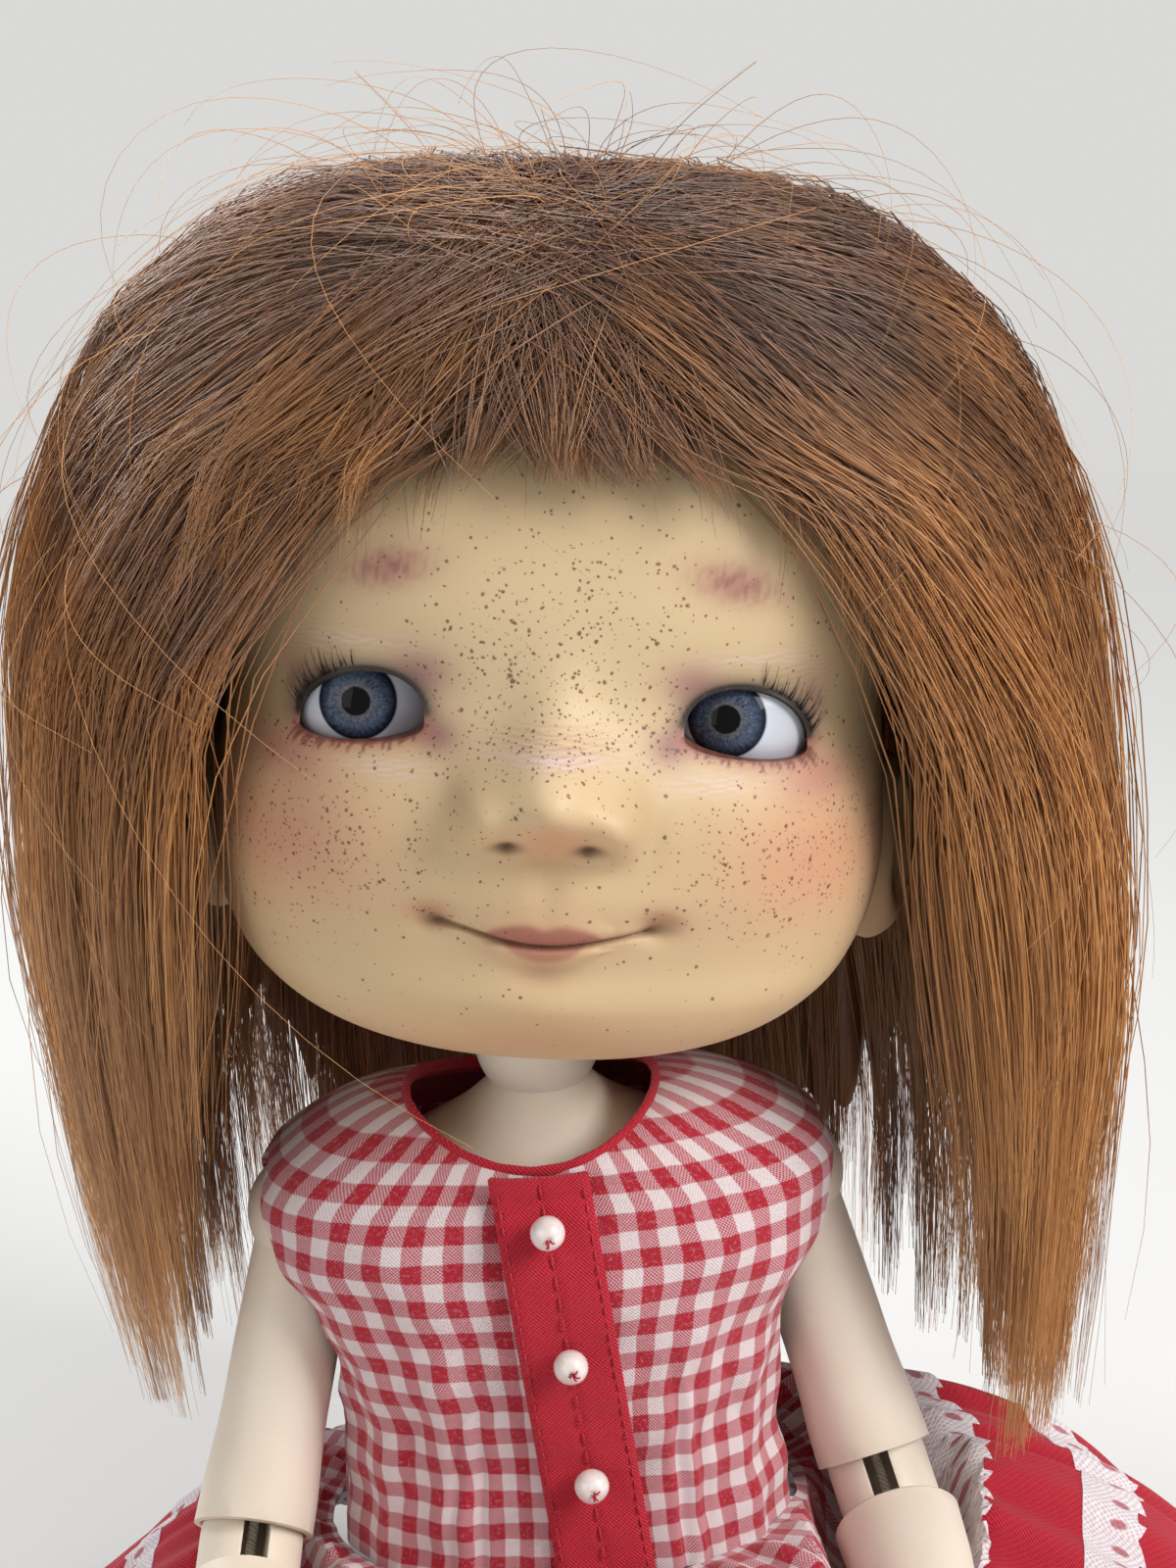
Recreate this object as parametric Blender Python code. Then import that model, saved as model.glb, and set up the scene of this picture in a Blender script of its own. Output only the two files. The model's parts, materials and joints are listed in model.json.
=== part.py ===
"""A small resin ball jointed doll, seated in a gingham dress, with a wig and glass eyes.

The doll faces -Y, its left side is at +X, and it sits on the plane z = 0. Each limb is built
hanging straight down from its own joint, and the empties carry the pose.
"""

import math

import bmesh
import bpy
from mathutils import Matrix, Vector

# Clearances and cutting sizes
SEAT_GAP = 0.0003
OVERRUN = 0.02

# Head
HEAD_HALF_WIDTH = 0.028
HEAD_HALF_HEIGHT = 0.034
HEAD_FRONT = 0.028
HEAD_BACK = 0.029
HEAD_WALL = 0.0045
HEAD_FLOOR = 0.009
HEAD_BOX_POWER = 2.5
HEAD_POLE_POWER = 0.7
HEAD_SIDES = 36
HEAD_RINGS = 22
FRONT_CROWDING = 0.55
MIDDLE_CROWDING = 0.22
CAP_CUT_HEIGHT = 0.014
CAP_CUT_ANGLE = math.radians(24)
EAR_WIDTH = 0.0036
EAR_DEPTH = 0.0095
EAR_HEIGHT = 0.017
EAR_DROP = 0.0155
NOSE_RISE = 0.0075

# Eyes
EYE_RADIUS = 0.007
EYE_SIDE = 0.0148
EYE_DEPTH = 0.0162
EYE_DROP = 0.0016
EYE_OPENING_SIDE = 0.0154
EYE_OPENING_WIDTH = 0.0102
EYE_OPENING_HEIGHT = 0.0059
EYE_BACK = 0.001
GAZE_ANGLE = math.radians(9)
PUTTY_RADIUS = 0.0094
PUTTY_LENGTH = 0.005
LASH_DEPTH = 0.0026
LASH_THICKNESS = 0.0003

# Head fittings
MAGNET_RADIUS = 0.0014
MAGNET_THICKNESS = 0.0012
MAGNET_ANGLES = (math.radians(62), math.radians(-62))
NECK_WIRE = 0.0006
NECK_HOOK_TOP = 0.0026
NECK_HOOK_LOW = 0.0016
NECK_HOOK_REACH = 0.0036
HOOK_HOLE = 0.0022

# Torso, from the waist joint up and from the seat up
WAIST_HEIGHT = 0.024
WAIST_BALL = 0.0102
CHEST_RISE = 0.0375
CHEST_HALF_WIDTH = 0.0172
CHEST_HALF_DEPTH = 0.012
SHOULDER_RISE = 0.027
SHOULDER_SIDE = 0.0211
NECK_RISE = 0.0416
NECK_RADIUS = 0.0046
NECK_BALL = 0.0055
NECK_SLOT_WIDTH = 0.0034
NECK_SLOT_LENGTH = 0.0072
TORSO_CHANNEL = 0.0031
ARM_CHANNEL = 0.0022
PELVIS_HALF_WIDTH = 0.0165
PELVIS_HALF_DEPTH = 0.0125
PELVIS_SHOULDER_DROP = 0.0046
HIP_SIDE = 0.012
HIP_HEIGHT = 0.0097
HIP_FORWARD = 0.003

# Arms
SHOULDER_BALL = 0.0056
UPPER_ARM_LENGTH = 0.0302
UPPER_ARM_RADIUS = 0.0052
ELBOW_RADIUS = 0.0046
ELBOW_SPACING = 0.005
FOREARM_LENGTH = 0.024
FOREARM_RADIUS = 0.0057
WRIST_BALL = 0.003
PALM_LENGTH = 0.0085
PALM_WIDTH = 0.0072
PALM_THICKNESS = 0.0032
FINGER_LENGTH = 0.0068
FINGER_RADIUS = 0.00085

# Legs
HIP_BALL = 0.0076
THIGH_LENGTH = 0.04
THIGH_RADIUS = 0.0086
KNEE_RADIUS = 0.0062
KNEE_SPACING = 0.0065
SHIN_LENGTH = 0.036
SHIN_RADIUS = 0.0072
ANKLE_BALL = 0.0038
ANKLE_HEIGHT = 0.008
FOOT_LENGTH = 0.025
FOOT_WIDTH = 0.0105
FOOT_HEEL = 0.0062

# Stringing
LIMB_BORE = 0.0019
ELASTIC_RADIUS = 0.00045
STRAND_SIDE = 0.00115
STRAND_DEPTH = 0.0019
STRAND_TAIL = 0.0032
HOOK_WIRE = 0.00035
HOOK_CURL = 0.0012
HOOK_BAR = 0.00048
HOOK_RISE = 0.0014
JOINT_SLOT = 0.0024
CORNER_RADIUS = 0.0013

# Pose of the photograph
CHEST_LEAN = math.radians(-3.2)
HEAD_NOD = math.radians(-8)
HEAD_ROLL = math.radians(3.6)
HEAD_TURN = math.radians(-4.5)
ARM_SPREADS = {"left": math.radians(14.5), "right": math.radians(15)}
ARM_SWINGS = {"left": math.radians(3), "right": math.radians(14)}
ELBOW_BEND = math.radians(39)
LEG_RAISE = math.radians(88)

# Dress
CLOTH = 0.0008
BODICE_HALF_WIDTH = 0.0258
BODICE_HALF_DEPTH = 0.0152
BODICE_DROP = 0.004
BODICE_TOP = 0.041
BODICE_POWER = 2.5
NECKLINE_HALF_WIDTH = 0.0112
NECKLINE_SIDE = -0.0009
NECKLINE_HALF_DEPTH = 0.0098
NECKLINE_FORWARD = 0.003
NECKLINE_HEIGHT = 0.0345
NECKLINE_RISE = 0.0031
NECKLINE_BACK_RISE = 0.0026
NECKLINE_START_SHARE = 0.82
ARMHOLE_LOW = 0.0085
ARMHOLE_HIGH = 0.0327
ARMHOLE_DEPTH = 0.0074
ARMHOLE_INSIDE = 0.0185
PLEAT_DEPTH = 0.0006
PLACKET_WIDTH = 0.008
PLACKET_THICKNESS = 0.0007
PLACKET_TOP_SIDE = -0.0012
PLACKET_LOW_SIDE = 0.0026
BUTTON_RADIUS = 0.0015
BUTTON_TOP = 0.0035
BUTTON_PITCH = 0.012
BUTTON_COUNT = 3
BINDING_RADIUS = 0.0005

# Skirt
SKIRT_LEFT_WIDTH = 0.072
SKIRT_RIGHT_WIDTH = 0.052
SKIRT_FRONT = 0.062
SKIRT_BACK = 0.032
SKIRT_PUFF = 0.006
SKIRT_PUFF_ANGLE = math.radians(115)
SKIRT_PUFF_WIDTH = math.radians(38)
SKIRT_WAIST_WIDTH = 0.0213
SKIRT_WAIST_DEPTH = 0.0165
SKIRT_CLOTH = 0.001
SKIRT_STEP_SHARE = 0.13
FOLD_COUNT = 12
FOLD_HEIGHT = 0.0014
HEM_CLEARANCE = 0.0014
LEG_COVER = 0.0008
ARM_COVER = 0.0023
FRONT_SINK_SHARE = 0.6
FOLD_TURN = math.radians(45)
FOLD_SWELL_SHARE = 0.018

# Wig
WIG_GAP = 0.0011
WIG_CAP_THICKNESS = 0.0008
WIG_CAP_ANGLE = math.radians(38)
CROWN_SHARE = 0.235
LOCK_START_SHARE = 0.24
LOCK_END_SHARE = 0.97
LOCK_RAGGED_SHARE = 0.03
FRINGE_END_SHARE = 0.27
FRINGE_CURVE_SHARE = 0.14
HAIR_THICKNESS = 0.004
HAIR_TOP = 1.2588 * HEAD_HALF_HEIGHT
HAIR_HALF_WIDTH = 1.6964 * HEAD_HALF_WIDTH
HAIR_BACK = 1.5 * HEAD_BACK
HAIR_FRONT = 1.3036 * HEAD_FRONT
HAIR_HANG_SIDE = math.radians(6)
HAIR_HANG_BACK = math.radians(8)
FRINGE_ANGLE = math.radians(58)
SIDE_ANGLE = math.radians(112)
PARTING_FORWARD = 0.008
LOCK_DEPTH = 0.0008
LOCK_COUNT = 24

# Finishes: colour, roughness, metallic
FACE_RESIN = ((0.58, 0.45, 0.25), 0.5, 0.0)
BODY_RESIN = ((0.80, 0.70, 0.58), 0.45, 0.0)
STEEL = ((0.55, 0.55, 0.56), 0.3, 1.0)
GINGHAM = ((0.62, 0.20, 0.22), 0.85, 0.0)
RED_COTTON = ((0.50, 0.02, 0.035), 0.85, 0.0)
LACE = ((0.82, 0.78, 0.82), 0.8, 0.0)
PEARL = ((0.85, 0.78, 0.76), 0.2, 0.0)
EYE_GLASS = ((0.25, 0.33, 0.45), 0.08, 0.0)
HAIR = ((0.32, 0.13, 0.04), 0.5, 0.0)
ELASTIC = ((0.75, 0.75, 0.72), 0.7, 0.0)
PUTTY = ((0.75, 0.72, 0.60), 0.8, 0.0)
LASH_BLACK = ((0.01, 0.01, 0.01), 0.6, 0.0)

# Height, half width, front and back of the head, as shares of a rounded box
HEAD_SHARES = (
    (-1.00, 1.00, 1.00, 0.60),
    (-0.88, 1.15, 1.22, 0.62),
    (-0.76, 1.19, 1.20, 0.70),
    (-0.64, 1.17, 1.10, 0.76),
    (-0.44, 1.11, 1.06, 0.88),
    (-0.24, 1.04, 1.03, 0.96),
    (0.00, 1.00, 0.98, 1.00),
    (0.24, 1.06, 1.04, 1.05),
    (0.42, 1.12, 1.06, 1.08),
    (0.60, 1.12, 1.05, 1.08),
    (0.78, 1.06, 1.00, 1.02),
    (1.00, 1.00, 1.00, 1.00),
)
# Side, height, half width and half height of each swelling or hollow, as shares of the
# head's half height, and its rise as a share of the nose's
FACE_SHARES = (
    (0.00, -0.22, 0.150, 0.130, 0.86),
    (0.00, -0.06, 0.090, 0.150, 0.22),
    (0.165, -0.27, 0.080, 0.075, 0.34),
    (-0.165, -0.27, 0.080, 0.075, 0.34),
    (0.50, -0.38, 0.260, 0.240, 0.16),
    (-0.50, -0.38, 0.260, 0.240, 0.16),
    (0.00, -0.48, 0.240, 0.130, 0.20),
    (0.00, -0.53, 0.110, 0.045, 0.10),
    (0.00, -0.60, 0.100, 0.035, -0.10),
    (0.27, -0.48, 0.050, 0.050, -0.14),
    (-0.27, -0.48, 0.050, 0.050, -0.14),
    (0.00, -0.74, 0.170, 0.090, 0.12),
    (0.45, -0.04, 0.200, 0.125, -0.24),
    (-0.45, -0.04, 0.200, 0.125, -0.24),
)


def clear_scene():
    for old in list(bpy.data.objects):
        bpy.data.objects.remove(old, do_unlink=True)


def finish(name, look):
    colour, roughness, metallic = look
    material = bpy.data.materials.new(f"{name}_finish")
    material.use_nodes = True
    shader = material.node_tree.nodes["Principled BSDF"]
    shader.inputs["Base Color"].default_value = (*colour, 1)
    shader.inputs["Roughness"].default_value = roughness
    shader.inputs["Metallic"].default_value = metallic
    return material


def joint_frame(name, parent=None, place=(0, 0, 0), turn=None):
    """An empty on a joint, which carries every piece that turns there."""
    empty = bpy.data.objects.new(name, None)
    bpy.context.collection.objects.link(empty)
    empty.empty_display_size = NECK_BALL
    empty.parent = parent
    empty.matrix_local = Matrix.Translation(place) @ (turn or Matrix.Identity(4))
    return empty


def turned_about(axis, angle):
    return Matrix.Rotation(angle, 4, axis)


def node(name, mesh, parent, look, smooth=True):
    obj = bpy.data.objects.new(name, mesh)
    bpy.context.collection.objects.link(obj)
    obj.parent = parent
    mesh.materials.append(finish(name, look))
    if smooth:
        mesh.shade_smooth()
        mesh.set_sharp_from_angle(angle=math.radians(50))
    return obj


def helper(obj):
    obj.hide_render = True
    obj.display_type = "WIRE"
    return obj


def loft(name, rings, closed_ends=True, strip_ends=False):
    """A mesh skin through rings of equally many points, its ends flat or in strips."""
    shape = bmesh.new()
    rows = [[shape.verts.new(point) for point in ring] for ring in rings]
    count = len(rows[0])
    for low, high in zip(rows, rows[1:]):
        for i in range(count):
            j = (i + 1) % count
            shape.faces.new((low[i], low[j], high[j], high[i]))
    if strip_ends:
        for row in (rows[0], rows[-1]):
            for i in range(count // 2 - 1):
                j = count - 1 - i
                shape.faces.new((row[i], row[i + 1], row[j - 1], row[j]))
    elif closed_ends:
        shape.faces.new(rows[0])
        shape.faces.new(rows[-1])
    else:
        for i in range(count):
            j = (i + 1) % count
            shape.faces.new((rows[-1][i], rows[-1][j], rows[0][j], rows[0][i]))
    bmesh.ops.recalc_face_normals(shape, faces=shape.faces)
    mesh = bpy.data.meshes.new(name)
    shape.to_mesh(mesh)
    shape.free()
    return mesh


def ball_mesh(name, radius, centre=(0, 0, 0), sides=14, rings=8):
    shape = bmesh.new()
    bmesh.ops.create_uvsphere(
        shape,
        u_segments=sides,
        v_segments=rings,
        radius=radius,
        matrix=Matrix.Translation(centre),
    )
    mesh = bpy.data.meshes.new(name)
    shape.to_mesh(mesh)
    shape.free()
    return mesh


def socket_mesh(name, radius, centre=(0, 0, 0), sides=14, rings=8):
    """A ball whose flats, and not only its corners, keep clear of the radius."""
    outside = math.cos(math.pi / sides) * math.cos(math.pi / (2 * rings))
    return ball_mesh(name, radius / outside, centre, sides, rings)


def box_mesh(name, low, high):
    size = [b - a for a, b in zip(low, high)]
    middle = [(a + b) / 2 for a, b in zip(low, high)]
    shape = bmesh.new()
    bmesh.ops.create_cube(
        shape, size=1, matrix=Matrix.Translation(middle) @ Matrix.Diagonal((*size, 1))
    )
    mesh = bpy.data.meshes.new(name)
    shape.to_mesh(mesh)
    shape.free()
    return mesh


def rod_mesh(name, radius, start, end, sides=8):
    start, end = Vector(start), Vector(end)
    along = end - start
    turn = along.to_track_quat("Z", "Y").to_matrix().to_4x4()
    shape = bmesh.new()
    bmesh.ops.create_cone(
        shape,
        cap_ends=True,
        segments=sides,
        radius1=radius,
        radius2=radius,
        depth=along.length,
        matrix=Matrix.Translation((start + end) / 2) @ turn,
    )
    mesh = bpy.data.meshes.new(name)
    shape.to_mesh(mesh)
    shape.free()
    return mesh


def combine(target, mesh, parent, operation):
    """Cuts a helper mesh out of the target, or joins or meets it with the target."""
    tool = bpy.data.objects.new(f"{target.name}_{mesh.name}", mesh)
    bpy.context.collection.objects.link(tool)
    tool.parent = parent
    helper(tool)
    modifier = target.modifiers.new(mesh.name, "BOOLEAN")
    modifier.operation = operation
    modifier.solver = "EXACT"
    modifier.object = tool
    return tool


def cut(target, mesh, parent=None):
    return combine(target, mesh, parent or target.parent, "DIFFERENCE")


def fuse(target, mesh, parent=None):
    return combine(target, mesh, parent or target.parent, "UNION")


def tube(name, points, radius, parent, look, sides=2):
    curve = bpy.data.curves.new(name, "CURVE")
    curve.dimensions = "3D"
    curve.bevel_depth = radius
    curve.bevel_resolution = sides
    curve.use_fill_caps = True
    spline = curve.splines.new("POLY")
    spline.points.add(len(points) - 1)
    for target, point in zip(spline.points, points):
        target.co = (*point, 1)
    obj = bpy.data.objects.new(name, curve)
    bpy.context.collection.objects.link(obj)
    obj.parent = parent
    curve.materials.append(finish(name, look))
    return obj


def rounded_route(points, radius, steps=1):
    """A route through the given points with its corners rounded off."""
    points = [Vector(point) for point in points]
    route = [points[0]]
    for a, b, c in zip(points, points[1:], points[2:]):
        before, after = a - b, c - b
        start = b + before * min(radius / before.length, 0.45)
        end = b + after * min(radius / after.length, 0.45)
        for i in range(steps + 1):
            t = i / steps
            route.append(start * (1 - t) ** 2 + b * 2 * t * (1 - t) + end * t**2)
    return [*route, points[-1]]


def between(table, place):
    """A row of shares read from a table at any place, eased from row to row."""
    if place <= table[0][0]:
        return table[0][1:]
    for low, high in zip(table, table[1:]):
        if place <= high[0]:
            t = (place - low[0]) / (high[0] - low[0])
            t = t * t * (3 - 2 * t)
            return [a + (b - a) * t for a, b in zip(low[1:], high[1:])]
    return table[-1][1:]


def ramp(value, low, high):
    t = min(max((value - low) / (high - low), 0), 1)
    return t * t * (3 - 2 * t)


def power(value, exponent):
    return math.copysign(abs(value) ** exponent, value)


def round_ring(radius, height, sides, tilt=0, across=1):
    """A ring about Z whose height climbs by tilt across Y."""
    ring = []
    for i in range(sides):
        angle = 2 * math.pi * i / sides
        x, y = radius * across * math.cos(angle), radius * math.sin(angle)
        ring.append((x, y, height + tilt * y))
    return ring


def boxed_ring(half_width, front, back, height, exponent, sides, tilt=0):
    ring = []
    for i in range(sides):
        angle = 2 * math.pi * i / sides
        x = half_width * power(math.sin(angle), 2 / exponent)
        reach = front if math.cos(angle) > 0 else back
        y = -reach * power(math.cos(angle), 2 / exponent)
        ring.append((x, y, height + tilt * y))
    return ring


def face_relief(x, z):
    """How far the face's features stand out from the plain head."""
    relief = 0
    for side, height, wide, tall, rise in FACE_SHARES:
        across = (x - side * HEAD_HALF_HEIGHT) / (wide * HEAD_HALF_HEIGHT)
        up = (z - height * HEAD_HALF_HEIGHT) / (tall * HEAD_HALF_HEIGHT)
        relief += rise * NOSE_RISE * math.exp(-(across**2) - up**2)
    return relief


def head_ring(polar, wall=0.0, sides=HEAD_SIDES, relief=True):
    """One level ring of the head; a wall above zero draws it in, below zero swells it."""
    height_share = -math.cos(polar)
    wide, front, back = between(HEAD_SHARES, height_share)
    round_share = math.sin(polar) ** HEAD_POLE_POWER
    z = height_share * (HEAD_HALF_HEIGHT - wall)
    ring = []
    for i in range(sides):
        angle = 2 * math.pi * i / sides
        angle -= FRONT_CROWDING * math.sin(angle)
        x = (HEAD_HALF_WIDTH * wide - wall) * round_share
        x *= power(math.sin(angle), 2 / HEAD_BOX_POWER)
        reach = HEAD_FRONT * front if math.cos(angle) > 0 else HEAD_BACK * back
        y = -(reach - wall) * round_share * power(math.cos(angle), 2 / HEAD_BOX_POWER)
        if relief and math.cos(angle) > 0:
            y -= face_relief(x, z) * ramp(math.cos(angle), 0, 0.4)
        ring.append((x, y, z))
    return ring


def head_mesh(name, wall=0.0, sides=HEAD_SIDES, rings=HEAD_RINGS, relief=True):
    polars = []
    for i in range(rings):
        polar = math.pi * (i + 0.5) / rings
        polars.append(polar + MIDDLE_CROWDING * math.sin(2 * polar))
    return loft(name, [head_ring(p, wall, sides, relief) for p in polars])


def head_core(name, wall):
    """The hollow of the head, with its thick floor, as a solid."""
    rings = []
    for i in range(11):
        ring = head_ring(math.pi * (i + 0.5) / 11, wall, 18, False)
        floor = -HEAD_HALF_HEIGHT + HEAD_FLOOR + wall - HEAD_WALL
        rings.append([(x, y, max(z, floor)) for x, y, z in ring])
    flat = [r for r in rings if r[0][2] == rings[0][0][2]]
    return loft(name, rings[len(flat) - 1 :])


def above_cap_cut(name, lift):
    """A block that fills everything above the slanted cut of the head cap."""
    reach = HEAD_HALF_HEIGHT + OVERRUN
    mesh = box_mesh(name, (-reach, -reach, 0), (reach, reach, reach))
    turn = turned_about("X", -CAP_CUT_ANGLE)
    mesh.transform(Matrix.Translation((0, 0, CAP_CUT_HEIGHT + lift)) @ turn)
    return mesh


def eye_opening(name, side):
    """The almond opening between the lids, as a block that runs out of the face."""
    outline = []
    for i in range(14):
        angle = 2 * math.pi * i / 14
        x = EYE_OPENING_WIDTH / 2 * math.cos(angle)
        z = EYE_OPENING_HEIGHT / 2 * power(math.sin(angle), 0.85)
        outline.append((side * EYE_OPENING_SIDE + x, z - EYE_DROP))
    far = [(x, -HEAD_FRONT - OVERRUN, z) for x, z in outline]
    near = [(x, -EYE_DEPTH - EYE_RADIUS * 0.17, z) for x, z in outline]
    return loft(name, [far, near])


def magnet_place(angle, lift):
    """The middle of a magnet in the wall beside the cap's cut, a way above or below it."""
    wall = HEAD_WALL / 2
    slope = math.tan(CAP_CUT_ANGLE)
    y = -(HEAD_BACK - wall) * math.cos(math.pi - angle)
    z = CAP_CUT_HEIGHT - slope * y
    wide, _, back = between(HEAD_SHARES, z / HEAD_HALF_HEIGHT)
    round_share = math.sqrt(1 - (z / HEAD_HALF_HEIGHT) ** 2) ** HEAD_POLE_POWER
    x = (HEAD_HALF_WIDTH * wide * round_share - wall) * power(
        math.sin(angle), 2 / HEAD_BOX_POWER
    )
    y = (HEAD_BACK * back * round_share - wall) * power(
        math.cos(angle), 2 / HEAD_BOX_POWER
    )
    return Vector((x, y, CAP_CUT_HEIGHT - slope * y)) + lift * Vector(
        (0, math.sin(CAP_CUT_ANGLE), math.cos(CAP_CUT_ANGLE))
    )


def magnet_mesh(name, angle, lift, radius, thickness):
    normal = Vector((0, math.sin(CAP_CUT_ANGLE), math.cos(CAP_CUT_ANGLE)))
    middle = magnet_place(angle, lift)
    half = normal * thickness / 2
    return rod_mesh(name, radius, middle - half, middle + half, 8)


def make_head(head):
    face = node("face_shell", head_mesh("face_skin"), head, FACE_RESIN)
    for side in (1, -1):
        ear = ball_mesh("ear", 1, sides=12, rings=8)
        ear.transform(Matrix.Diagonal((EAR_WIDTH, EAR_DEPTH / 2, EAR_HEIGHT / 2, 1)))
        turn = turned_about("Z", side * math.radians(-18))
        wide = HEAD_HALF_WIDTH * between(HEAD_SHARES, -EAR_DROP / HEAD_HALF_HEIGHT)[0]
        place = (side * (wide - EAR_WIDTH / 6), EAR_DEPTH / 4, -EAR_DROP)
        ear.transform(Matrix.Translation(place) @ turn)
        fuse(face, ear)
    cut(face, head_core("hollow", HEAD_WALL))
    cut(face, above_cap_cut("cap_cut", -SEAT_GAP / 2))
    pivot = (0, 0, -HEAD_HALF_HEIGHT)
    cut(face, socket_mesh("neck_socket", NECK_BALL + SEAT_GAP, pivot, 16, 10))
    top = (0, 0, -HEAD_HALF_HEIGHT + HEAD_FLOOR + OVERRUN)
    cut(face, rod_mesh("hook_hole", HOOK_HOLE, pivot, top, 12))
    cap = node("head_cap", head_mesh("cap_skin", relief=False, sides=24, rings=16),
               head, FACE_RESIN)
    cut(cap, head_core("cap_hollow", HEAD_WALL))
    reach = HEAD_HALF_HEIGHT + OVERRUN
    below = box_mesh("below_cut", (-reach, -reach, -2 * reach), (reach, reach, 0))
    turn = turned_about("X", -CAP_CUT_ANGLE)
    below.transform(Matrix.Translation((0, 0, CAP_CUT_HEIGHT + SEAT_GAP / 2)) @ turn)
    cut(cap, below)
    depth = MAGNET_THICKNESS / 2 + SEAT_GAP
    for name, angle in zip(("left", "right"), MAGNET_ANGLES):
        for owner, way, label in ((face, -1, "face"), (cap, 1, "cap")):
            size = (MAGNET_RADIUS + SEAT_GAP, MAGNET_THICKNESS + 2 * SEAT_GAP)
            pocket = magnet_mesh("pocket_" + name, angle, way * depth, *size)
            cut(owner, pocket)
            size = (MAGNET_RADIUS, MAGNET_THICKNESS)
            mesh = magnet_mesh("magnet", angle, way * (depth + SEAT_GAP / 2), *size)
            node(f"{label}_magnet_{name}", mesh, head, STEEL, smooth=False)
    for name, side in SIDES:
        make_eye(name, side, face, head)
    return face, cap


def make_eye(name, side, face, head):
    centre = Vector((side * EYE_SIDE, -EYE_DEPTH, -EYE_DROP))
    socket = socket_mesh("socket_" + name, EYE_RADIUS + SEAT_GAP, centre, 12, 8)
    cut(face, socket)
    cut(face, eye_opening("opening_" + name, side))
    rings = []
    for i in range(1, 8):
        angle = math.pi * 0.5 * i / 7
        rings.append(
            round_ring(
                EYE_RADIUS * math.sin(angle), EYE_RADIUS * math.cos(angle), 16
            )
        )
    rings.append(round_ring(EYE_RADIUS - EYE_BACK / 4, -EYE_BACK, 16))
    mesh = loft("eye", rings)
    look = turned_about("Z", -GAZE_ANGLE) @ turned_about("X", math.radians(90))
    mesh.transform(Matrix.Translation(centre) @ look)
    node(f"eye_{name}", mesh, head, EYE_GLASS)
    collar = [
        round_ring(PUTTY_RADIUS, PUTTY_LENGTH * 0.5, 12),
        round_ring(PUTTY_RADIUS, -PUTTY_LENGTH * 0.6, 12),
        round_ring(EYE_RADIUS * 0.55, -PUTTY_LENGTH * 0.6, 12),
        round_ring(EYE_RADIUS * 0.55, 0, 12),
    ]
    mesh = loft("collar", collar, closed_ends=False)
    mesh.transform(Matrix.Translation(centre) @ turned_about("X", math.radians(90)))
    putty = node(f"eye_putty_{name}", mesh, head, PUTTY)
    combine(putty, head_core("inside", HEAD_WALL + SEAT_GAP), head, "INTERSECT")
    room = [
        round_ring(EYE_RADIUS + 2 * SEAT_GAP, EYE_RADIUS, 12),
        round_ring(EYE_RADIUS + 2 * SEAT_GAP, -EYE_BACK - SEAT_GAP, 12),
    ]
    mesh = loft("eye_room", room)
    mesh.transform(Matrix.Translation(centre) @ look)
    cut(putty, mesh, head)
    lashes = []
    for layer in (0, -LASH_THICKNESS):
        inner, outer = [], []
        for i in range(9):
            share = i / 4 - 1
            x = share * EYE_OPENING_WIDTH * 0.45
            z = EYE_OPENING_HEIGHT / 2 * math.sqrt(1 - (0.9 * share) ** 2) ** 0.85
            z += layer - EYE_DROP - 4 * SEAT_GAP
            across = side * EYE_OPENING_SIDE + x
            off = across - centre.x
            deep = EYE_DEPTH + math.sqrt(EYE_RADIUS**2 - off**2 - z**2)
            inner.append((across, -deep - 2 * SEAT_GAP, z))
            outer.append((across + 0.12 * x, -deep - LASH_DEPTH, z))
        lashes.append((inner, outer))
    (a, b), (c, d) = lashes
    rings = [[a[i], b[i], d[i], c[i]] for i in range(9)]
    node(f"lashes_{name}", loft("lashes", rings), head, LASH_BLACK)


def make_neck_hook(frame):
    """The steel S-hook, with its low curl in the neck and its wide curl on the head's floor."""
    points = []
    low = Vector((0, 0, -NECK_HOOK_REACH))
    for i in range(7):
        angle = math.radians(-60 + 45 * i)
        points.append(
            low + NECK_HOOK_LOW * Vector((0, math.sin(angle), -math.cos(angle)))
        )
    seat = HEAD_FLOOR + NECK_WIRE + SEAT_GAP
    points.append(Vector((0, 0, -NECK_WIRE)))
    points.append(Vector((0, 0, seat - NECK_WIRE)))
    for i in range(8):
        angle = math.radians(-90 + 38 * i)
        turn = Vector((0, math.cos(angle), math.sin(angle))) * NECK_HOOK_TOP
        points.append(Vector((0, 0, seat + NECK_HOOK_TOP)) + turn)
    return tube("neck_hook", points, NECK_WIRE, frame, STEEL, 0)


# How far up and how wide the chest is, and its depth, as shares
CHEST_SHARES = (
    (0.05, 0.785, 0.91),
    (0.20, 0.79, 0.90),
    (0.41, 0.84, 0.95),
    (0.58, 0.90, 1.00),
    (0.71, 0.95, 0.95),
    (0.81, 0.88, 0.83),
    (0.885, 0.70, 0.70),
    (0.945, 0.44, 0.56),
    (1.00, 0.29, 0.42),
)


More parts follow.
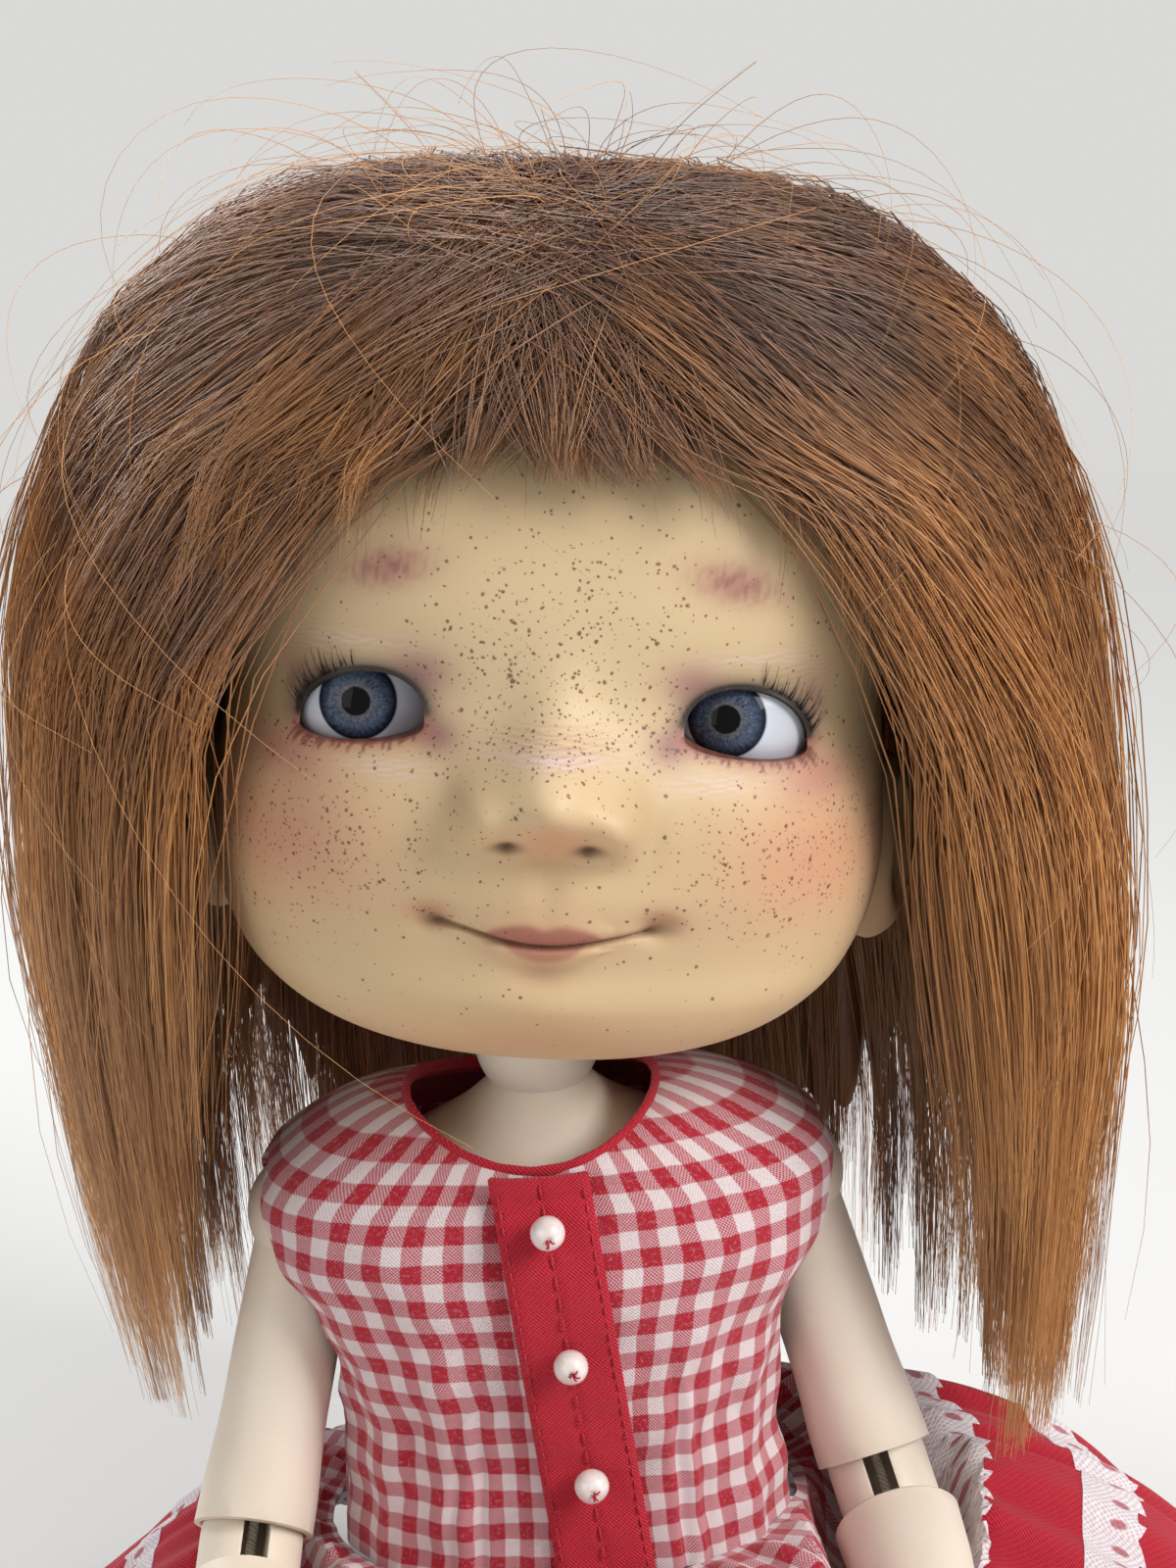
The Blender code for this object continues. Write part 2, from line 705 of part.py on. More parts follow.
def make_chest(waist):
    rings = []
    for up, wide, deep in CHEST_SHARES:
        deep_here = CHEST_HALF_DEPTH * deep
        rings.append(
            boxed_ring(
                CHEST_HALF_WIDTH * wide, deep_here, deep_here, CHEST_RISE * up, 2.3, 20
            )
        )
    ball = []
    start = math.asin(NECK_RADIUS * 0.95 / NECK_BALL)
    for i in range(7):
        angle = math.pi - start - (math.pi - start - 0.2) * i / 6
        ball.append(
            round_ring_like(
                NECK_BALL * math.sin(angle), NECK_RISE + NECK_BALL * math.cos(angle), 20
            )
        )
    chest = node("chest", loft("chest", rings + ball), waist, BODY_RESIN)
    cut(chest, socket_mesh("waist_cup", WAIST_BALL + SEAT_GAP, (0, 0, 0), 16, 8))
    for side in (1, -1):
        centre = (side * SHOULDER_SIDE, 0, SHOULDER_RISE)
        cut(chest, socket_mesh("arm_socket", SHOULDER_BALL + SEAT_GAP, centre, 12, 8))
    across = SHOULDER_SIDE + OVERRUN
    cut(
        chest,
        rod_mesh(
            "arm_channel",
            ARM_CHANNEL,
            (-across, 0, SHOULDER_RISE),
            (across, 0, SHOULDER_RISE),
        ),
    )
    top = (0, 0, NECK_RISE - NECK_BALL * 0.28)
    cut(chest, rod_mesh("body_channel", TORSO_CHANNEL, (0, 0, 0), top, 10))
    slot = box_mesh(
        "hook_slot",
        (-NECK_SLOT_WIDTH / 2, -NECK_SLOT_LENGTH / 2, NECK_RISE - NECK_BALL * 1.6),
        (NECK_SLOT_WIDTH / 2, NECK_SLOT_LENGTH / 2, NECK_RISE + NECK_BALL * 1.5),
    )
    cut(chest, slot)
    return chest


def round_ring_like(radius, height, sides):
    """A round ring whose points start in the same place as a boxed ring's."""
    return boxed_ring(radius, radius, radius, height, 2, sides)


def leg_room(name, side):
    """The space that a thigh sweeps, from straight down to straight ahead, as one block."""
    room = THIGH_RADIUS + 2 * SEAT_GAP
    far = PELVIS_HALF_DEPTH + OVERRUN
    profile = [(-far, -OVERRUN), (-far, HIP_HEIGHT + room)]
    for i in range(9):
        angle = math.radians(90 - 90 * i / 8)
        profile.append(
            (room * math.cos(angle) - HIP_FORWARD, HIP_HEIGHT + room * math.sin(angle))
        )
    profile.append((room - HIP_FORWARD, -OVERRUN))
    near, wide = side * (HIP_SIDE - room), side * (HIP_SIDE + room + OVERRUN)
    return loft(name, [[(x, y, z) for y, z in profile] for x in (near, wide)])


def make_pelvis():
    """The pelvis, with the waist ball on top and room cut out for the legs to swing."""
    rings = []
    base = WAIST_HEIGHT - PELVIS_SHOULDER_DROP
    for up, wide, deep in ((0, 0.86, 0.9), (0.12, 0.98, 1), (0.6, 1, 1), (1, 0.84, 0.9)):
        rings.append(
            boxed_ring(
                PELVIS_HALF_WIDTH * wide,
                PELVIS_HALF_DEPTH * deep,
                PELVIS_HALF_DEPTH * deep,
                base * up,
                2.6,
                20,
            )
        )
    start = math.asin(min(PELVIS_SHOULDER_DROP / WAIST_BALL, 1))
    for i in range(6):
        angle = -start + (math.radians(80) + start) * i / 5
        radius, rise = WAIST_BALL * math.cos(angle), WAIST_BALL * math.sin(angle)
        rings.append(round_ring_like(radius, WAIST_HEIGHT + rise, 20))
    pelvis = node("pelvis", loft("pelvis", rings), None, BODY_RESIN)
    for side in (1, -1):
        cut(pelvis, leg_room(f"leg_room_{side}", side))
    across = HIP_SIDE + OVERRUN
    line = (-HIP_FORWARD, HIP_HEIGHT)
    cut(pelvis, rod_mesh("hip_channel", ARM_CHANNEL, (-across, *line), (across, *line)))
    channel = []
    for y, height, radius in (
        (-HIP_FORWARD, HIP_HEIGHT, ARM_CHANNEL * 1.05),
        (0, WAIST_HEIGHT, ARM_CHANNEL * 1.1),
        (0, WAIST_HEIGHT + 1.2 * WAIST_BALL, ARM_CHANNEL * 2.2),
    ):
        channel.append(shifted(round_ring(radius, height, 10), (0, y, 0)))
    cut(pelvis, loft("body_channel", channel))
    return pelvis


# How far along an arm or a leg piece, and its radius, as shares of its length and girth
UPPER_ARM_SHARES = ((0.24, 0.88), (0.42, 0.90), (0.65, 0.92), (0.84, 1.00))
FOREARM_SHARES = ((0.12, 1.00), (0.32, 0.96), (0.60, 0.80), (0.84, 0.64))
THIGH_SHARES = ((0.20, 1.00), (0.42, 0.97), (0.66, 0.88), (0.86, 0.86))
SHIN_SHARES = ((0.14, 0.98), (0.32, 1.00), (0.58, 0.82), (0.86, 0.62))


def ball_rings(radius, sides, stop, count=5):
    """Rings down a ball from its top pole to where it reaches the stop radius again."""
    last = math.pi - math.asin(min(stop / radius, 1))
    rings = []
    for i in range(count + 1):
        angle = 0.25 + (last - 0.25) * i / count
        rings.append(round_ring(radius * math.sin(angle), radius * math.cos(angle), sides))
    return rings


def first_segment(name, frame, length, girth, shares, ball, end_ball, bend, side):
    """An upper arm or a thigh: a slotted ball on top, and a slanted cup for the double joint."""
    sides = 10
    rings = ball_rings(ball, sides, girth * shares[0][1] * 0.98)
    rings += [round_ring(girth * r, -length * t, sides) for t, r in shares]
    tilt = bend * 0.46
    cup = end_ball + SEAT_GAP
    rings.append(round_ring(cup * 1.09, -length + end_ball * 0.2, sides, tilt))
    piece = node(name, loft(name, rings), frame, BODY_RESIN)
    cut(piece, socket_mesh("cup", cup, (0, 0, -length), 12, 7))
    cut(
        piece,
        rod_mesh("bore", LIMB_BORE, (0, 0, ball + OVERRUN), (0, 0, -length - OVERRUN)),
    )
    near, far = side * LIMB_BORE / 4, -side * OVERRUN
    low = (min(near, far), -JOINT_SLOT / 2, -LIMB_BORE)
    high = (max(near, far), JOINT_SLOT / 2, OVERRUN)
    cut(piece, box_mesh("ball_slot", low, high))
    return piece


def double_joint(name, frame, radius, spacing, bend, sides=10):
    """The small piece between two limbs: two balls in one, slotted for the elastic."""
    rings = []
    for i in range(5):
        angle = 0.25 + (math.pi / 2 - 0.25) * i / 4
        rings.append(round_ring(radius * math.sin(angle), radius * math.cos(angle), sides))
    for i in range(5):
        angle = math.pi / 2 + (math.pi / 2 - 0.25) * i / 4
        height = radius * math.cos(angle) - spacing
        rings.append(round_ring(radius * math.sin(angle), height, sides))
    piece = node(name, loft(name, rings), frame, BODY_RESIN)
    reach = radius + spacing + OVERRUN
    near, far = -LIMB_BORE * bend, radius * 1.5 * bend
    low = (-JOINT_SLOT / 2, min(near, far), -reach)
    high = (JOINT_SLOT / 2, max(near, far), reach)
    cut(piece, box_mesh("slot", low, high))
    return piece


def second_segment(name, frame, length, girth, shares, top_ball, end_ball, bend, sides=10):
    """A forearm or a shin: a slanted cup on top, and a small cup at its end."""
    tilt = -bend * 0.46
    top = top_ball * 0.2
    rings = [
        round_ring(girth * 0.96, -top, sides, tilt),
        round_ring(girth * 1.02, -top - girth * 0.12, sides, tilt * 0.9),
    ]
    for t, r in shares:
        rings.append(round_ring(girth * r, -length * t - top, sides, tilt * (0.5 - t)))
    end = max(girth * shares[-1][1] * 0.98, end_ball + SEAT_GAP)
    rings.append(round_ring(end, -length + end_ball * 0.25, sides))
    piece = node(name, loft(name, rings), frame, BODY_RESIN)
    cut(piece, socket_mesh("top_cup", top_ball + SEAT_GAP, (0, 0, 0), 12, 7))
    cut(piece, socket_mesh("end_cup", end_ball + SEAT_GAP, (0, 0, -length), 12, 6))
    cut(piece, rod_mesh("bore", LIMB_BORE, (0, 0, OVERRUN), (0, 0, -length - OVERRUN)))
    return piece


def fit_hook(name, piece, frame, ball):
    """Bores the ball of a hand or a foot, and hangs a small steel S-hook on the bar left in it."""
    bore = HOOK_CURL + HOOK_WIRE + SEAT_GAP
    cut(piece, rod_mesh("hook_bore", bore, (0, 0, OVERRUN), (0, 0, -ball * 0.92), 10))
    bar = HOOK_RISE - 2 * HOOK_CURL
    reach = (bore + ball) / 2
    fuse(piece, rod_mesh("hook_bar", HOOK_BAR, (-reach, 0, bar), (reach, 0, bar), 8))
    points = []
    for i in range(5):
        angle = math.radians(150 - 60 * i)
        points.append((HOOK_CURL * math.cos(angle), HOOK_CURL * math.sin(angle)))
    points = [(0, y, z + HOOK_RISE) for y, z in points]
    for i in range(1, 6):
        angle = math.radians(90 + 60 * i)
        y, z = HOOK_CURL * math.cos(angle), HOOK_CURL * math.sin(angle)
        points.append((0, y, z + bar))
    return tube(name, points, HOOK_WIRE, frame, STEEL, 0)


def make_hand(name, side, frame):
    rings = ball_rings(WRIST_BALL, 10, WRIST_BALL * 0.72, 4)
    for t, wide, thick in ((0.15, 0.70, 1.1), (0.45, 1.0, 1.0), (0.8, 1.0, 0.85), (1, 0.86, 0.6)):
        ring = []
        for x, y, _ in round_ring(1, 0, 10):
            ring.append(
                (x * PALM_THICKNESS / 2 * thick, y * PALM_WIDTH / 2 * wide, 0)
            )
        drop = -WRIST_BALL - PALM_LENGTH * t
        rings.append([(x, y, drop) for x, y, _ in ring])
    hand = node(f"hand_{name}", loft("hand", rings), frame, BODY_RESIN)
    knuckle = -WRIST_BALL - PALM_LENGTH * 0.86
    for i in range(4):
        across = PALM_WIDTH * (i - 1.5) * 0.255
        length = FINGER_LENGTH * (0.82, 1.0, 0.95, 0.72)[i]
        curl = -side * FINGER_LENGTH * 0.18
        finger = loft(
            f"finger_{i}",
            [
                shifted(round_ring(FINGER_RADIUS, 0, 5), (0, across, knuckle)),
                shifted(
                    round_ring(FINGER_RADIUS * 0.98, 0, 5),
                    (curl * 0.3, across * 1.06, knuckle - length * 0.55),
                ),
                shifted(
                    round_ring(FINGER_RADIUS * 0.85, 0, 5),
                    (curl, across * 1.1, knuckle - length * 0.9),
                ),
                shifted(
                    round_ring(FINGER_RADIUS * 0.4, 0, 5),
                    (curl * 1.15, across * 1.12, knuckle - length),
                ),
            ],
        )
        fuse(hand, finger)
    root, tip = Vector((0, -PALM_WIDTH * 0.3, knuckle + PALM_LENGTH * 0.55)), Vector(
        (-side * PALM_THICKNESS * 0.6, -PALM_WIDTH * 0.78, knuckle + PALM_LENGTH * 0.05)
    )
    fuse(hand, rod_mesh("thumb", FINGER_RADIUS * 1.1, root, tip, 5))
    fit_hook(f"hand_hook_{name}", hand, frame, WRIST_BALL)
    return hand


def shifted(ring, place):
    return [tuple(a + b for a, b in zip(point, place)) for point in ring]


def make_foot(name, frame):
    """A bare foot whose flat sole faces straight down from the ankle."""
    toe = FOOT_LENGTH - FOOT_HEEL
    rings = []
    for along, wide, tall in (
        (-1.00, 0.50, 0.42),
        (-0.86, 0.72, 0.62),
        (-0.4, 0.80, 0.86),
        (0.10, 0.78, 0.84),
        (0.45, 0.92, 0.62),
        (0.75, 1.00, 0.44),
        (0.93, 0.88, 0.34),
        (1.00, 0.62, 0.24),
    ):
        y = -along * toe if along > 0 else -along * FOOT_HEEL
        ring = []
        for i in range(8):
            angle = 2 * math.pi * (i + 0.5) / 8
            x = FOOT_WIDTH / 2 * wide * power(math.cos(angle), 0.8)
            z = power(math.sin(angle), 0.8)
            height = ANKLE_HEIGHT * tall * (z + 1) / 2
            ring.append((x, y, -ANKLE_HEIGHT + height))
        low = min(z for _, _, z in ring)
        rings.append(
            [(x, y, -ANKLE_HEIGHT if z < low + SEAT_GAP else z) for x, y, z in ring]
        )
    foot = node(f"foot_{name}", loft("foot", rings), frame, BODY_RESIN)
    fuse(foot, ball_mesh("ankle_ball", ANKLE_BALL, (0, 0, 0), 14, 8))
    fit_hook(f"ankle_hook_{name}", foot, frame, ANKLE_BALL)
    return foot


def make_arm(name, side, waist):
    spread = turned_about("Y", -side * ARM_SPREADS[name])
    swing = turned_about("X", -ARM_SWINGS[name])
    place = (side * SHOULDER_SIDE, 0, SHOULDER_RISE)
    shoulder = joint_frame(f"shoulder_{name}", waist, place, spread @ swing)
    bend = turned_about("X", -ELBOW_BEND)
    upper = joint_frame(f"elbow_upper_{name}", shoulder, (0, 0, -UPPER_ARM_LENGTH), bend)
    lower = joint_frame(f"elbow_lower_{name}", upper, (0, 0, -ELBOW_SPACING), bend)
    wrist = joint_frame(f"wrist_{name}", lower, (0, 0, -FOREARM_LENGTH))
    first_segment(
        f"upper_arm_{name}",
        shoulder,
        UPPER_ARM_LENGTH,
        UPPER_ARM_RADIUS,
        UPPER_ARM_SHARES,
        SHOULDER_BALL,
        ELBOW_RADIUS,
        -1,
        side,
    )
    double_joint(f"elbow_{name}", upper, ELBOW_RADIUS, ELBOW_SPACING, -1)
    second_segment(
        f"forearm_{name}",
        lower,
        FOREARM_LENGTH,
        FOREARM_RADIUS,
        FOREARM_SHARES,
        ELBOW_RADIUS,
        WRIST_BALL,
        -1,
    )
    make_hand(name, side, wrist)
    return shoulder, upper, lower, wrist


def make_leg(name, side):
    place = (side * HIP_SIDE, -HIP_FORWARD, HIP_HEIGHT)
    hip = joint_frame(f"hip_{name}", None, place, turned_about("X", -LEG_RAISE))
    upper = joint_frame(f"knee_upper_{name}", hip, (0, 0, -THIGH_LENGTH))
    lower = joint_frame(f"knee_lower_{name}", upper, (0, 0, -KNEE_SPACING))
    ankle = joint_frame(f"ankle_{name}", lower, (0, 0, -SHIN_LENGTH))
    first_segment(
        f"thigh_{name}",
        hip,
        THIGH_LENGTH,
        THIGH_RADIUS,
        THIGH_SHARES,
        HIP_BALL,
        KNEE_RADIUS,
        1,
        side,
    )
    double_joint(f"knee_{name}", upper, KNEE_RADIUS, KNEE_SPACING, 1)
    second_segment(
        f"shin_{name}",
        lower,
        SHIN_LENGTH,
        SHIN_RADIUS,
        SHIN_SHARES,
        KNEE_RADIUS,
        ANKLE_BALL,
        1,
    )
    make_foot(name, ankle)
    return hip, upper, lower, ankle


def place_of(frame, point=(0, 0, 0)):
    return frame.matrix_world @ Vector(point)


def hooked_end(frame, inner):
    """The end of a cord: a short tail, round through the hook, and back up the limb."""
    line = []
    for side, rise in ((-1, 1), (-1, 0), (1, 0), (1, 1)):
        line.append(
            place_of(frame, (side * STRAND_SIDE, 0, HOOK_RISE + rise * STRAND_TAIL))
        )
    return line + [place_of(frame, (0, 0, inner))]


def make_elastics(arms, legs, waist, neck):
    """The cord from hand to hand, and the cord from ankle to ankle past the neck hook."""
    bpy.context.view_layer.update()
    halves = []
    for name, _ in SIDES:
        shoulder, upper, lower, wrist = arms[name]
        halves.append(
            hooked_end(wrist, FOREARM_LENGTH / 2)
            + [place_of(lower), place_of(upper), place_of(shoulder)]
        )
    points = rounded_route(halves[0] + halves[1][::-1], CORNER_RADIUS)
    tube("arm_elastic", points, ELASTIC_RADIUS, None, ELASTIC, 0)
    halves = []
    for name, side in SIDES:
        hip, upper, lower, ankle = legs[name]
        x = side * STRAND_SIDE * 0.75
        wide = side * (NECK_WIRE + ELASTIC_RADIUS + 2 * SEAT_GAP)
        halves.append(
            hooked_end(ankle, SHIN_LENGTH / 2)
            + [
                place_of(lower),
                place_of(upper),
                place_of(hip),
                Vector((x, -HIP_FORWARD, HIP_HEIGHT)),
                Vector((x, 0, WAIST_HEIGHT)),
                place_of(waist, (x, -STRAND_DEPTH, WAIST_BALL)),
                place_of(waist, (x, -STRAND_DEPTH, SHOULDER_RISE + ARM_CHANNEL)),
                place_of(neck, (wide, 0, -NECK_HOOK_REACH - 2 * NECK_HOOK_LOW)),
                place_of(neck, (wide, 0, -NECK_HOOK_REACH)),
            ]
        )
    points = rounded_route(halves[0] + halves[1][::-1], CORNER_RADIUS)
    tube("leg_elastic", points, ELASTIC_RADIUS, None, ELASTIC, 0)


# How high and how wide the bodice is, and its front and back, as shares
BODICE_SHARES = (
    (0.00, 0.775, 0.985, 0.93),
    (0.19, 0.750, 0.95, 0.90),
    (0.38, 0.775, 0.98, 0.93),
    (0.53, 0.870, 1.01, 0.97),
    (0.66, 0.985, 1.00, 0.97),
    (0.76, 1.000, 0.93, 0.92),
    (0.845, 0.920, 0.82, 0.84),
    (0.92, 0.750, 0.72, 0.76),
    (0.97, 0.540, 0.62, 0.64),
    (1.00, 0.350, 0.50, 0.50),
)


def pleat(angle, share):
    """How far the bodice's pleats stand out, most at the waist and beside the placket."""
    return PLEAT_DEPTH * (1 - ramp(share, 0.3, 0.85)) * (1 + math.cos(14 * angle)) / 2


def neckline_point(angle, inward=0.0):
    """A point of the neckline, angle 0 in front; it climbs to the shoulders."""
    x = (NECKLINE_HALF_WIDTH - inward) * math.sin(angle) + NECKLINE_SIDE
    y = -(NECKLINE_HALF_DEPTH - inward) * math.cos(angle) - NECKLINE_FORWARD
    z = NECKLINE_HEIGHT + NECKLINE_RISE * math.sin(angle) ** 2
    return Vector((x, y, z + NECKLINE_BACK_RISE * (1 - math.cos(angle)) / 2))


def bodice_ring(share, wall, sides):
    """A level ring of the bodice; above the chest it draws in to the neckline."""
    low = min(share, NECKLINE_START_SHARE)
    wide, front, back = between(BODICE_SHARES, low)
    ring = boxed_ring(
        BODICE_HALF_WIDTH * wide - wall,
        BODICE_HALF_DEPTH * front - wall,
        BODICE_HALF_DEPTH * back - wall,
        -BODICE_DROP + (BODICE_TOP + BODICE_DROP) * low,
        BODICE_POWER,
        sides,
    )
    near = max(share - low, 0) / (1 - NECKLINE_START_SHARE)
    out = []
    for i, point in enumerate(ring):
        angle = 2 * math.pi * i / sides
        x, y, z = point
        grow = 1 + pleat(angle, share) / max(math.hypot(x, y), CLOTH)
        edge = neckline_point(angle) - Vector((0, 0, wall))
        along = Vector((x * grow, y * grow, z)).lerp(edge, near)
        along.z += (edge.z - z) * near * (1 - near) * 0.9
        out.append(tuple(along))
    return out


def bodice_front(x, height):
    """How far forward the bodice's front stands at this place."""
    share = (height + BODICE_DROP) / (BODICE_TOP + BODICE_DROP)
    wide, front, _ = between(BODICE_SHARES, min(share, NECKLINE_START_SHARE))
    inner = 1 - (abs(x) / (BODICE_HALF_WIDTH * wide)) ** BODICE_POWER
    return -BODICE_HALF_DEPTH * front * inner ** (1 / BODICE_POWER) - PLEAT_DEPTH


def make_bodice(waist):
    rows = [*(i / 9 for i in range(7)), 0.74, NECKLINE_START_SHARE, 0.9, 1]
    outer = [bodice_ring(share, 0, 32) for share in rows]
    inner = [bodice_ring(share, CLOTH, 32) for share in rows]
    skin = loft("bodice", outer + inner[::-1], closed_ends=False)
    bodice = node("dress_bodice", skin, waist, GINGHAM)
    for name, side in SIDES:
        middle = (ARMHOLE_LOW + ARMHOLE_HIGH) / 2
        half = (ARMHOLE_HIGH - ARMHOLE_LOW) / 2
        near, far = side * ARMHOLE_INSIDE, side * (BODICE_HALF_WIDTH + OVERRUN)
        rings = []
        for x in (near, far):
            ring = []
            for i in range(12):
                angle = 2 * math.pi * (i + 0.5) / 12
                y = ARMHOLE_DEPTH * math.cos(angle)
                ring.append((x, y, middle + half * math.sin(angle)))
            rings.append(ring)
        cut(bodice, loft(f"armhole_{name}", rings))
    return bodice


def placket_side(height):
    share = (height + BODICE_DROP) / (NECKLINE_HEIGHT + BODICE_DROP)
    return PLACKET_LOW_SIDE + (PLACKET_TOP_SIDE - PLACKET_LOW_SIDE) * share


def make_placket(waist):
    rings = []
    top = NECKLINE_HEIGHT - CLOTH
    for i in range(9):
        height = -BODICE_DROP + (top + BODICE_DROP) * i / 8
        middle = placket_side(height)
        back, front = [], []
        for j in range(5):
            x = middle + PLACKET_WIDTH * (j / 4 - 0.5)
            y = bodice_front(x, height) - SEAT_GAP
            back.append((x, y, height))
            front.append((x, y - PLACKET_THICKNESS, height))
        rings.append(back + front[::-1])
    node("dress_placket", loft("placket", rings, strip_ends=True), waist, RED_COTTON)
    for i in range(BUTTON_COUNT):
        height = NECKLINE_HEIGHT - BUTTON_TOP - BUTTON_PITCH * i
        x = placket_side(height)
        y = bodice_front(x, height) - 2 * SEAT_GAP - PLACKET_THICKNESS - BUTTON_RADIUS
        button = node(
            f"pearl_button_{i + 1}",
            ball_mesh("pearl", BUTTON_RADIUS, (x, y, height), 10, 6),
            waist,
            PEARL,
        )
        hole = rod_mesh(
            "thread_hole",
            BUTTON_RADIUS / 5,
            (x, y - OVERRUN, height),
            (x, y + OVERRUN, height),
            6,
        )
        cut(button, hole)


def make_binding(waist):
    """The thin red edge round the inside of the neckline."""
    inward = BINDING_RADIUS + SEAT_GAP
    points = [neckline_point(2 * math.pi * i / 24, inward) for i in range(24)]
    ring = tube("neckline_binding", points, BINDING_RADIUS, waist, RED_COTTON, 0)
    ring.data.splines[0].use_cyclic_u = True


# How far out the skirt is, and its height, as shares of the skirt and of its waist
SKIRT_SHARES = (
    (0.00, 1.00),
    (0.10, 1.03),
    (0.25, 0.98),
    (0.42, 0.84),
    (0.62, 0.60),
    (0.82, 0.31),
    (1.00, 0.10),
)
# Name, where each band starts and ends, and its finish
SKIRT_BANDS = (
    ("skirt_tier_upper", 0.0, 0.24, GINGHAM),
    ("skirt_lace_upper", 0.24, 0.35, LACE),
    ("skirt_tier_middle", 0.35, 0.53, RED_COTTON),
    ("skirt_lace_middle", 0.53, 0.64, LACE),
    ("skirt_tier_lower", 0.64, 0.87, RED_COTTON),
    ("skirt_lace_hem", 0.87, 1.0, LACE),
)


def leg_cover(x, y, legs):
    """The lowest that the skirt's top may lie here without touching a leg under it."""
    cover = 0
    room = LEG_COVER + SKIRT_CLOTH
    for hip, knee, shin_end in legs:
        for start, end, near, far in (
            (hip, knee, THIGH_RADIUS, KNEE_RADIUS + LEG_COVER),
            (knee, shin_end, KNEE_RADIUS + LEG_COVER, SHIN_RADIUS),
        ):
            share = min(max((y - start.y) / (end.y - start.y), 0), 1)
            radius = near + (far - near) * share + room
            off = max(abs(x - start.x) - radius * 0.1, 0)
            if abs(x) < abs(start.x):
                off = 0
            fall = radius - math.sqrt(max(radius**2 - off**2, 0))
            beyond = max(y - hip.y, 0)
            cover = max(cover, start.z + (end.z - start.z) * share + radius - fall - beyond)
    return cover


def arm_limit(x, y, arms):
    """The highest that the skirt's top may lie here without touching an arm over it."""
    limit = SKIRT_LEFT_WIDTH
    for start, end, near, far in arms:
        along = end.xy - start.xy
        share = min(max((Vector((x, y)) - start.xy).dot(along) / along.length_squared, 0), 1)
        radius = near + (far - near) * share + ARM_COVER
        off = (Vector((x, y)) - start.xy - along * share).length
        height = start.z + (end.z - start.z) * share
        if off < radius:
            limit = min(limit, height - math.sqrt(radius**2 - off**2))
        else:
            limit = min(limit, height + 2 * (off - radius))
    return limit


def skirt_point(angle, share, legs, arms):
    """A point of the skirt's top, angle 0 in front."""
    across, ahead = math.sin(angle), math.cos(angle)
    hem = SKIRT_FRONT if ahead > 0 else SKIRT_BACK
    wave = math.cos(FOLD_COUNT * angle + FOLD_TURN)
    swell = 1 + FOLD_SWELL_SHARE * share * math.sin(FOLD_COUNT * angle)
    reach = SKIRT_LEFT_WIDTH if across > 0 else SKIRT_RIGHT_WIDTH
    x = across * (SKIRT_WAIST_WIDTH + (reach - SKIRT_WAIST_WIDTH) * share)
    y = -ahead * (SKIRT_WAIST_DEPTH + (hem - SKIRT_WAIST_DEPTH) * share)
    x, y = x * swell, y * swell
    height = (WAIST_HEIGHT - BODICE_DROP - SEAT_GAP) * between(SKIRT_SHARES, share)[0]
    height *= 1 - (1 - FRONT_SINK_SHARE) * ramp(ahead, 0.0, 0.5) * ramp(share, 0.15, 0.5)
    height += FOLD_HEIGHT * ramp(share, 0.0, 0.5) * (1 + wave) / 2
    height += x * math.tan(-CHEST_LEAN) * (1 - ramp(share, 0.0, 0.35))
    puff = (angle - SKIRT_PUFF_ANGLE) / SKIRT_PUFF_WIDTH
    height += SKIRT_PUFF * math.exp(-(puff**2)) * ramp(share, 0.0, 0.25) * (1 - ramp(share, 0.6, 1))
    height = max(height, leg_cover(x, y, legs))
    height = min(height, max(arm_limit(x, y, arms), HEM_CLEARANCE))
    return Vector((x, y, max(height, HEM_CLEARANCE)))


def make_skirt(legs, arms):
    sides = FOLD_COUNT * 4
    leg_lines = [
        (place_of(hip), place_of(upper), place_of(ankle)) for hip, upper, _, ankle in legs
    ]
    arm_lines = []
    for _, upper, lower, wrist in arms:
        elbow, bent, hand = place_of(upper), place_of(lower), place_of(wrist)
        tip = place_of(wrist, (0, 0, -PALM_LENGTH - FINGER_LENGTH))
        arm_lines.append((elbow, bent, ELBOW_RADIUS, FOREARM_RADIUS))
        arm_lines.append((bent, hand, FOREARM_RADIUS, FOREARM_RADIUS * 0.8))
        arm_lines.append((hand, tip, WRIST_BALL, PALM_WIDTH / 2))
    angles = [2 * math.pi * i / sides for i in range(sides)]
    drop = Vector((0, 0, SKIRT_CLOTH))
    for name, start, end, look in SKIRT_BANDS:
        steps = max(round((end - start) / SKIRT_STEP_SHARE), 1)
        gap = SEAT_GAP / (SKIRT_FRONT - SKIRT_WAIST_DEPTH)
        first, last = start + gap / 2, end - gap / 2
        top = []
        for i in range(steps + 1):
            share = first + (last - first) * i / steps
            top.append([skirt_point(a, share, leg_lines, arm_lines) for a in angles])
        under = [[point - drop for point in ring] for ring in top]
        node(name, loft(name, top + under[::-1], closed_ends=False), None, look)


# How far along the hair, its reach to the side, its height and its thickness, as shares
HAIR_SIDE_SHARES = (
    (0.00, 0.02, 1.00, 1.0),
    (0.06, 0.28, 0.985, 1.0),
    (0.14, 0.54, 0.90, 1.0),
    (0.23, 0.76, 0.70, 1.0),
    (0.33, 0.90, 0.40, 1.1),
    (0.46, 0.97, 0.00, 2.2),
    (0.62, 1.00, -0.52, 2.4),
    (0.80, 0.97, -1.02, 1.5),
    (1.00, 0.90, -1.64, 1.0),
)


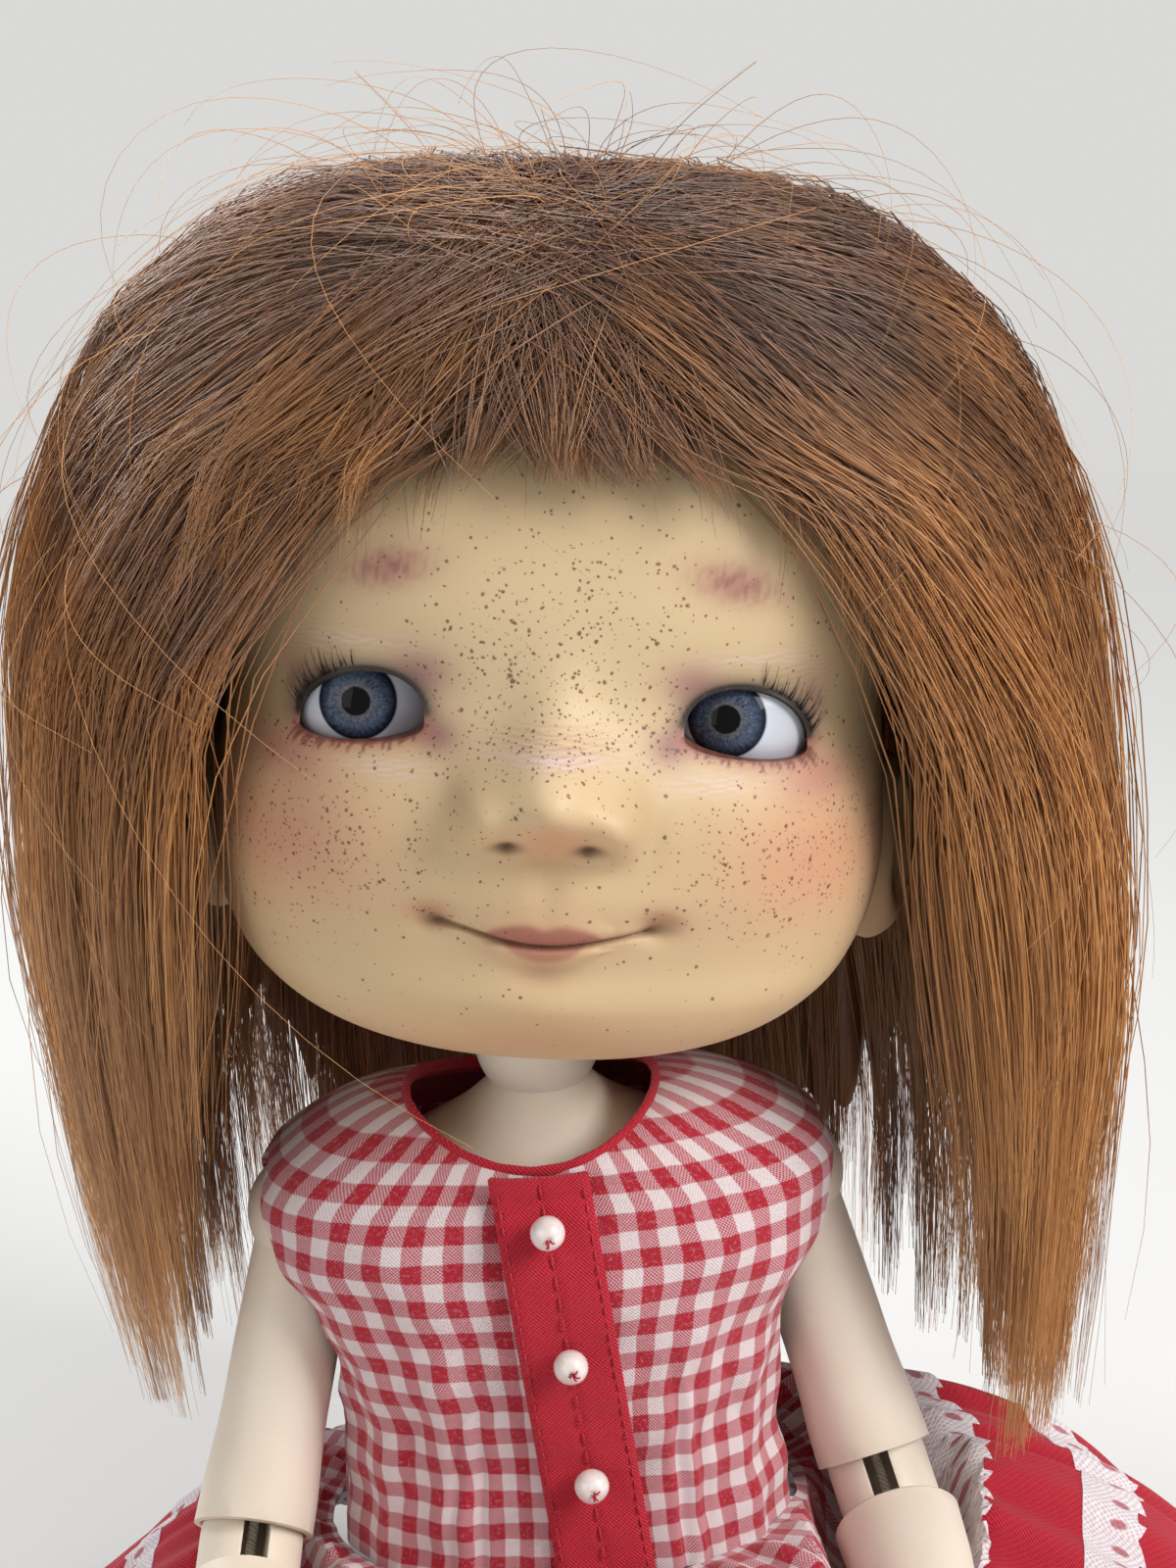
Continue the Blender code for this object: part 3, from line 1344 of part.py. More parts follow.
def hair_point(angle, share, inside, lock=True):
    """A point of the hair, angle 0 in front, share 0 at the crown and 1 at the tips."""
    wide, high, thick = between(HAIR_SIDE_SHARES, share)
    across, ahead = math.sin(angle), math.cos(angle)
    depth = HAIR_BACK if ahead < 0 else HAIR_FRONT
    x = HAIR_HALF_WIDTH * wide * across
    y = -depth * wide * ahead - PARTING_FORWARD * (1 - ramp(share, 0, 0.3))
    z = HAIR_TOP * high
    inward = HAIR_THICKNESS * thick if inside else 0
    if lock and not inside:
        inward -= LOCK_DEPTH * math.cos(LOCK_COUNT * angle) * ramp(share, 0.05, 0.3)
    flat = math.hypot(x, y)
    slope = ramp(share, 0.0, 0.3)
    sag = max(-z, 0)
    return (
        x - inward * x / flat * slope + sag * math.tan(HAIR_HANG_SIDE),
        y - inward * y / flat * slope + sag * math.tan(HAIR_HANG_BACK),
        z - inward * (1 - slope),
    )


def hair_piece(name, angles, ends, steps, head, start=LOCK_START_SHARE):
    """A closed lock of hair between two angles, from the crown's edge to its tips."""
    rings = []
    for angle, end in zip(angles, ends):
        shares = [start + (end - start) * i / steps for i in range(steps + 1)]
        outer = [hair_point(angle, s, False) for s in shares]
        inner = [hair_point(angle, s, True) for s in shares]
        rings.append(outer + inner[::-1])
    return node(name, loft(name, rings, strip_ends=True), head, HAIR)


def make_wig(head):
    cap = node(
        "wig_cap",
        head_mesh("wig_cap", -WIG_GAP - WIG_CAP_THICKNESS, 20, 14, False),
        head,
        HAIR,
    )
    cut(cap, head_mesh("skull", -WIG_GAP, 20, 14, False))
    reach = 2 * HEAD_HALF_HEIGHT
    below = box_mesh("below", (-reach, -reach, -reach), (reach, reach, 0))
    below.transform(
        Matrix.Translation((0, 0, HAIR_TOP * 0.3)) @ turned_about("X", -WIG_CAP_ANGLE)
    )
    cut(cap, below)
    crown = []
    sides = 26
    angles = [2 * math.pi * i / sides for i in range(sides)]
    for share in (0.0, 0.06, 0.12, 0.18, CROWN_SHARE):
        crown.append([hair_point(a, share, False) for a in angles])
    for share in (CROWN_SHARE, 0.16, 0.08, 0.0):
        crown.append([hair_point(a, share, True) for a in angles])
    node("wig_crown", loft("wig_crown", crown), head, HAIR)
    slack = SEAT_GAP / HAIR_HALF_WIDTH
    spans = (
        ("wig_fringe", -FRINGE_ANGLE, FRINGE_ANGLE, 16),
        ("wig_side_left", FRINGE_ANGLE, SIDE_ANGLE, 8),
        ("wig_side_right", -SIDE_ANGLE, -FRINGE_ANGLE, 8),
        ("wig_back", SIDE_ANGLE, 2 * math.pi - SIDE_ANGLE, 16),
    )
    for name, low, high, steps in spans:
        low, high = low + slack, high - slack
        angles = [low + (high - low) * i / steps for i in range(steps + 1)]
        ends = []
        for i, angle in enumerate(angles):
            if name == "wig_fringe":
                ends.append(FRINGE_END_SHARE + FRINGE_CURVE_SHARE * (angle / high) ** 2)
            else:
                ends.append(
                    LOCK_END_SHARE + LOCK_RAGGED_SHARE * math.cos(LOCK_COUNT / 2 * angle)
                )
        hair_piece(name, angles, ends, 3 if name == "wig_fringe" else 6, head)


SIDES = (("left", 1), ("right", -1))


def main():
    clear_scene()
    make_pelvis()
    lean = turned_about("Y", CHEST_LEAN)
    waist = joint_frame("waist", None, (0, 0, WAIST_HEIGHT), lean)
    make_chest(waist)
    turn = turned_about("Y", HEAD_ROLL - CHEST_LEAN) @ turned_about("X", HEAD_NOD)
    turn = turn @ turned_about("Z", HEAD_TURN)
    neck = joint_frame("neck", waist, (0, 0, NECK_RISE), turn)
    make_neck_hook(neck)
    head = joint_frame("head", neck, (0, 0, HEAD_HALF_HEIGHT))
    make_head(head)
    make_wig(head)
    arms = {name: make_arm(name, side, waist) for name, side in SIDES}
    legs = {name: make_leg(name, side) for name, side in SIDES}
    make_elastics(arms, legs, waist, neck)
    make_bodice(waist)
    make_placket(waist)
    make_binding(waist)
    make_skirt(legs.values(), arms.values())


main()
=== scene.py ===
"""The finish of a seated ball jointed doll: painted resin, glass eyes, combed hair and sewn cloth.

Lengths are metres in the model's frame: +Z is up and the doll faces -Y. The head's own pieces
are shaped in millimetres in the head's frame, and then placed.
"""

import json
import math

import bpy
import numpy as np
from mathutils import Matrix, Vector


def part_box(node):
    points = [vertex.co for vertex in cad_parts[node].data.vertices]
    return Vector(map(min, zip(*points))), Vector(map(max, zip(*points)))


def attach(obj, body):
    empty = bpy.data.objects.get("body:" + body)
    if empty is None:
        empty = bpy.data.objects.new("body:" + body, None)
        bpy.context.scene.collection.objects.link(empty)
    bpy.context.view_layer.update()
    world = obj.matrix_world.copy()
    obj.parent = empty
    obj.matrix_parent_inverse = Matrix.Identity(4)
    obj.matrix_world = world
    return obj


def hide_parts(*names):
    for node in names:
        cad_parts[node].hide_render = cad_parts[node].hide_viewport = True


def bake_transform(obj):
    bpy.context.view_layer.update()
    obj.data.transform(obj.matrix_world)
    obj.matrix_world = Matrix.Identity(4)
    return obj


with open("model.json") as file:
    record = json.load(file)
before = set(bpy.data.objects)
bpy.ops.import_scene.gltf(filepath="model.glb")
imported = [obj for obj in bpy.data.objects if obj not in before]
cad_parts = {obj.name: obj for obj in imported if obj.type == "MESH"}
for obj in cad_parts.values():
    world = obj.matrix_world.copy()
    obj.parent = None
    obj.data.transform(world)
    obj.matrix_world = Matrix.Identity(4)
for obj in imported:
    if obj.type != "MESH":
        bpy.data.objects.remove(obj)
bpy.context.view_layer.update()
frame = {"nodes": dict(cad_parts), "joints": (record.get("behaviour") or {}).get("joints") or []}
joints = {joint["name"]: joint for joint in frame["joints"]}
MM = 0.001
SIDES = (("left", 1), ("right", -1))


def joint_at(name):
    return Vector(joints[name]["pos_m"])


def frame_of(place, across, up):
    across, up = Vector(across).normalized(), Vector(up).normalized()
    if across.x < 0:
        across = -across
    turn = Matrix((across, up.cross(across), up)).transposed().to_4x4()
    return Matrix.Translation(place) @ turn


def limb_frame(joint, beyond):
    """The frame of a limb's joint, whose Z points back up the limb."""
    return frame_of(joint_at(joint), joints[joint]["axis"], joint_at(joint) - joint_at(beyond))


NECK = frame_of(joint_at("neck_nod"), joints["neck_nod"]["axis"], joints["head_turn"]["axis"])
HEAD = NECK @ Matrix.Translation((0, 0, 34 * MM)) @ Matrix.Scale(MM, 4)
LEAN = Vector(joints["waist_bend"]["axis"])
CHEST = frame_of(joint_at("waist_bend"), LEAN, LEAN.cross((0, 1, 0)))


def clear_choice():
    if bpy.context.mode != "OBJECT":
        bpy.ops.object.mode_set(mode="OBJECT")
    bpy.ops.object.select_all(action="DESELECT")


def choose(piece):
    clear_choice()
    bpy.context.view_layer.objects.active = piece
    piece.select_set(True)
    return piece


def points_of(piece):
    points = np.empty(len(piece.data.vertices) * 3)
    piece.data.vertices.foreach_get("co", points)
    return points.reshape(-1, 3)


def set_points(piece, points):
    piece.data.vertices.foreach_set("co", np.asarray(points, float).reshape(-1))
    piece.data.update()


def place(piece, matrix):
    """Puts a piece that was shaped at the origin in its own frame, in its mesh."""
    piece.data.transform(matrix)
    piece.data.update()
    return piece


def finish_with(piece, material, smooth=None):
    piece.data.materials.clear()
    piece.data.materials.append(material)
    if smooth is not None:
        choose(piece)
        bpy.ops.object.shade_smooth_by_angle(angle=math.radians(smooth))
    return piece


def modify(piece, kind, **settings):
    """Adds a modifier and applies it."""
    choose(piece)
    modifier = piece.modifiers.new(kind.title(), kind)
    for key, value in settings.items():
        setattr(modifier, key, value)
    bpy.ops.object.modifier_apply(modifier=modifier.name)
    return piece


def cut_away(piece, cutters, operation="DIFFERENCE"):
    for cutter in cutters:
        modify(piece, "BOOLEAN", operation=operation, object=cutter, solver="EXACT")
        bpy.data.objects.remove(cutter, do_unlink=True)
    return piece


def skin(name, points, faces):
    """A piece straight from its points and its corner lists, for what repeats in thousands."""
    mesh = bpy.data.meshes.new(name)
    points = np.asarray(points, np.float32).reshape(-1, 3)
    faces = np.asarray(faces, np.int32)
    corners = faces.shape[1]
    mesh.vertices.add(len(points))
    mesh.vertices.foreach_set("co", points.reshape(-1))
    mesh.loops.add(faces.size)
    mesh.loops.foreach_set("vertex_index", faces.reshape(-1))
    mesh.polygons.add(len(faces))
    mesh.polygons.foreach_set("loop_start", np.arange(0, faces.size, corners, dtype=np.int32))
    mesh.polygons.foreach_set("loop_total", np.full(len(faces), corners, np.int32))
    mesh.update(calc_edges=True)
    mesh.validate()
    piece = bpy.data.objects.new(name, mesh)
    bpy.context.collection.objects.link(piece)
    return piece


def shaped_grid(name, net, closed=False, mark=None):
    """A grid that is pulled to a net of points, row by row; closed sews its two sides together."""
    rows, columns, _ = net.shape
    clear_choice()
    bpy.ops.mesh.primitive_grid_add(x_subdivisions=columns - (not closed), y_subdivisions=rows - 1, size=2)
    piece = bpy.context.active_object
    piece.name = name
    at = (points_of(piece)[:, :2] + 1) / 2 * (columns - (not closed), rows - 1)
    column, row = np.rint(at).astype(int).T
    set_points(piece, net[row, column % columns])
    if mark is not None:
        put_mark(piece, mark[0], mark[1][row, column % columns])
    if closed:
        choose(piece)
        bpy.ops.object.mode_set(mode="EDIT")
        bpy.ops.mesh.select_all(action="SELECT")
        bpy.ops.mesh.remove_doubles(threshold=1e-6)
        bpy.ops.object.mode_set(mode="OBJECT")
    return piece


def put_mark(piece, name, values):
    mark = piece.data.attributes.new(name, "FLOAT_VECTOR", "POINT")
    mark.data.foreach_set("vector", np.asarray(values, np.float32).reshape(-1))


def sheet_between(name, outer, thickness, closed=False, mark=None):
    """A closed sheet of cloth: a grid pulled to its outer net, and made solid inward."""
    return modify(shaped_grid(name, outer, closed, mark), "SOLIDIFY", thickness=thickness, offset=-1)


def ease(value, low, high):
    t = np.clip((value - low) / (high - low), 0, 1)
    return t * t * (3 - 2 * t)


def signed_power(value, exponent):
    return np.sign(value) * np.abs(value) ** exponent


def swell(x, z, side, height, wide, tall):
    return np.exp(-(((x - side) / wide) ** 2) - ((z - height) / tall) ** 2)


def line_distance(x, z, points):
    """Distance to a line drawn through points, and how far along it, from 0 to 1."""
    best = np.full(np.shape(x), 1e9)
    along = np.zeros(np.shape(x))
    points = np.asarray(points, float)
    for i, (a, b) in enumerate(zip(points, points[1:])):
        step = b - a
        t = np.clip(((x - a[0]) * step[0] + (z - a[1]) * step[1]) / (step @ step), 0, 1)
        off = np.hypot(x - a[0] - t * step[0], z - a[1] - t * step[1])
        along = np.where(off < best, (i + t) / (len(points) - 1), along)
        best = np.minimum(best, off)
    return best, along


class Finish:
    """A material and short ways to draw its nodes."""

    def __init__(self, name, colour=(0.8, 0.8, 0.8), rough=0.5, **sockets):
        self.material = bpy.data.materials.new(name)
        self.material.use_nodes = True
        self.tree = self.material.node_tree
        self.shader = self.tree.nodes["Principled BSDF"]
        self.shader.inputs["Base Color"].default_value = (*colour, 1)
        self.shader.inputs["Roughness"].default_value = rough
        for key, value in sockets.items():
            self.shader.inputs[key.replace("_", " ")].default_value = value

    def add(self, kind, inputs=None, **settings):
        made = self.tree.nodes.new(kind)
        for key, value in settings.items():
            setattr(made, key, value)
        for key, value in (inputs or {}).items():
            if isinstance(value, bpy.types.NodeSocket):
                self.tree.links.new(value, made.inputs[key])
            else:
                made.inputs[key].default_value = value
        return made

    def place(self, matrix=None, scale=1.0):
        """Object coordinates in a piece's own frame, and in its units."""
        where = self.add("ShaderNodeTexCoord").outputs["Object"]
        if matrix is not None:
            shift = matrix.translation
            turn = matrix.to_3x3().normalized().inverted().to_euler()
            moved = self.add("ShaderNodeVectorMath", {0: where, 1: shift}, operation="SUBTRACT")
            where = self.add("ShaderNodeMapping", {"Vector": moved.outputs[0], "Rotation": turn}).outputs[0]
        return self.add("ShaderNodeVectorMath", {0: where, "Scale": scale}, operation="SCALE").outputs[0]

    def parts(self, vector):
        return self.add("ShaderNodeSeparateXYZ", {0: vector}).outputs

    def join(self, x, y, z=0.0):
        return self.add("ShaderNodeCombineXYZ", {0: x, 1: y, 2: z}).outputs[0]

    def sum(self, operation, *values, clamp=False):
        made = self.add("ShaderNodeMath", dict(enumerate(values)), operation=operation)
        made.use_clamp = clamp
        return made.outputs[0]

    def span(self, value, low, high, to_low=0.0, to_high=1.0):
        made = self.add(
            "ShaderNodeMapRange",
            {"Value": value, "From Min": low, "From Max": high, "To Min": to_low, "To Max": to_high},
        )
        return made.outputs[0]

    def mix(self, factor, first, second, blend="MIX"):
        made = self.add("ShaderNodeMix", data_type="RGBA", blend_type=blend)
        for key, value in ((0, factor), (6, first), (7, second)):
            if isinstance(value, bpy.types.NodeSocket):
                self.tree.links.new(value, made.inputs[key])
            elif key == 0:
                made.inputs[key].default_value = value
            else:
                made.inputs[key].default_value = (*value, 1)
        return made.outputs[2]

    def stops(self, value, *stops):
        made = self.add("ShaderNodeValToRGB", {0: value})
        ramp = made.color_ramp
        while len(ramp.elements) < len(stops):
            ramp.elements.new(0.5)
        for element, (where, colour) in zip(ramp.elements, stops):
            element.position = where
            element.color = (*colour, 1) if len(colour) == 3 else colour
        return made.outputs[0]

    def noise(self, vector, scale, detail=3.0, rough=0.55):
        made = self.add("ShaderNodeTexNoise", {"Vector": vector, "Scale": scale, "Detail": detail, "Roughness": rough})
        return made.outputs[0]

    def attribute(self, name, output="Fac"):
        return self.add("ShaderNodeAttribute", attribute_name=name).outputs[output]

    def wear(self, socket, value):
        self.tree.links.new(value, self.shader.inputs[socket])
        return self

    def bump(self, height, distance, strength=1.0):
        made = self.add("ShaderNodeBump", {"Height": height, "Distance": distance, "Strength": strength})
        return self.wear("Normal", made.outputs[0])


# The head, in millimetres about its middle

HALF_WIDTH, HALF_HEIGHT, FRONT, BACK = 28.0, 34.0, 28.0, 29.0
# How high on the head, and its half width, front and back there, as shares
HEAD_SHARES = np.array(
    (
        (-1.00, 1.00, 1.00, 0.60),
        (-0.88, 1.15, 1.22, 0.62),
        (-0.76, 1.19, 1.20, 0.70),
        (-0.64, 1.17, 1.10, 0.76),
        (-0.44, 1.11, 1.06, 0.88),
        (-0.24, 1.04, 1.03, 0.96),
        (0.00, 1.00, 0.98, 1.00),
        (0.24, 1.06, 1.04, 1.05),
        (0.42, 1.12, 1.06, 1.08),
        (0.60, 1.12, 1.05, 1.08),
        (0.78, 1.06, 1.00, 1.02),
        (1.00, 1.00, 1.00, 1.00),
    )
)
# Side, height, half width, half height and rise of the face's broad forms
FACE_FORMS = (
    (0.0, -7.5, 5.1, 4.4, 6.45),
    (0.0, -2.0, 3.1, 5.1, 1.65),
    (5.6, -9.2, 2.7, 2.6, 2.5),
    (-5.6, -9.2, 2.7, 2.6, 2.5),
    (17.0, -12.9, 8.8, 8.2, 1.2),
    (-17.0, -12.9, 8.8, 8.2, 1.2),
    (0.0, -16.6, 8.2, 4.2, 1.6),
    (0.0, -25.2, 5.8, 3.1, 0.9),
    (15.3, -1.4, 6.8, 4.3, -1.8),
    (-15.3, -1.4, 6.8, 4.3, -1.8),
    (0.0, -22.1, 2.6, 1.1, -0.75),
    (0.0, -14.4, 1.3, 2.0, -0.35),
    (8.9, -18.0, 1.5, 1.1, -1.15),
    (-8.9, -18.0, 1.5, 1.1, -1.15),
    (3.2, -11.2, 1.05, 0.62, -1.5),
    (-3.2, -11.2, 1.05, 0.62, -1.5),
    # The finer edges of the nose
    (5.4, -9.6, 1.7, 1.9, 0.55),
    (-5.4, -9.6, 1.7, 1.9, 0.55),
    (8.0, -9.6, 1.2, 2.8, -0.55),
    (-8.0, -9.6, 1.2, 2.8, -0.55),
    (0.0, -12.9, 4.2, 0.9, -0.45),
    (0.0, -8.4, 2.6, 2.4, 0.35),
)
EYE_DEPTH, EYE_DROP, EYE_SIDE, EYE_RADIUS = 16.2, 1.6, 14.8, 7.0
OPENING_SIDE, OPENING_HALF = 15.4, 5.1
CUT_HEIGHT, CUT_ANGLE = 14.0, math.radians(24)
MOUTH_LINE = ((-8.9, -18.1), (-6.6, -18.5), (-3.6, -19.3), (0, -19.7), (3.6, -19.35), (6.6, -18.7), (8.9, -18.2))


def smooth_table(table, at):
    """A table's rows read at any place, eased from row to row."""
    spots, rows = table[:, 0], table[:, 1:]
    at = np.clip(at, spots[0], spots[-1])
    i = np.clip(np.searchsorted(spots, at) - 1, 0, len(spots) - 2)
    t = ((at - spots[i]) / (spots[i + 1] - spots[i]))[..., None]
    slopes = np.gradient(rows, spots, axis=0)
    gap = (spots[i + 1] - spots[i])[..., None]
    return (
        (2 * t**3 - 3 * t**2 + 1) * rows[i]
        + (t**3 - 2 * t**2 + t) * gap * slopes[i]
        + (3 * t**2 - 2 * t**3) * rows[i + 1]
        + (t**3 - t**2) * gap * slopes[i + 1]
    )


def crowded(low, high, count, density):
    """Places between two ends, closer together where the density is high."""
    fine = np.linspace(low, high, 6001)
    weight = np.cumsum(density(fine))
    weight = (weight - weight[0]) / (weight[-1] - weight[0])
    return np.interp(np.linspace(0, 1, count), weight, fine)


def mouth_height(x):
    line = np.array(MOUTH_LINE)
    return np.interp(x, *crowd_line(line))


def crowd_line(line):
    fine = np.linspace(line[0, 0], line[-1, 0], 60)
    return fine, smooth_table(line, fine)[:, 0]


def face_rise(x, z):
    """How far the face's forms stand out at a place."""
    rise = np.zeros(x.shape)
    for side, height, wide, tall, lift in FACE_FORMS:
        below = np.where((z < height) & (lift > 6), 0.84, 1.0)
        rise += lift * swell(x, z, side, height, wide, tall * below)
    line = mouth_height(x)
    over, under = z - line, line - z
    reach = np.clip(1 - (np.abs(x) / 5.6) ** 2, 0, 1) ** 0.7
    upper = 2.5 * reach - 0.35 * np.exp(-((x / 0.9) ** 2))
    lower = 2.0 * np.clip(1 - (np.abs(x) / 4.6) ** 2, 0, 1) ** 0.7
    rise += 0.75 * reach * np.where(over > 0, np.exp(-(((over - 0.9) / np.maximum(upper, 0.3) * 1.5) ** 2)), 0)
    rise += 0.70 * np.where(under > 0, np.exp(-(((under - 0.9) / np.maximum(lower, 0.3) * 1.5) ** 2)), 0) * reach
    ends = ease(9.4 - np.abs(x), 0, 1.2)
    rise -= 0.62 * np.exp(-((over / 0.30) ** 2)) * ends
    return rise


def lid_shape(x, z):
    """How far the eye's lids stand forward, hugging the eyes."""
    depth = np.full(x.shape, -1e3)
    for side in (1, -1):
        off, up = x - side * EYE_SIDE, z + EYE_DROP
        inside = np.clip(7.75**2 - off**2 - up**2, 0, None)
        depth = np.maximum(depth, np.where(inside > 0, EYE_DEPTH + np.sqrt(inside), -1e3))
    return depth


def head_points(rows, columns):
    polar = crowded(
        0.03,
        math.pi - 0.03,
        rows,
        lambda p: 0.5 + 1.6 * np.exp(-(((34 * -np.cos(p) + 1) / 8) ** 2)) + 1.9 * np.exp(-(((34 * -np.cos(p) + 18) / 5.5) ** 2)),
    )
    fine = np.linspace(-math.pi, math.pi, 8001)
    ring_x, ring_y = signed_power(np.sin(fine), 0.8), signed_power(np.cos(fine), 0.8)
    length = np.hypot(np.gradient(ring_x), np.gradient(ring_y)) * (0.5 + 1.7 * (ring_y > 0.55) + 0.6 * (ring_y > 0))
    length = np.cumsum(length)
    angle = np.interp(np.linspace(0, 1, columns + 1)[:-1], length / length[-1], fine)
    height = -np.cos(polar)[:, None]
    shares = smooth_table(HEAD_SHARES, -np.cos(polar))
    wide, front, back = (shares[:, i][:, None] for i in range(3))
    around = np.sin(polar)[:, None] ** 0.7
    x = HALF_WIDTH * wide * around * signed_power(np.sin(angle), 0.8)
    ahead = signed_power(np.cos(angle), 0.8)
    reach = np.where(ahead > 0, FRONT * front, BACK * back)
    z = HALF_HEIGHT * height + 0 * x
    depth = reach * around * ahead
    facing = ease(np.cos(angle), 0, 0.4) + 0 * x
    depth = depth + face_rise(x, z) * facing
    lids = lid_shape(x, z)
    blend = np.clip(0.5 + (lids - depth) / 1.4, 0, 1)
    depth = np.where(facing > 0.2, depth * (1 - blend) + np.maximum(lids, -99) * blend + 0.7 * blend * (1 - blend), depth)
    return np.stack([x, -depth, z], -1)


def opening_outline(side, count=64, grow=0.0):
    """The almond outline between the lids, low at its corners."""
    a = 2 * np.pi * np.arange(count) / count
    x = (OPENING_HALF + grow) * signed_power(np.cos(a), 0.95)
    high = np.where(np.sin(a) > 0, 4.3 + grow, 1.35 + grow)
    z = -3.0 + high * np.abs(np.sin(a)) ** 0.86 * np.sign(np.sin(a))
    z += 0.10 * x * side * -1
    return np.stack([side * OPENING_SIDE + x, z], -1)


def block_between(name, outline, near, far):
    """A cutter with the given outline, which runs back into the head."""
    return closed_net(name, np.array([[(x, y, z) for x, z in outline] for y in (near, far)]))


def outward(piece):
    choose(piece)
    bpy.ops.object.mode_set(mode="EDIT")
    bpy.ops.mesh.select_all(action="SELECT")
    bpy.ops.mesh.normals_make_consistent(inside=False)
    bpy.ops.object.mode_set(mode="OBJECT")


def paint_layer(colour, pigment, cover):
    return colour + (np.asarray(pigment) - colour) * np.clip(cover, 0, 1)[:, None]


def strokes(x, z, seed, along, across):
    """A field of fine brush strokes, from 0 to 1, long one way and thin the other."""
    rough = np.random.default_rng(seed)
    field = np.zeros(x.shape)
    for _ in range(14):
        turn, shift = rough.uniform(-0.25, 0.25), rough.uniform(0, 6.28)
        u = (x * math.cos(turn) + z * math.sin(turn)) / along
        v = (z * math.cos(turn) - x * math.sin(turn)) / across
        field += np.sin(6.28 * v * rough.uniform(0.6, 1.5) + shift + 1.5 * np.sin(u * 2 + shift))
    return ease(field, -2.5, 4.0)


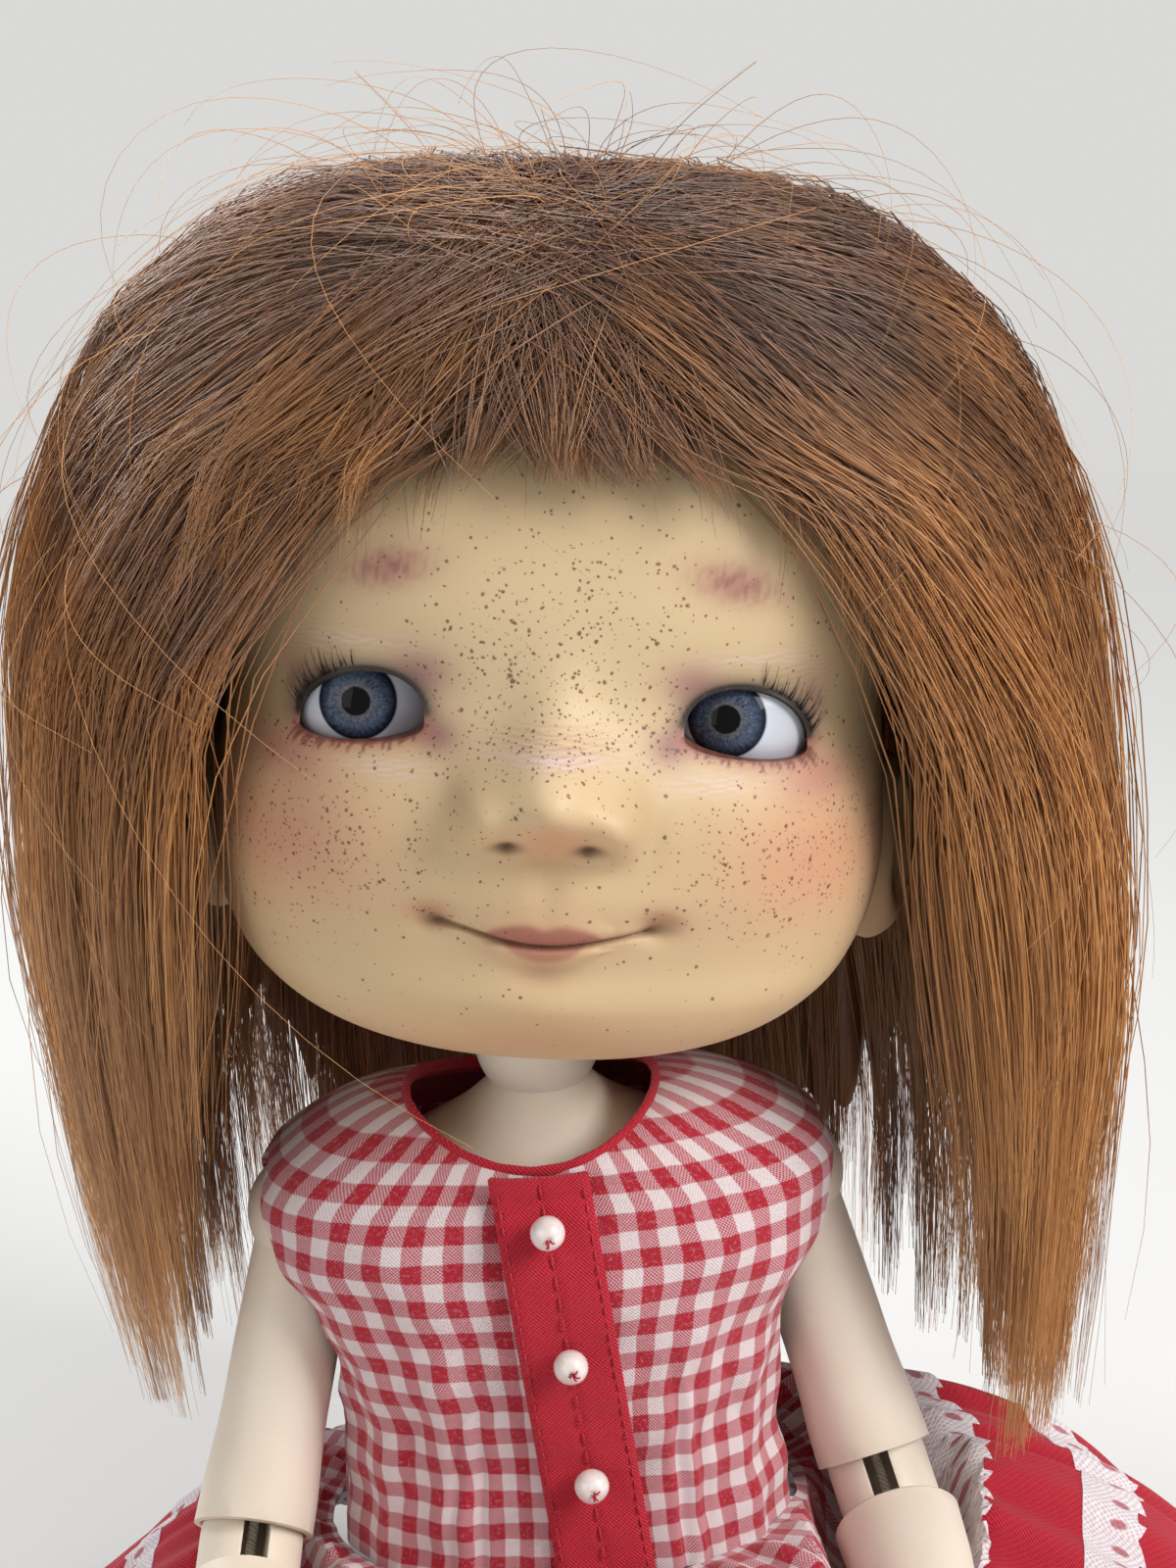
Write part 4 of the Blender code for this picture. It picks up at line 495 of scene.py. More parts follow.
def paint_face(points):
    """The colours brushed on the face: blush, brows, lips, lid lines and fine strokes, and painted shade beside and
    under the nose.
    """
    x, y, z = points.T
    front = ease(-y, 3, 10)
    mirror = np.abs(x)
    colour = np.tile((0.63, 0.465, 0.265), (len(x), 1))

    def brush(pigment, cover):
        nonlocal colour
        colour = paint_layer(colour, pigment, cover * front)

    brush((0.70, 0.56, 0.36), 0.5 * swell(x, z, 0, 4, 16, 10))
    brush((0.56, 0.21, 0.13), 0.62 * swell(mirror, z, 21.5, -12.5, 8.0, 6.0))
    brush((0.42, 0.11, 0.12), 0.55 * swell(mirror, z, 21.4, -5.6, 3.6, 2.2))
    brush((0.26, 0.085, 0.11), 0.78 * swell(mirror, z, 9.3, -3.2, 1.9, 1.6))
    brush((0.28, 0.11, 0.13), 0.70 * swell(mirror, z, 10.8, 1.6, 2.6, 2.1))
    brush((0.30, 0.12, 0.12), 0.50 * swell(mirror, z, 20.6, 0.4, 1.6, 2.4))
    brush((0.40, 0.18, 0.17), 0.40 * swell(mirror, z, 19.5, 3.2, 3.6, 1.6) * strokes(mirror, z, 3, 3.0, 0.5))
    brush((0.74, 0.60, 0.56), 0.55 * swell(mirror, z, 15.5, 3.9, 4.2, 0.7) * strokes(mirror, z, 4, 3.0, 0.4))
    brush((0.72, 0.58, 0.60), 0.65 * swell(mirror, z, 12.8, -6.0, 3.4, 0.9) * strokes(mirror, z, 5, 2.6, 0.35))
    lean = z - 10.0 + 0.16 * (mirror - 13.6)
    brush((0.34, 0.11, 0.11), 0.74 * np.exp(-(((mirror - 13.6) / 3.4) ** 2) - (lean / 1.75) ** 2))
    brush((0.20, 0.06, 0.06), 0.62 * np.exp(-(((mirror - 13.8) / 3.0) ** 2) - (lean / 1.3) ** 2) * strokes(lean, mirror, 6, 1.6, 0.42))
    brush((0.58, 0.24, 0.14), 0.55 * swell(x, z, 0.6, -10.4, 3.4, 2.1))
    brush((0.40, 0.20, 0.22), 0.62 * swell(x, z, 0, -3.0, 5.0, 1.6) * strokes(x, z, 7, 3.6, 0.42))
    brush((0.72, 0.58, 0.66), 0.85 * swell(x, z + 0.012 * x * x, 0.6, -3.9, 4.6, 0.55) * strokes(x, z, 8, 4.0, 0.34))
    # Painted shade: darker tones down the sides of the nose and under its tip
    brush((0.34, 0.20, 0.10), 0.30 * swell(mirror, z, 7.4, -8.6, 1.9, 3.6))
    brush((0.36, 0.20, 0.11), 0.34 * swell(x, z, 0, -12.7, 5.2, 1.1))
    brush((0.10, 0.05, 0.030), 0.88 * swell(mirror, z + 0.05 * (mirror - 3.2) ** 2, 3.3, -11.25, 1.25, 0.5))
    line = mouth_height(x)
    over = z - line
    brush((0.48, 0.20, 0.13), 0.45 * swell(x, z, 0, -18.6, 5.4, 2.4))
    brush((0.34, 0.11, 0.085), 0.88 * ease(over, -0.1, 0.1) * ease(2.35 * np.clip(1 - (x / 4.9) ** 2, 0, 1) ** 0.6 - over - 0.4 * np.exp(-((x / 0.9) ** 2)), -0.1, 0.75))
    brush((0.42, 0.15, 0.11), 0.72 * ease(-over, -0.1, 0.1) * ease(1.7 * np.clip(1 - (x / 3.4) ** 2, 0, 1) ** 0.6 + over, -0.1, 0.7))
    brush((0.12, 0.045, 0.03), 0.72 * np.exp(-((over / 0.2) ** 2)) * ease(9.0 - mirror, 0, 1.0))
    brush((0.38, 0.13, 0.09), 0.52 * swell(mirror, z, 9.4, -17.4, 2.0, 1.3))
    brush((0.10, 0.055, 0.035), 0.55 * swell(mirror, z, 8.8, -18.15, 1.1, 0.55))
    brush((0.40, 0.19, 0.13), 0.50 * swell(x, z, 0, -22.2, 2.2, 1.0))
    brush((0.56, 0.27, 0.14), 0.36 * swell(x, z, 0, -28.5, 10, 3.0))
    for side in (1, -1):
        outline = opening_outline(side)
        top = outline[2:31]
        low = np.concatenate([outline[33:64], outline[:1]])
        off, _ = line_distance(x, z, top)
        brush((0.10, 0.055, 0.06), 0.50 * np.exp(-((off / 1.35) ** 2)))
        brush((0.045, 0.028, 0.030), 0.72 * np.exp(-((off / 0.8) ** 2)))
        brush((0.010, 0.008, 0.009), 0.96 * ease(0.62 - off, 0, 0.3))
        off, _ = line_distance(x, z, low)
        brush((0.36, 0.10, 0.08), 0.55 * np.exp(-((off / 0.8) ** 2)))
        brush((0.16, 0.045, 0.035), 0.8 * ease(0.26 - off, 0, 0.2))
        rough = np.random.default_rng(5 + side)
        for i in range(17):
            t = i / 16
            root = low[int(round((1 - t if side > 0 else t) * (len(low) - 1) * 0.8 + (0.2 if side > 0 else 0) * (len(low) - 1)))]
            out = side * (0.9 - 1.0 * t) + rough.uniform(-0.15, 0.15)
            size = (1.7 - 1.0 * t) * rough.uniform(0.7, 1.1)
            tip = root + np.array((out * size * 0.8, -size * 0.8))
            off, along = line_distance(x, z, (root, (root + tip) / 2 + (0.12 * side, 0.0), tip))
            brush((0.16, 0.045, 0.035), 0.85 * ease(0.15 * (1 - along) + 0.09 - off, 0, 0.12))
    return np.concatenate([colour, np.ones((len(x), 1))], 1)


def freckle_cover(points):
    x, y, z = points.T
    mirror = np.abs(x)
    cover = 1.0 * swell(x, z, 1.5, 5.0, 8.5, 7.5) + 1.0 * swell(x, z, 0.5, -2.0, 10, 4.5)
    cover += 1.1 * swell(mirror, z, 19, -12.0, 8.5, 5.8) + 0.13 * ease(-y, 10, 20) * ease(z, -34, -14)
    cover *= 1 - 0.9 * swell(x, z, 0, -8.5, 5.0, 2.2)
    return cover * ease(-y, 2, 12)


def paint_points(piece):
    points = points_of(piece)
    colours = piece.data.color_attributes.new("paint", "FLOAT_COLOR", "POINT")
    colours.data.foreach_set("color", paint_face(points).astype(np.float32).reshape(-1))
    freckles = piece.data.attributes.new("freckles", "FLOAT", "POINT")
    freckles.data.foreach_set("value", freckle_cover(points).astype(np.float32))


def core_block(name, wall=4.5, floor=9.0):
    """The hollow of the head, with its thick floor, as a cutter."""
    rows = np.linspace(0.05, 0.95, 17) * math.pi
    a = 2 * np.pi * np.arange(32) / 32
    shares = smooth_table(HEAD_SHARES, -np.cos(rows))
    around = np.sin(rows)[:, None] ** 0.7
    x = (HALF_WIDTH * shares[:, :1] - wall) * around * signed_power(np.sin(a), 0.8)
    ahead = signed_power(np.cos(a), 0.8)
    reach = np.where(ahead > 0, FRONT * shares[:, 1:2], BACK * shares[:, 2:3]) - wall
    z = np.maximum((HALF_HEIGHT - wall) * -np.cos(rows)[:, None], floor - HALF_HEIGHT) + 0 * x
    first = np.argmax(z[:, 0] > floor - HALF_HEIGHT) - 1
    net = np.stack([x, -reach * around * ahead, z], -1)[first:]
    return closed_net(name, net)


def closed_net(name, net):
    """Rings of points, pulled from a grid, as one closed piece with its two end rings filled."""
    piece = choose(shaped_grid(name, net, True))
    bpy.ops.object.mode_set(mode="EDIT")
    bpy.ops.mesh.select_all(action="SELECT")
    bpy.ops.mesh.fill_holes(sides=0)
    bpy.ops.object.mode_set(mode="OBJECT")
    outward(piece)
    return piece


def ball(name, radius, centre, segments=32, rings=20):
    clear_choice()
    bpy.ops.mesh.primitive_uv_sphere_add(radius=radius, location=centre, segments=segments, ring_count=rings)
    piece = bpy.context.active_object
    bpy.ops.object.transform_apply(location=True, rotation=True, scale=True)
    piece.name = name
    return piece


def rod(name, radius, start, end, sides=24):
    start, end = Vector(start), Vector(end)
    clear_choice()
    bpy.ops.mesh.primitive_cylinder_add(radius=radius, depth=(end - start).length, vertices=sides)
    piece = bpy.context.active_object
    piece.name = name
    turn = (end - start).to_track_quat("Z", "Y").to_matrix().to_4x4()
    return place(piece, Matrix.Translation((start + end) / 2) @ turn)


def block(name, size, centre, turn=None):
    clear_choice()
    bpy.ops.mesh.primitive_cube_add(size=1)
    piece = bpy.context.active_object
    piece.name = name
    return place(piece, (turn or Matrix.Identity(4)) @ Matrix.Translation(centre) @ Matrix.Diagonal((*size, 1)))


def make_face():
    """The face, with its lids, nose, lips, ears, hollow, sockets and cap cut."""
    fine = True
    net = head_points(300 if fine else 190, 320 if fine else 200)
    face = closed_net("face", net)
    for side in (1, -1):
        ear = make_ear(side)
        cut_away(face, [ear], "UNION")
    turn = Matrix.Translation((0, 0, CUT_HEIGHT)) @ Matrix.Rotation(-CUT_ANGLE, 4, "X")
    cutters = [core_block("hollow"), block("above_cut", (120, 120, 60), (0, 0, 30 - 0.15), turn)]
    cutters.append(ball("neck_socket", 5.8, (0, 0, -HALF_HEIGHT)))
    cutters.append(rod("hook_hole", 2.2, (0, 0, -HALF_HEIGHT - 5), (0, 0, -10)))
    for side in (1, -1):
        cutters.append(ball("eye_socket", EYE_RADIUS + 0.3, (side * EYE_SIDE, -EYE_DEPTH, -EYE_DROP)))
        cutters.append(block_between("eye_opening", opening_outline(side), -EYE_DEPTH - 1.5, -60))
    cut_away(face, cutters)
    face.data.update()
    paint_points(face)
    place(face, HEAD)
    finish_with(face, face_resin(), 40)
    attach(face, "head")
    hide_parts("face_shell")


def make_ear(side):
    """A soft ear with a rolled rim and a hollow."""
    ear = ball("ear", 1.0, (0, 0, 0), 40, 28)
    points = points_of(ear) * (3.6, 4.9, 8.5)
    points[:, 1] *= 1 - 0.22 * ease(-points[:, 2], 0, 8.5)
    y, z = points[:, 1], points[:, 2]
    from_rim = np.hypot((y + 0.4) / 3.3, (z - 0.6) / 6.6)
    outside = ease(points[:, 0], 0.2, 1.5)
    points[:, 0] -= outside * (1.5 * (1 - ease(from_rim, 0.45, 0.95)) - 0.35 * np.exp(-(((from_rim - 1.12) / 0.2) ** 2)))
    points[:, 0] += outside * 0.7 * np.exp(-((y - 1.0) ** 2 / 0.9) - (z - 0.4) ** 2 / 9)
    points[:, 0] *= side
    set_points(ear, points)
    turn = Matrix.Rotation(side * math.radians(-18), 4, "Z")
    place(ear, Matrix.Translation((side * 28.6, 2.6, -15.5)) @ turn)
    outward(ear)
    return ear


def face_resin():
    look = Finish("face_resin", rough=0.5)
    where = look.place(HEAD, 1 / MM)
    fine = look.noise(where, 4.5, 3)
    colour = look.attribute("paint", "Color")
    spread = look.attribute("freckles")
    cloud = look.noise(where, 0.32, 2)
    spread = look.sum("MULTIPLY", spread, look.span(cloud, 0.38, 0.6, 0.45, 1.3))
    bend = look.add("ShaderNodeTexNoise", {"Vector": where, "Scale": 1.7, "Detail": 2.0}).outputs["Color"]
    bent = look.add("ShaderNodeVectorMath", {0: bend, 1: (0.35, 0.35, 0.35), 2: where}, operation="MULTIPLY_ADD").outputs[0]
    dots = None
    for scale, reach, share in ((2.1, 0.36, 0.95), (1.35, 0.30, 0.90), (0.80, 0.22, 0.60), (0.44, 0.145, 0.50)):
        cells = look.add("ShaderNodeTexVoronoi", {"Vector": bent, "Scale": scale, "Randomness": 1.0}, feature="F1")
        chance = look.parts(cells.outputs["Color"])[0]
        kept = look.sum("LESS_THAN", chance, look.sum("MULTIPLY", spread, share))
        size = look.span(look.parts(cells.outputs["Color"])[1], 0, 1, reach * 0.35, reach)
        near = look.span(cells.outputs["Distance"], size, look.sum("MULTIPLY", size, 0.55), 0, 1)
        dot = look.sum("MULTIPLY", kept, near)
        dots = dot if dots is None else look.sum("MAXIMUM", dots, dot)
    colour = look.mix(look.span(fine, 0.3, 0.7, 0.0, 0.06), colour, (0.42, 0.30, 0.16))
    shade = look.stops(cloud, (0.35, (0.22, 0.065, 0.035)), (0.65, (0.12, 0.04, 0.025)))
    colour = look.mix(look.sum("MULTIPLY", dots, 0.86), colour, shade)
    look.wear("Base Color", colour)
    look.wear("Roughness", look.span(fine, 0.3, 0.7, 0.46, 0.56))
    look.shader.inputs["Subsurface Weight"].default_value = 0.12
    look.shader.inputs["Subsurface Radius"].default_value = (1.0, 0.5, 0.25)
    look.shader.inputs["Subsurface Scale"].default_value = 0.0016
    look.shader.inputs["Specular IOR Level"].default_value = 0.38
    look.bump(look.noise(where, 9.0, 2), 0.00002, 0.25)
    return look.material


def eye_frame(side):
    look = Matrix.Rotation(-math.radians(9), 4, "Z") @ Matrix.Rotation(math.radians(90 - 2.5), 4, "X")
    return Matrix.Translation((side * EYE_SIDE, -EYE_DEPTH, -EYE_DROP)) @ look


def eye_glass(side):
    """A glass eye: a black pupil, a flecked grey blue iris with a dark rim, and a white."""
    look = Finish("eye_glass", rough=0.12, Coat_Weight=0.14, Coat_Roughness=0.015)
    look.shader.inputs["Specular IOR Level"].default_value = 0.06
    where = look.place(HEAD @ eye_frame(side), 1 / MM)
    x, y, z = look.parts(where)
    radius = look.sum("SQRT", look.sum("ADD", look.sum("MULTIPLY", x, x), look.sum("MULTIPLY", y, y)))
    round_ = look.sum("ARCTAN2", y, x)
    rays = look.noise(look.join(look.sum("MULTIPLY", round_, 5.0), look.sum("MULTIPLY", radius, 0.7)), 2.2, 4, 0.65)
    flecks = look.noise(where, 3.4, 4, 0.7)
    grain = look.span(look.sum("ADD", rays, flecks), 0.7, 1.3)
    iris = look.mix(grain, (0.006, 0.010, 0.026), (0.125, 0.165, 0.25))
    warm = look.span(radius, 1.15, 1.9, 0.75, 0)
    iris = look.mix(look.sum("MULTIPLY", warm, grain), iris, (0.20, 0.16, 0.11))
    iris = look.mix(look.span(radius, 2.25, 3.05, 0, 0.96), iris, (0.006, 0.009, 0.020))
    pupil = look.span(look.sum("ADD", radius, look.span(flecks, 0, 1, -0.12, 0.12)), 1.12, 1.26)
    iris = look.mix(pupil, (0.001, 0.001, 0.0012), iris)
    veins = look.noise(where, 0.9, 4, 0.6)
    white = look.mix(look.span(radius, 3.4, 6.6), (0.62, 0.66, 0.74), (0.52, 0.50, 0.55))
    white = look.mix(look.span(veins, 0.62, 0.75, 0, 0.2), white, (0.55, 0.36, 0.36))
    colour = look.mix(look.span(radius, 3.12, 3.28), iris, white)
    look.wear("Base Color", colour)
    look.wear("Roughness", look.span(radius, 3.1, 3.4, 0.1, 0.28))
    return look.material


def make_eyes():
    for name, side in SIDES:
        clear_choice()
        bpy.ops.mesh.primitive_uv_sphere_add(radius=EYE_RADIUS, segments=96, ring_count=72)
        eye = bpy.context.active_object
        eye.name = f"glass_eye_{name}"
        bpy.ops.object.mode_set(mode="EDIT")
        bpy.ops.mesh.select_all(action="SELECT")
        bpy.ops.mesh.bisect(plane_co=(0, 0, -1.0), plane_no=(0, 0, -1), clear_outer=True, use_fill=True)
        bpy.ops.object.mode_set(mode="OBJECT")
        points = points_of(eye)
        off = np.hypot(points[:, 0], points[:, 1])
        dome = np.clip(1 - (off / 3.35) ** 2, 0, 1) * (points[:, 2] > 0)
        points[:, 2] += 0.28 * dome**0.8
        set_points(eye, points)
        place(eye, HEAD @ eye_frame(side))
        finish_with(eye, eye_glass(side), 40)
        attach(eye, "head")
        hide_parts(f"eye_{name}")


def tapered_hairs(name, paths, radii, sides=3):
    """Many fine tapered hairs as one piece; paths is (hairs, points, 3)."""
    hairs, count, _ = paths.shape
    along = np.gradient(paths, axis=1)
    along /= np.maximum(np.linalg.norm(along, axis=-1, keepdims=True), 1e-9)
    across = np.cross(along, np.broadcast_to((0.31, 0.17, 0.93), along.shape))
    across /= np.maximum(np.linalg.norm(across, axis=-1, keepdims=True), 1e-9)
    third = np.cross(along, across)
    a = 2 * np.pi * np.arange(sides) / sides
    ring = across[:, :, None] * np.cos(a)[:, None] + third[:, :, None] * np.sin(a)[:, None]
    points = paths[:, :, None] + ring * radii[:, :, None, None]
    row, side = np.meshgrid(np.arange(count - 1), np.arange(sides), indexing="ij")
    beside = (side + 1) % sides
    one = np.stack([row * sides + side, row * sides + beside, (row + 1) * sides + beside, (row + 1) * sides + side], -1)
    faces = one.reshape(1, -1, 4) + (np.arange(hairs) * count * sides)[:, None, None]
    return skin(name, points, faces.reshape(-1, 4))


def make_lashes():
    """Short dark upper lashes on a thin strip, curved up from the lid's edge."""
    black = Finish("lash_black", (0.012, 0.009, 0.009), 0.55)
    grain = black.noise(black.place(scale=1 / MM), 3, 2)
    black.wear("Base Color", black.stops(grain, (0.3, (0.006, 0.005, 0.005)), (0.7, (0.022, 0.015, 0.013))))
    for name, side in SIDES:
        rough = np.random.default_rng(20 + side)
        outline = opening_outline(side)
        top = outline[1:32]
        count = 110
        t = np.sort(rough.uniform(0.02, 0.98, count))
        spots = np.stack([np.interp(t * 30, np.arange(31), top[:, i]) for i in (0, 1)], -1)
        off, up = spots[:, 0] - side * EYE_SIDE, spots[:, 1] + EYE_DROP
        deep = EYE_DEPTH + np.sqrt(np.clip(7.3**2 - off**2 - up**2, 1, None))
        root = np.stack([spots[:, 0], -deep, spots[:, 1] + 0.05], -1)
        fan = (spots[:, 0] - side * OPENING_SIDE) / OPENING_HALF
        outer = fan * side
        size = (1.35 + 0.85 * ease(outer, -0.6, 0.9)) * rough.uniform(0.40, 1.15, count)
        lean = fan * 0.75 + rough.normal(0, 0.16, count)
        way = np.stack([lean, np.full(count, -0.9), 0.35 + rough.normal(0, 0.1, count)], -1)
        way /= np.linalg.norm(way, axis=1, keepdims=True)
        s = np.linspace(0, 1, 6)[None, :, None]
        rise = np.stack([0 * s, 0 * s, s**2], -1)[..., 0, :]
        paths = root[:, None] + way[:, None] * s * size[:, None, None] + rise * (0.75 * size)[:, None, None]
        radii = np.maximum(0.062 * (1 - np.linspace(0, 1, 6)) ** 0.7, 0.012) * np.ones((count, 1))
        lashes = tapered_hairs(f"upper_lashes_{name}", paths, radii)
        strip_at = np.stack([np.interp(np.linspace(0.5, 29.5, 40), np.arange(31), top[:, i]) for i in (0, 1)], -1)
        off, up = strip_at[:, 0] - side * EYE_SIDE, strip_at[:, 1] + EYE_DROP
        deep = EYE_DEPTH + np.sqrt(np.clip(7.25**2 - off**2 - up**2, 1, None))
        strip = np.stack([strip_at[:, 0], -deep, strip_at[:, 1] - 0.1], -1)[None]
        band = tapered_hairs(f"lash_strip_{name}", strip, np.full((1, 40), 0.17), 6)
        for piece in (lashes, band):
            place(piece, HEAD)
            finish_with(piece, black.material, 60)
            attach(piece, "head")
        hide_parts(f"lashes_{name}")


# The wig, in millimetres about the head's middle

HAIR_HALF_WIDTH, HAIR_TOP, HAIR_BACK, HAIR_FRONT = 47.5, 42.8, 43.5, 36.5
# How far along the hair, its reach to the side, its height and its thickness
HAIR_SHARES = np.array(
    (
        (0.00, 0.02, 1.00, 4.0),
        (0.06, 0.28, 0.985, 4.0),
        (0.14, 0.54, 0.90, 4.0),
        (0.23, 0.76, 0.70, 4.0),
        (0.33, 0.90, 0.40, 4.4),
        (0.46, 0.97, 0.00, 8.8),
        (0.62, 1.00, -0.52, 9.6),
        (0.80, 0.97, -1.02, 7.0),
        (1.00, 0.90, -1.64, 5.0),
    )
)
WHORL = np.array((-0.018, 0.168))
HANG_START = 0.33


def hair_place(angle, share, layer):
    """A point in the hair: angle 0 in front, share 0 at the crown, layer 0 inside and 1 outside."""
    table = smooth_table(HAIR_SHARES, share)
    wide, high, thick = table[..., 0], table[..., 1], table[..., 2]
    across, ahead = np.sin(angle), np.cos(angle)
    slope = ease(share, 0, 0.3)
    x = HAIR_HALF_WIDTH * wide * across
    y = -np.where(ahead < 0, HAIR_BACK, HAIR_FRONT) * wide * ahead - 8 * (1 - slope)
    z = HAIR_TOP * high
    inward = (1 - layer) * thick
    flat = np.maximum(np.hypot(x, y), 1)
    sag = np.maximum(-z, 0)
    x = x - inward * x / flat * slope + sag * math.tan(math.radians(6))
    y = y - inward * y / flat * slope + sag * math.tan(math.radians(8))
    return np.stack([x, y, z - inward * (1 - slope)], -1)


def comb_locks(rough, count, points, low, high, locks, short=False, inside=False):
    """Strands combed from the whorl into locks; their angles lie between low and high degrees."""
    lock_angle = np.radians(rough.uniform(low, high, locks))
    lock_layer = rough.uniform(0.08, 1.0, locks) ** 0.8 + 0.45 * rough.uniform(0, 1, locks) * (rough.uniform(0, 1, locks) < 0.18)
    lock_end = rough.normal(0, 1, locks)
    lock_tone = rough.uniform(0, 1, locks)
    lock = rough.integers(0, locks, count)
    angle = lock_angle[lock]
    turn = np.abs(np.degrees(angle))
    spread = rough.normal(0, 1, count)
    layer = np.clip(lock_layer[lock] + rough.normal(0, 0.10, count), 0.0, 1.5)
    if inside:
        layer = -0.20 - 0.06 * layer
    if short:
        end = 0.292 + 0.17 * np.clip(turn / 50, 0, 1) ** 2.0 + 0.012 * lock_end[lock] + rough.normal(0, 0.012, count)
        end += 0.02 * (rough.uniform(0, 1, count) < 0.12)
    else:
        end = 0.93 + 0.045 * lock_end[lock] - 0.10 * rough.uniform(0, 1, count) ** 2.5 + 0.02 * (layer - 0.5)
        end = np.clip(end - 0.16 * ease(66 - turn, 0, 12), 0.5, 1.02)
    start = rough.uniform(0, 1, count) ** 1.7 * (0.42 if short else 0.62)
    p = np.linspace(0, 1, points)[None, :]
    reach = start[:, None] * HANG_START + (end[:, None] - start[:, None] * HANG_START) * p
    sweep = ease(118 - turn, 0, 44) * rough.uniform(0.4, 1.0, locks)[lock] * math.radians(42) * (not short)
    hang = angle[:, None] - np.sign(angle)[:, None] * sweep[:, None] * (1 - ease(reach, 0.22, 0.60))
    hang = hang + np.radians(3.6) * spread[:, None] * (1 - 0.72 * ease(p, 0.35, 1.0)) * (0.7 if short else 1)
    goal = HANG_START * np.stack([np.sin(hang), np.cos(hang)], -1)
    t = np.clip(reach / HANG_START, 0, 1)[..., None]
    root = WHORL + rough.normal(0, 0.022, (count, 1, 2))
    pull = root + (goal - root) * 0.5 + np.array((0.0, 0.035)) * ease(np.cos(hang), -0.4, 0.4)[..., None]
    chart = (1 - t) ** 2 * root + 2 * t * (1 - t) * pull + t**2 * goal
    chart_share = np.hypot(chart[..., 0], chart[..., 1])
    share = np.where(reach < HANG_START, chart_share, np.maximum(reach, chart_share))
    angle = np.arctan2(chart[..., 0], chart[..., 1])
    near_face = ease(80 - turn, 0, 22)[:, None] * ease(reach, 0.45, 0.58) * (not short)
    depth = layer[:, None] - near_face * 0.55 * rough.uniform(0, 1, (count, 1))
    depth = depth * ease(reach, 0.02, 0.2) + (0.4 + 0.55 * layer[:, None]) * (1 - ease(reach, 0.02, 0.2))
    path = hair_place(angle, np.clip(share, 0, 1.04), depth)
    phase = rough.uniform(0, 6.28, (count, 1, 3))
    lock_phase = rough.uniform(0, 6.28, (locks, 1, 3))[lock]
    wave = np.sin(5.0 * p[..., None] + lock_phase) * 0.9 + 0.35 * np.sin(9 * p[..., None] + phase)
    stray = 1 + 3.0 * (rough.uniform(0, 1, (count, 1, 1)) < 0.05)
    path += wave * np.array((0.8, 0.8, 0.25)) * (ease(p, 0.15, 0.9) * (0.4 if short else 1.0))[..., None] * stray
    fine = 0.062 if not short else 0.05
    radii = fine * (1 - 0.75 * ease(p, 0.6, 1.0)) * rough.uniform(0.75, 1.25, (count, 1)) * (1.45 - 0.45 * np.clip(layer, 0, 1))[:, None]
    along = np.clip(reach, 0, 1)
    tone = lock_tone[lock][:, None] * 0.6 + 0.4 * rough.uniform(0, 1, (count, 1)) + 0 * p
    # The third channel paints shade: inner layers and the inside locks are darkened as if in shade
    shade = (0.35 if inside else np.clip(layer, 0, 1)[:, None]) + 0 * p + 0 * along
    return path, radii, np.stack([along, tone, shade], -1)


def flyaways(rough, count, points):
    """Fine loose hairs that loop off the crown and drift from the sides."""
    p = np.linspace(0, 1, points)[None, :]
    angle = rough.uniform(-math.pi, math.pi, (count, 1))
    ahead = np.cos(angle) > 0.55
    start = rough.uniform(0.02, 0.42, (count, 1)) * np.where(ahead, 0.35, 1)
    length = rough.uniform(0.08, 0.34, (count, 1)) * np.where(ahead, 0.45, 1)
    drift = rough.normal(0, 0.55, (count, 1))
    share = np.clip(start + length * p, 0, 1)
    base = hair_place(angle + drift * p**1.3, share, np.ones_like(share))
    out = base - np.array((0, -4.0, 0))
    out /= np.linalg.norm(out, axis=-1, keepdims=True)
    rise = rough.gamma(2.2, 2.1, (count, 1)).clip(0.5, 10.0)
    lift = rise * np.sin(math.pi * np.clip(p * rough.uniform(0.55, 1.0, (count, 1)), 0, 1)) ** 0.9
    path = base + out * (lift - 0.6 * (1 - ease(p, 0, 0.1)))[..., None]
    path += np.sin(4 * p[..., None] + rough.uniform(0, 6.28, (count, 1, 3))) * (1.1 * ease(p, 0, 1))[..., None]
    radii = 0.040 * (1 - 0.6 * p) * np.ones((count, 1))
    tone = rough.uniform(0.4, 1, (count, 1)) + 0 * p
    return path, radii, np.stack([0.35 + 0.5 * p + 0 * tone, tone, np.ones_like(tone)], -1)


def hair_fibre():
    """Combed fibre: dark auburn at the roots, copper along it and gold in some locks, with painted shade deeper in the
    hair.
    """
    look = Finish("hair", rough=0.34, Sheen_Weight=0.15, Sheen_Roughness=0.35)
    look.shader.inputs["Sheen Tint"].default_value = (0.75, 0.70, 0.80, 1)
    look.shader.inputs["Specular IOR Level"].default_value = 0.75
    comb = look.parts(look.attribute("comb", "Vector"))
    along, tone, shade = comb[0], comb[1], comb[2]
    where = look.place(HEAD, 1 / MM)
    patch = look.noise(where, 0.055, 2)
    root = look.mix(tone, (0.050, 0.020, 0.010), (0.300, 0.140, 0.075))
    length = look.mix(tone, (0.150, 0.048, 0.013), (0.800, 0.370, 0.105))
    tip = look.mix(tone, (0.300, 0.115, 0.032), (0.880, 0.460, 0.150))
    here = look.sum("ADD", along, look.span(patch, 0.35, 0.65, -0.10, 0.10))
    colour = look.mix(look.span(here, 0.06, 0.46), root, length)
    colour = look.mix(look.span(here, 0.5, 0.95), colour, tip)
    # Painted shade: strands deep in the hair, and the wefts, are darkened towards near black
    colour = look.mix(look.span(shade, 0.0, 0.75, 0.62, 0), colour, (0.035, 0.015, 0.008))
    look.wear("Base Color", colour)
    look.wear("Roughness", look.span(tone, 0, 1, 0.28, 0.42))
    return look.material


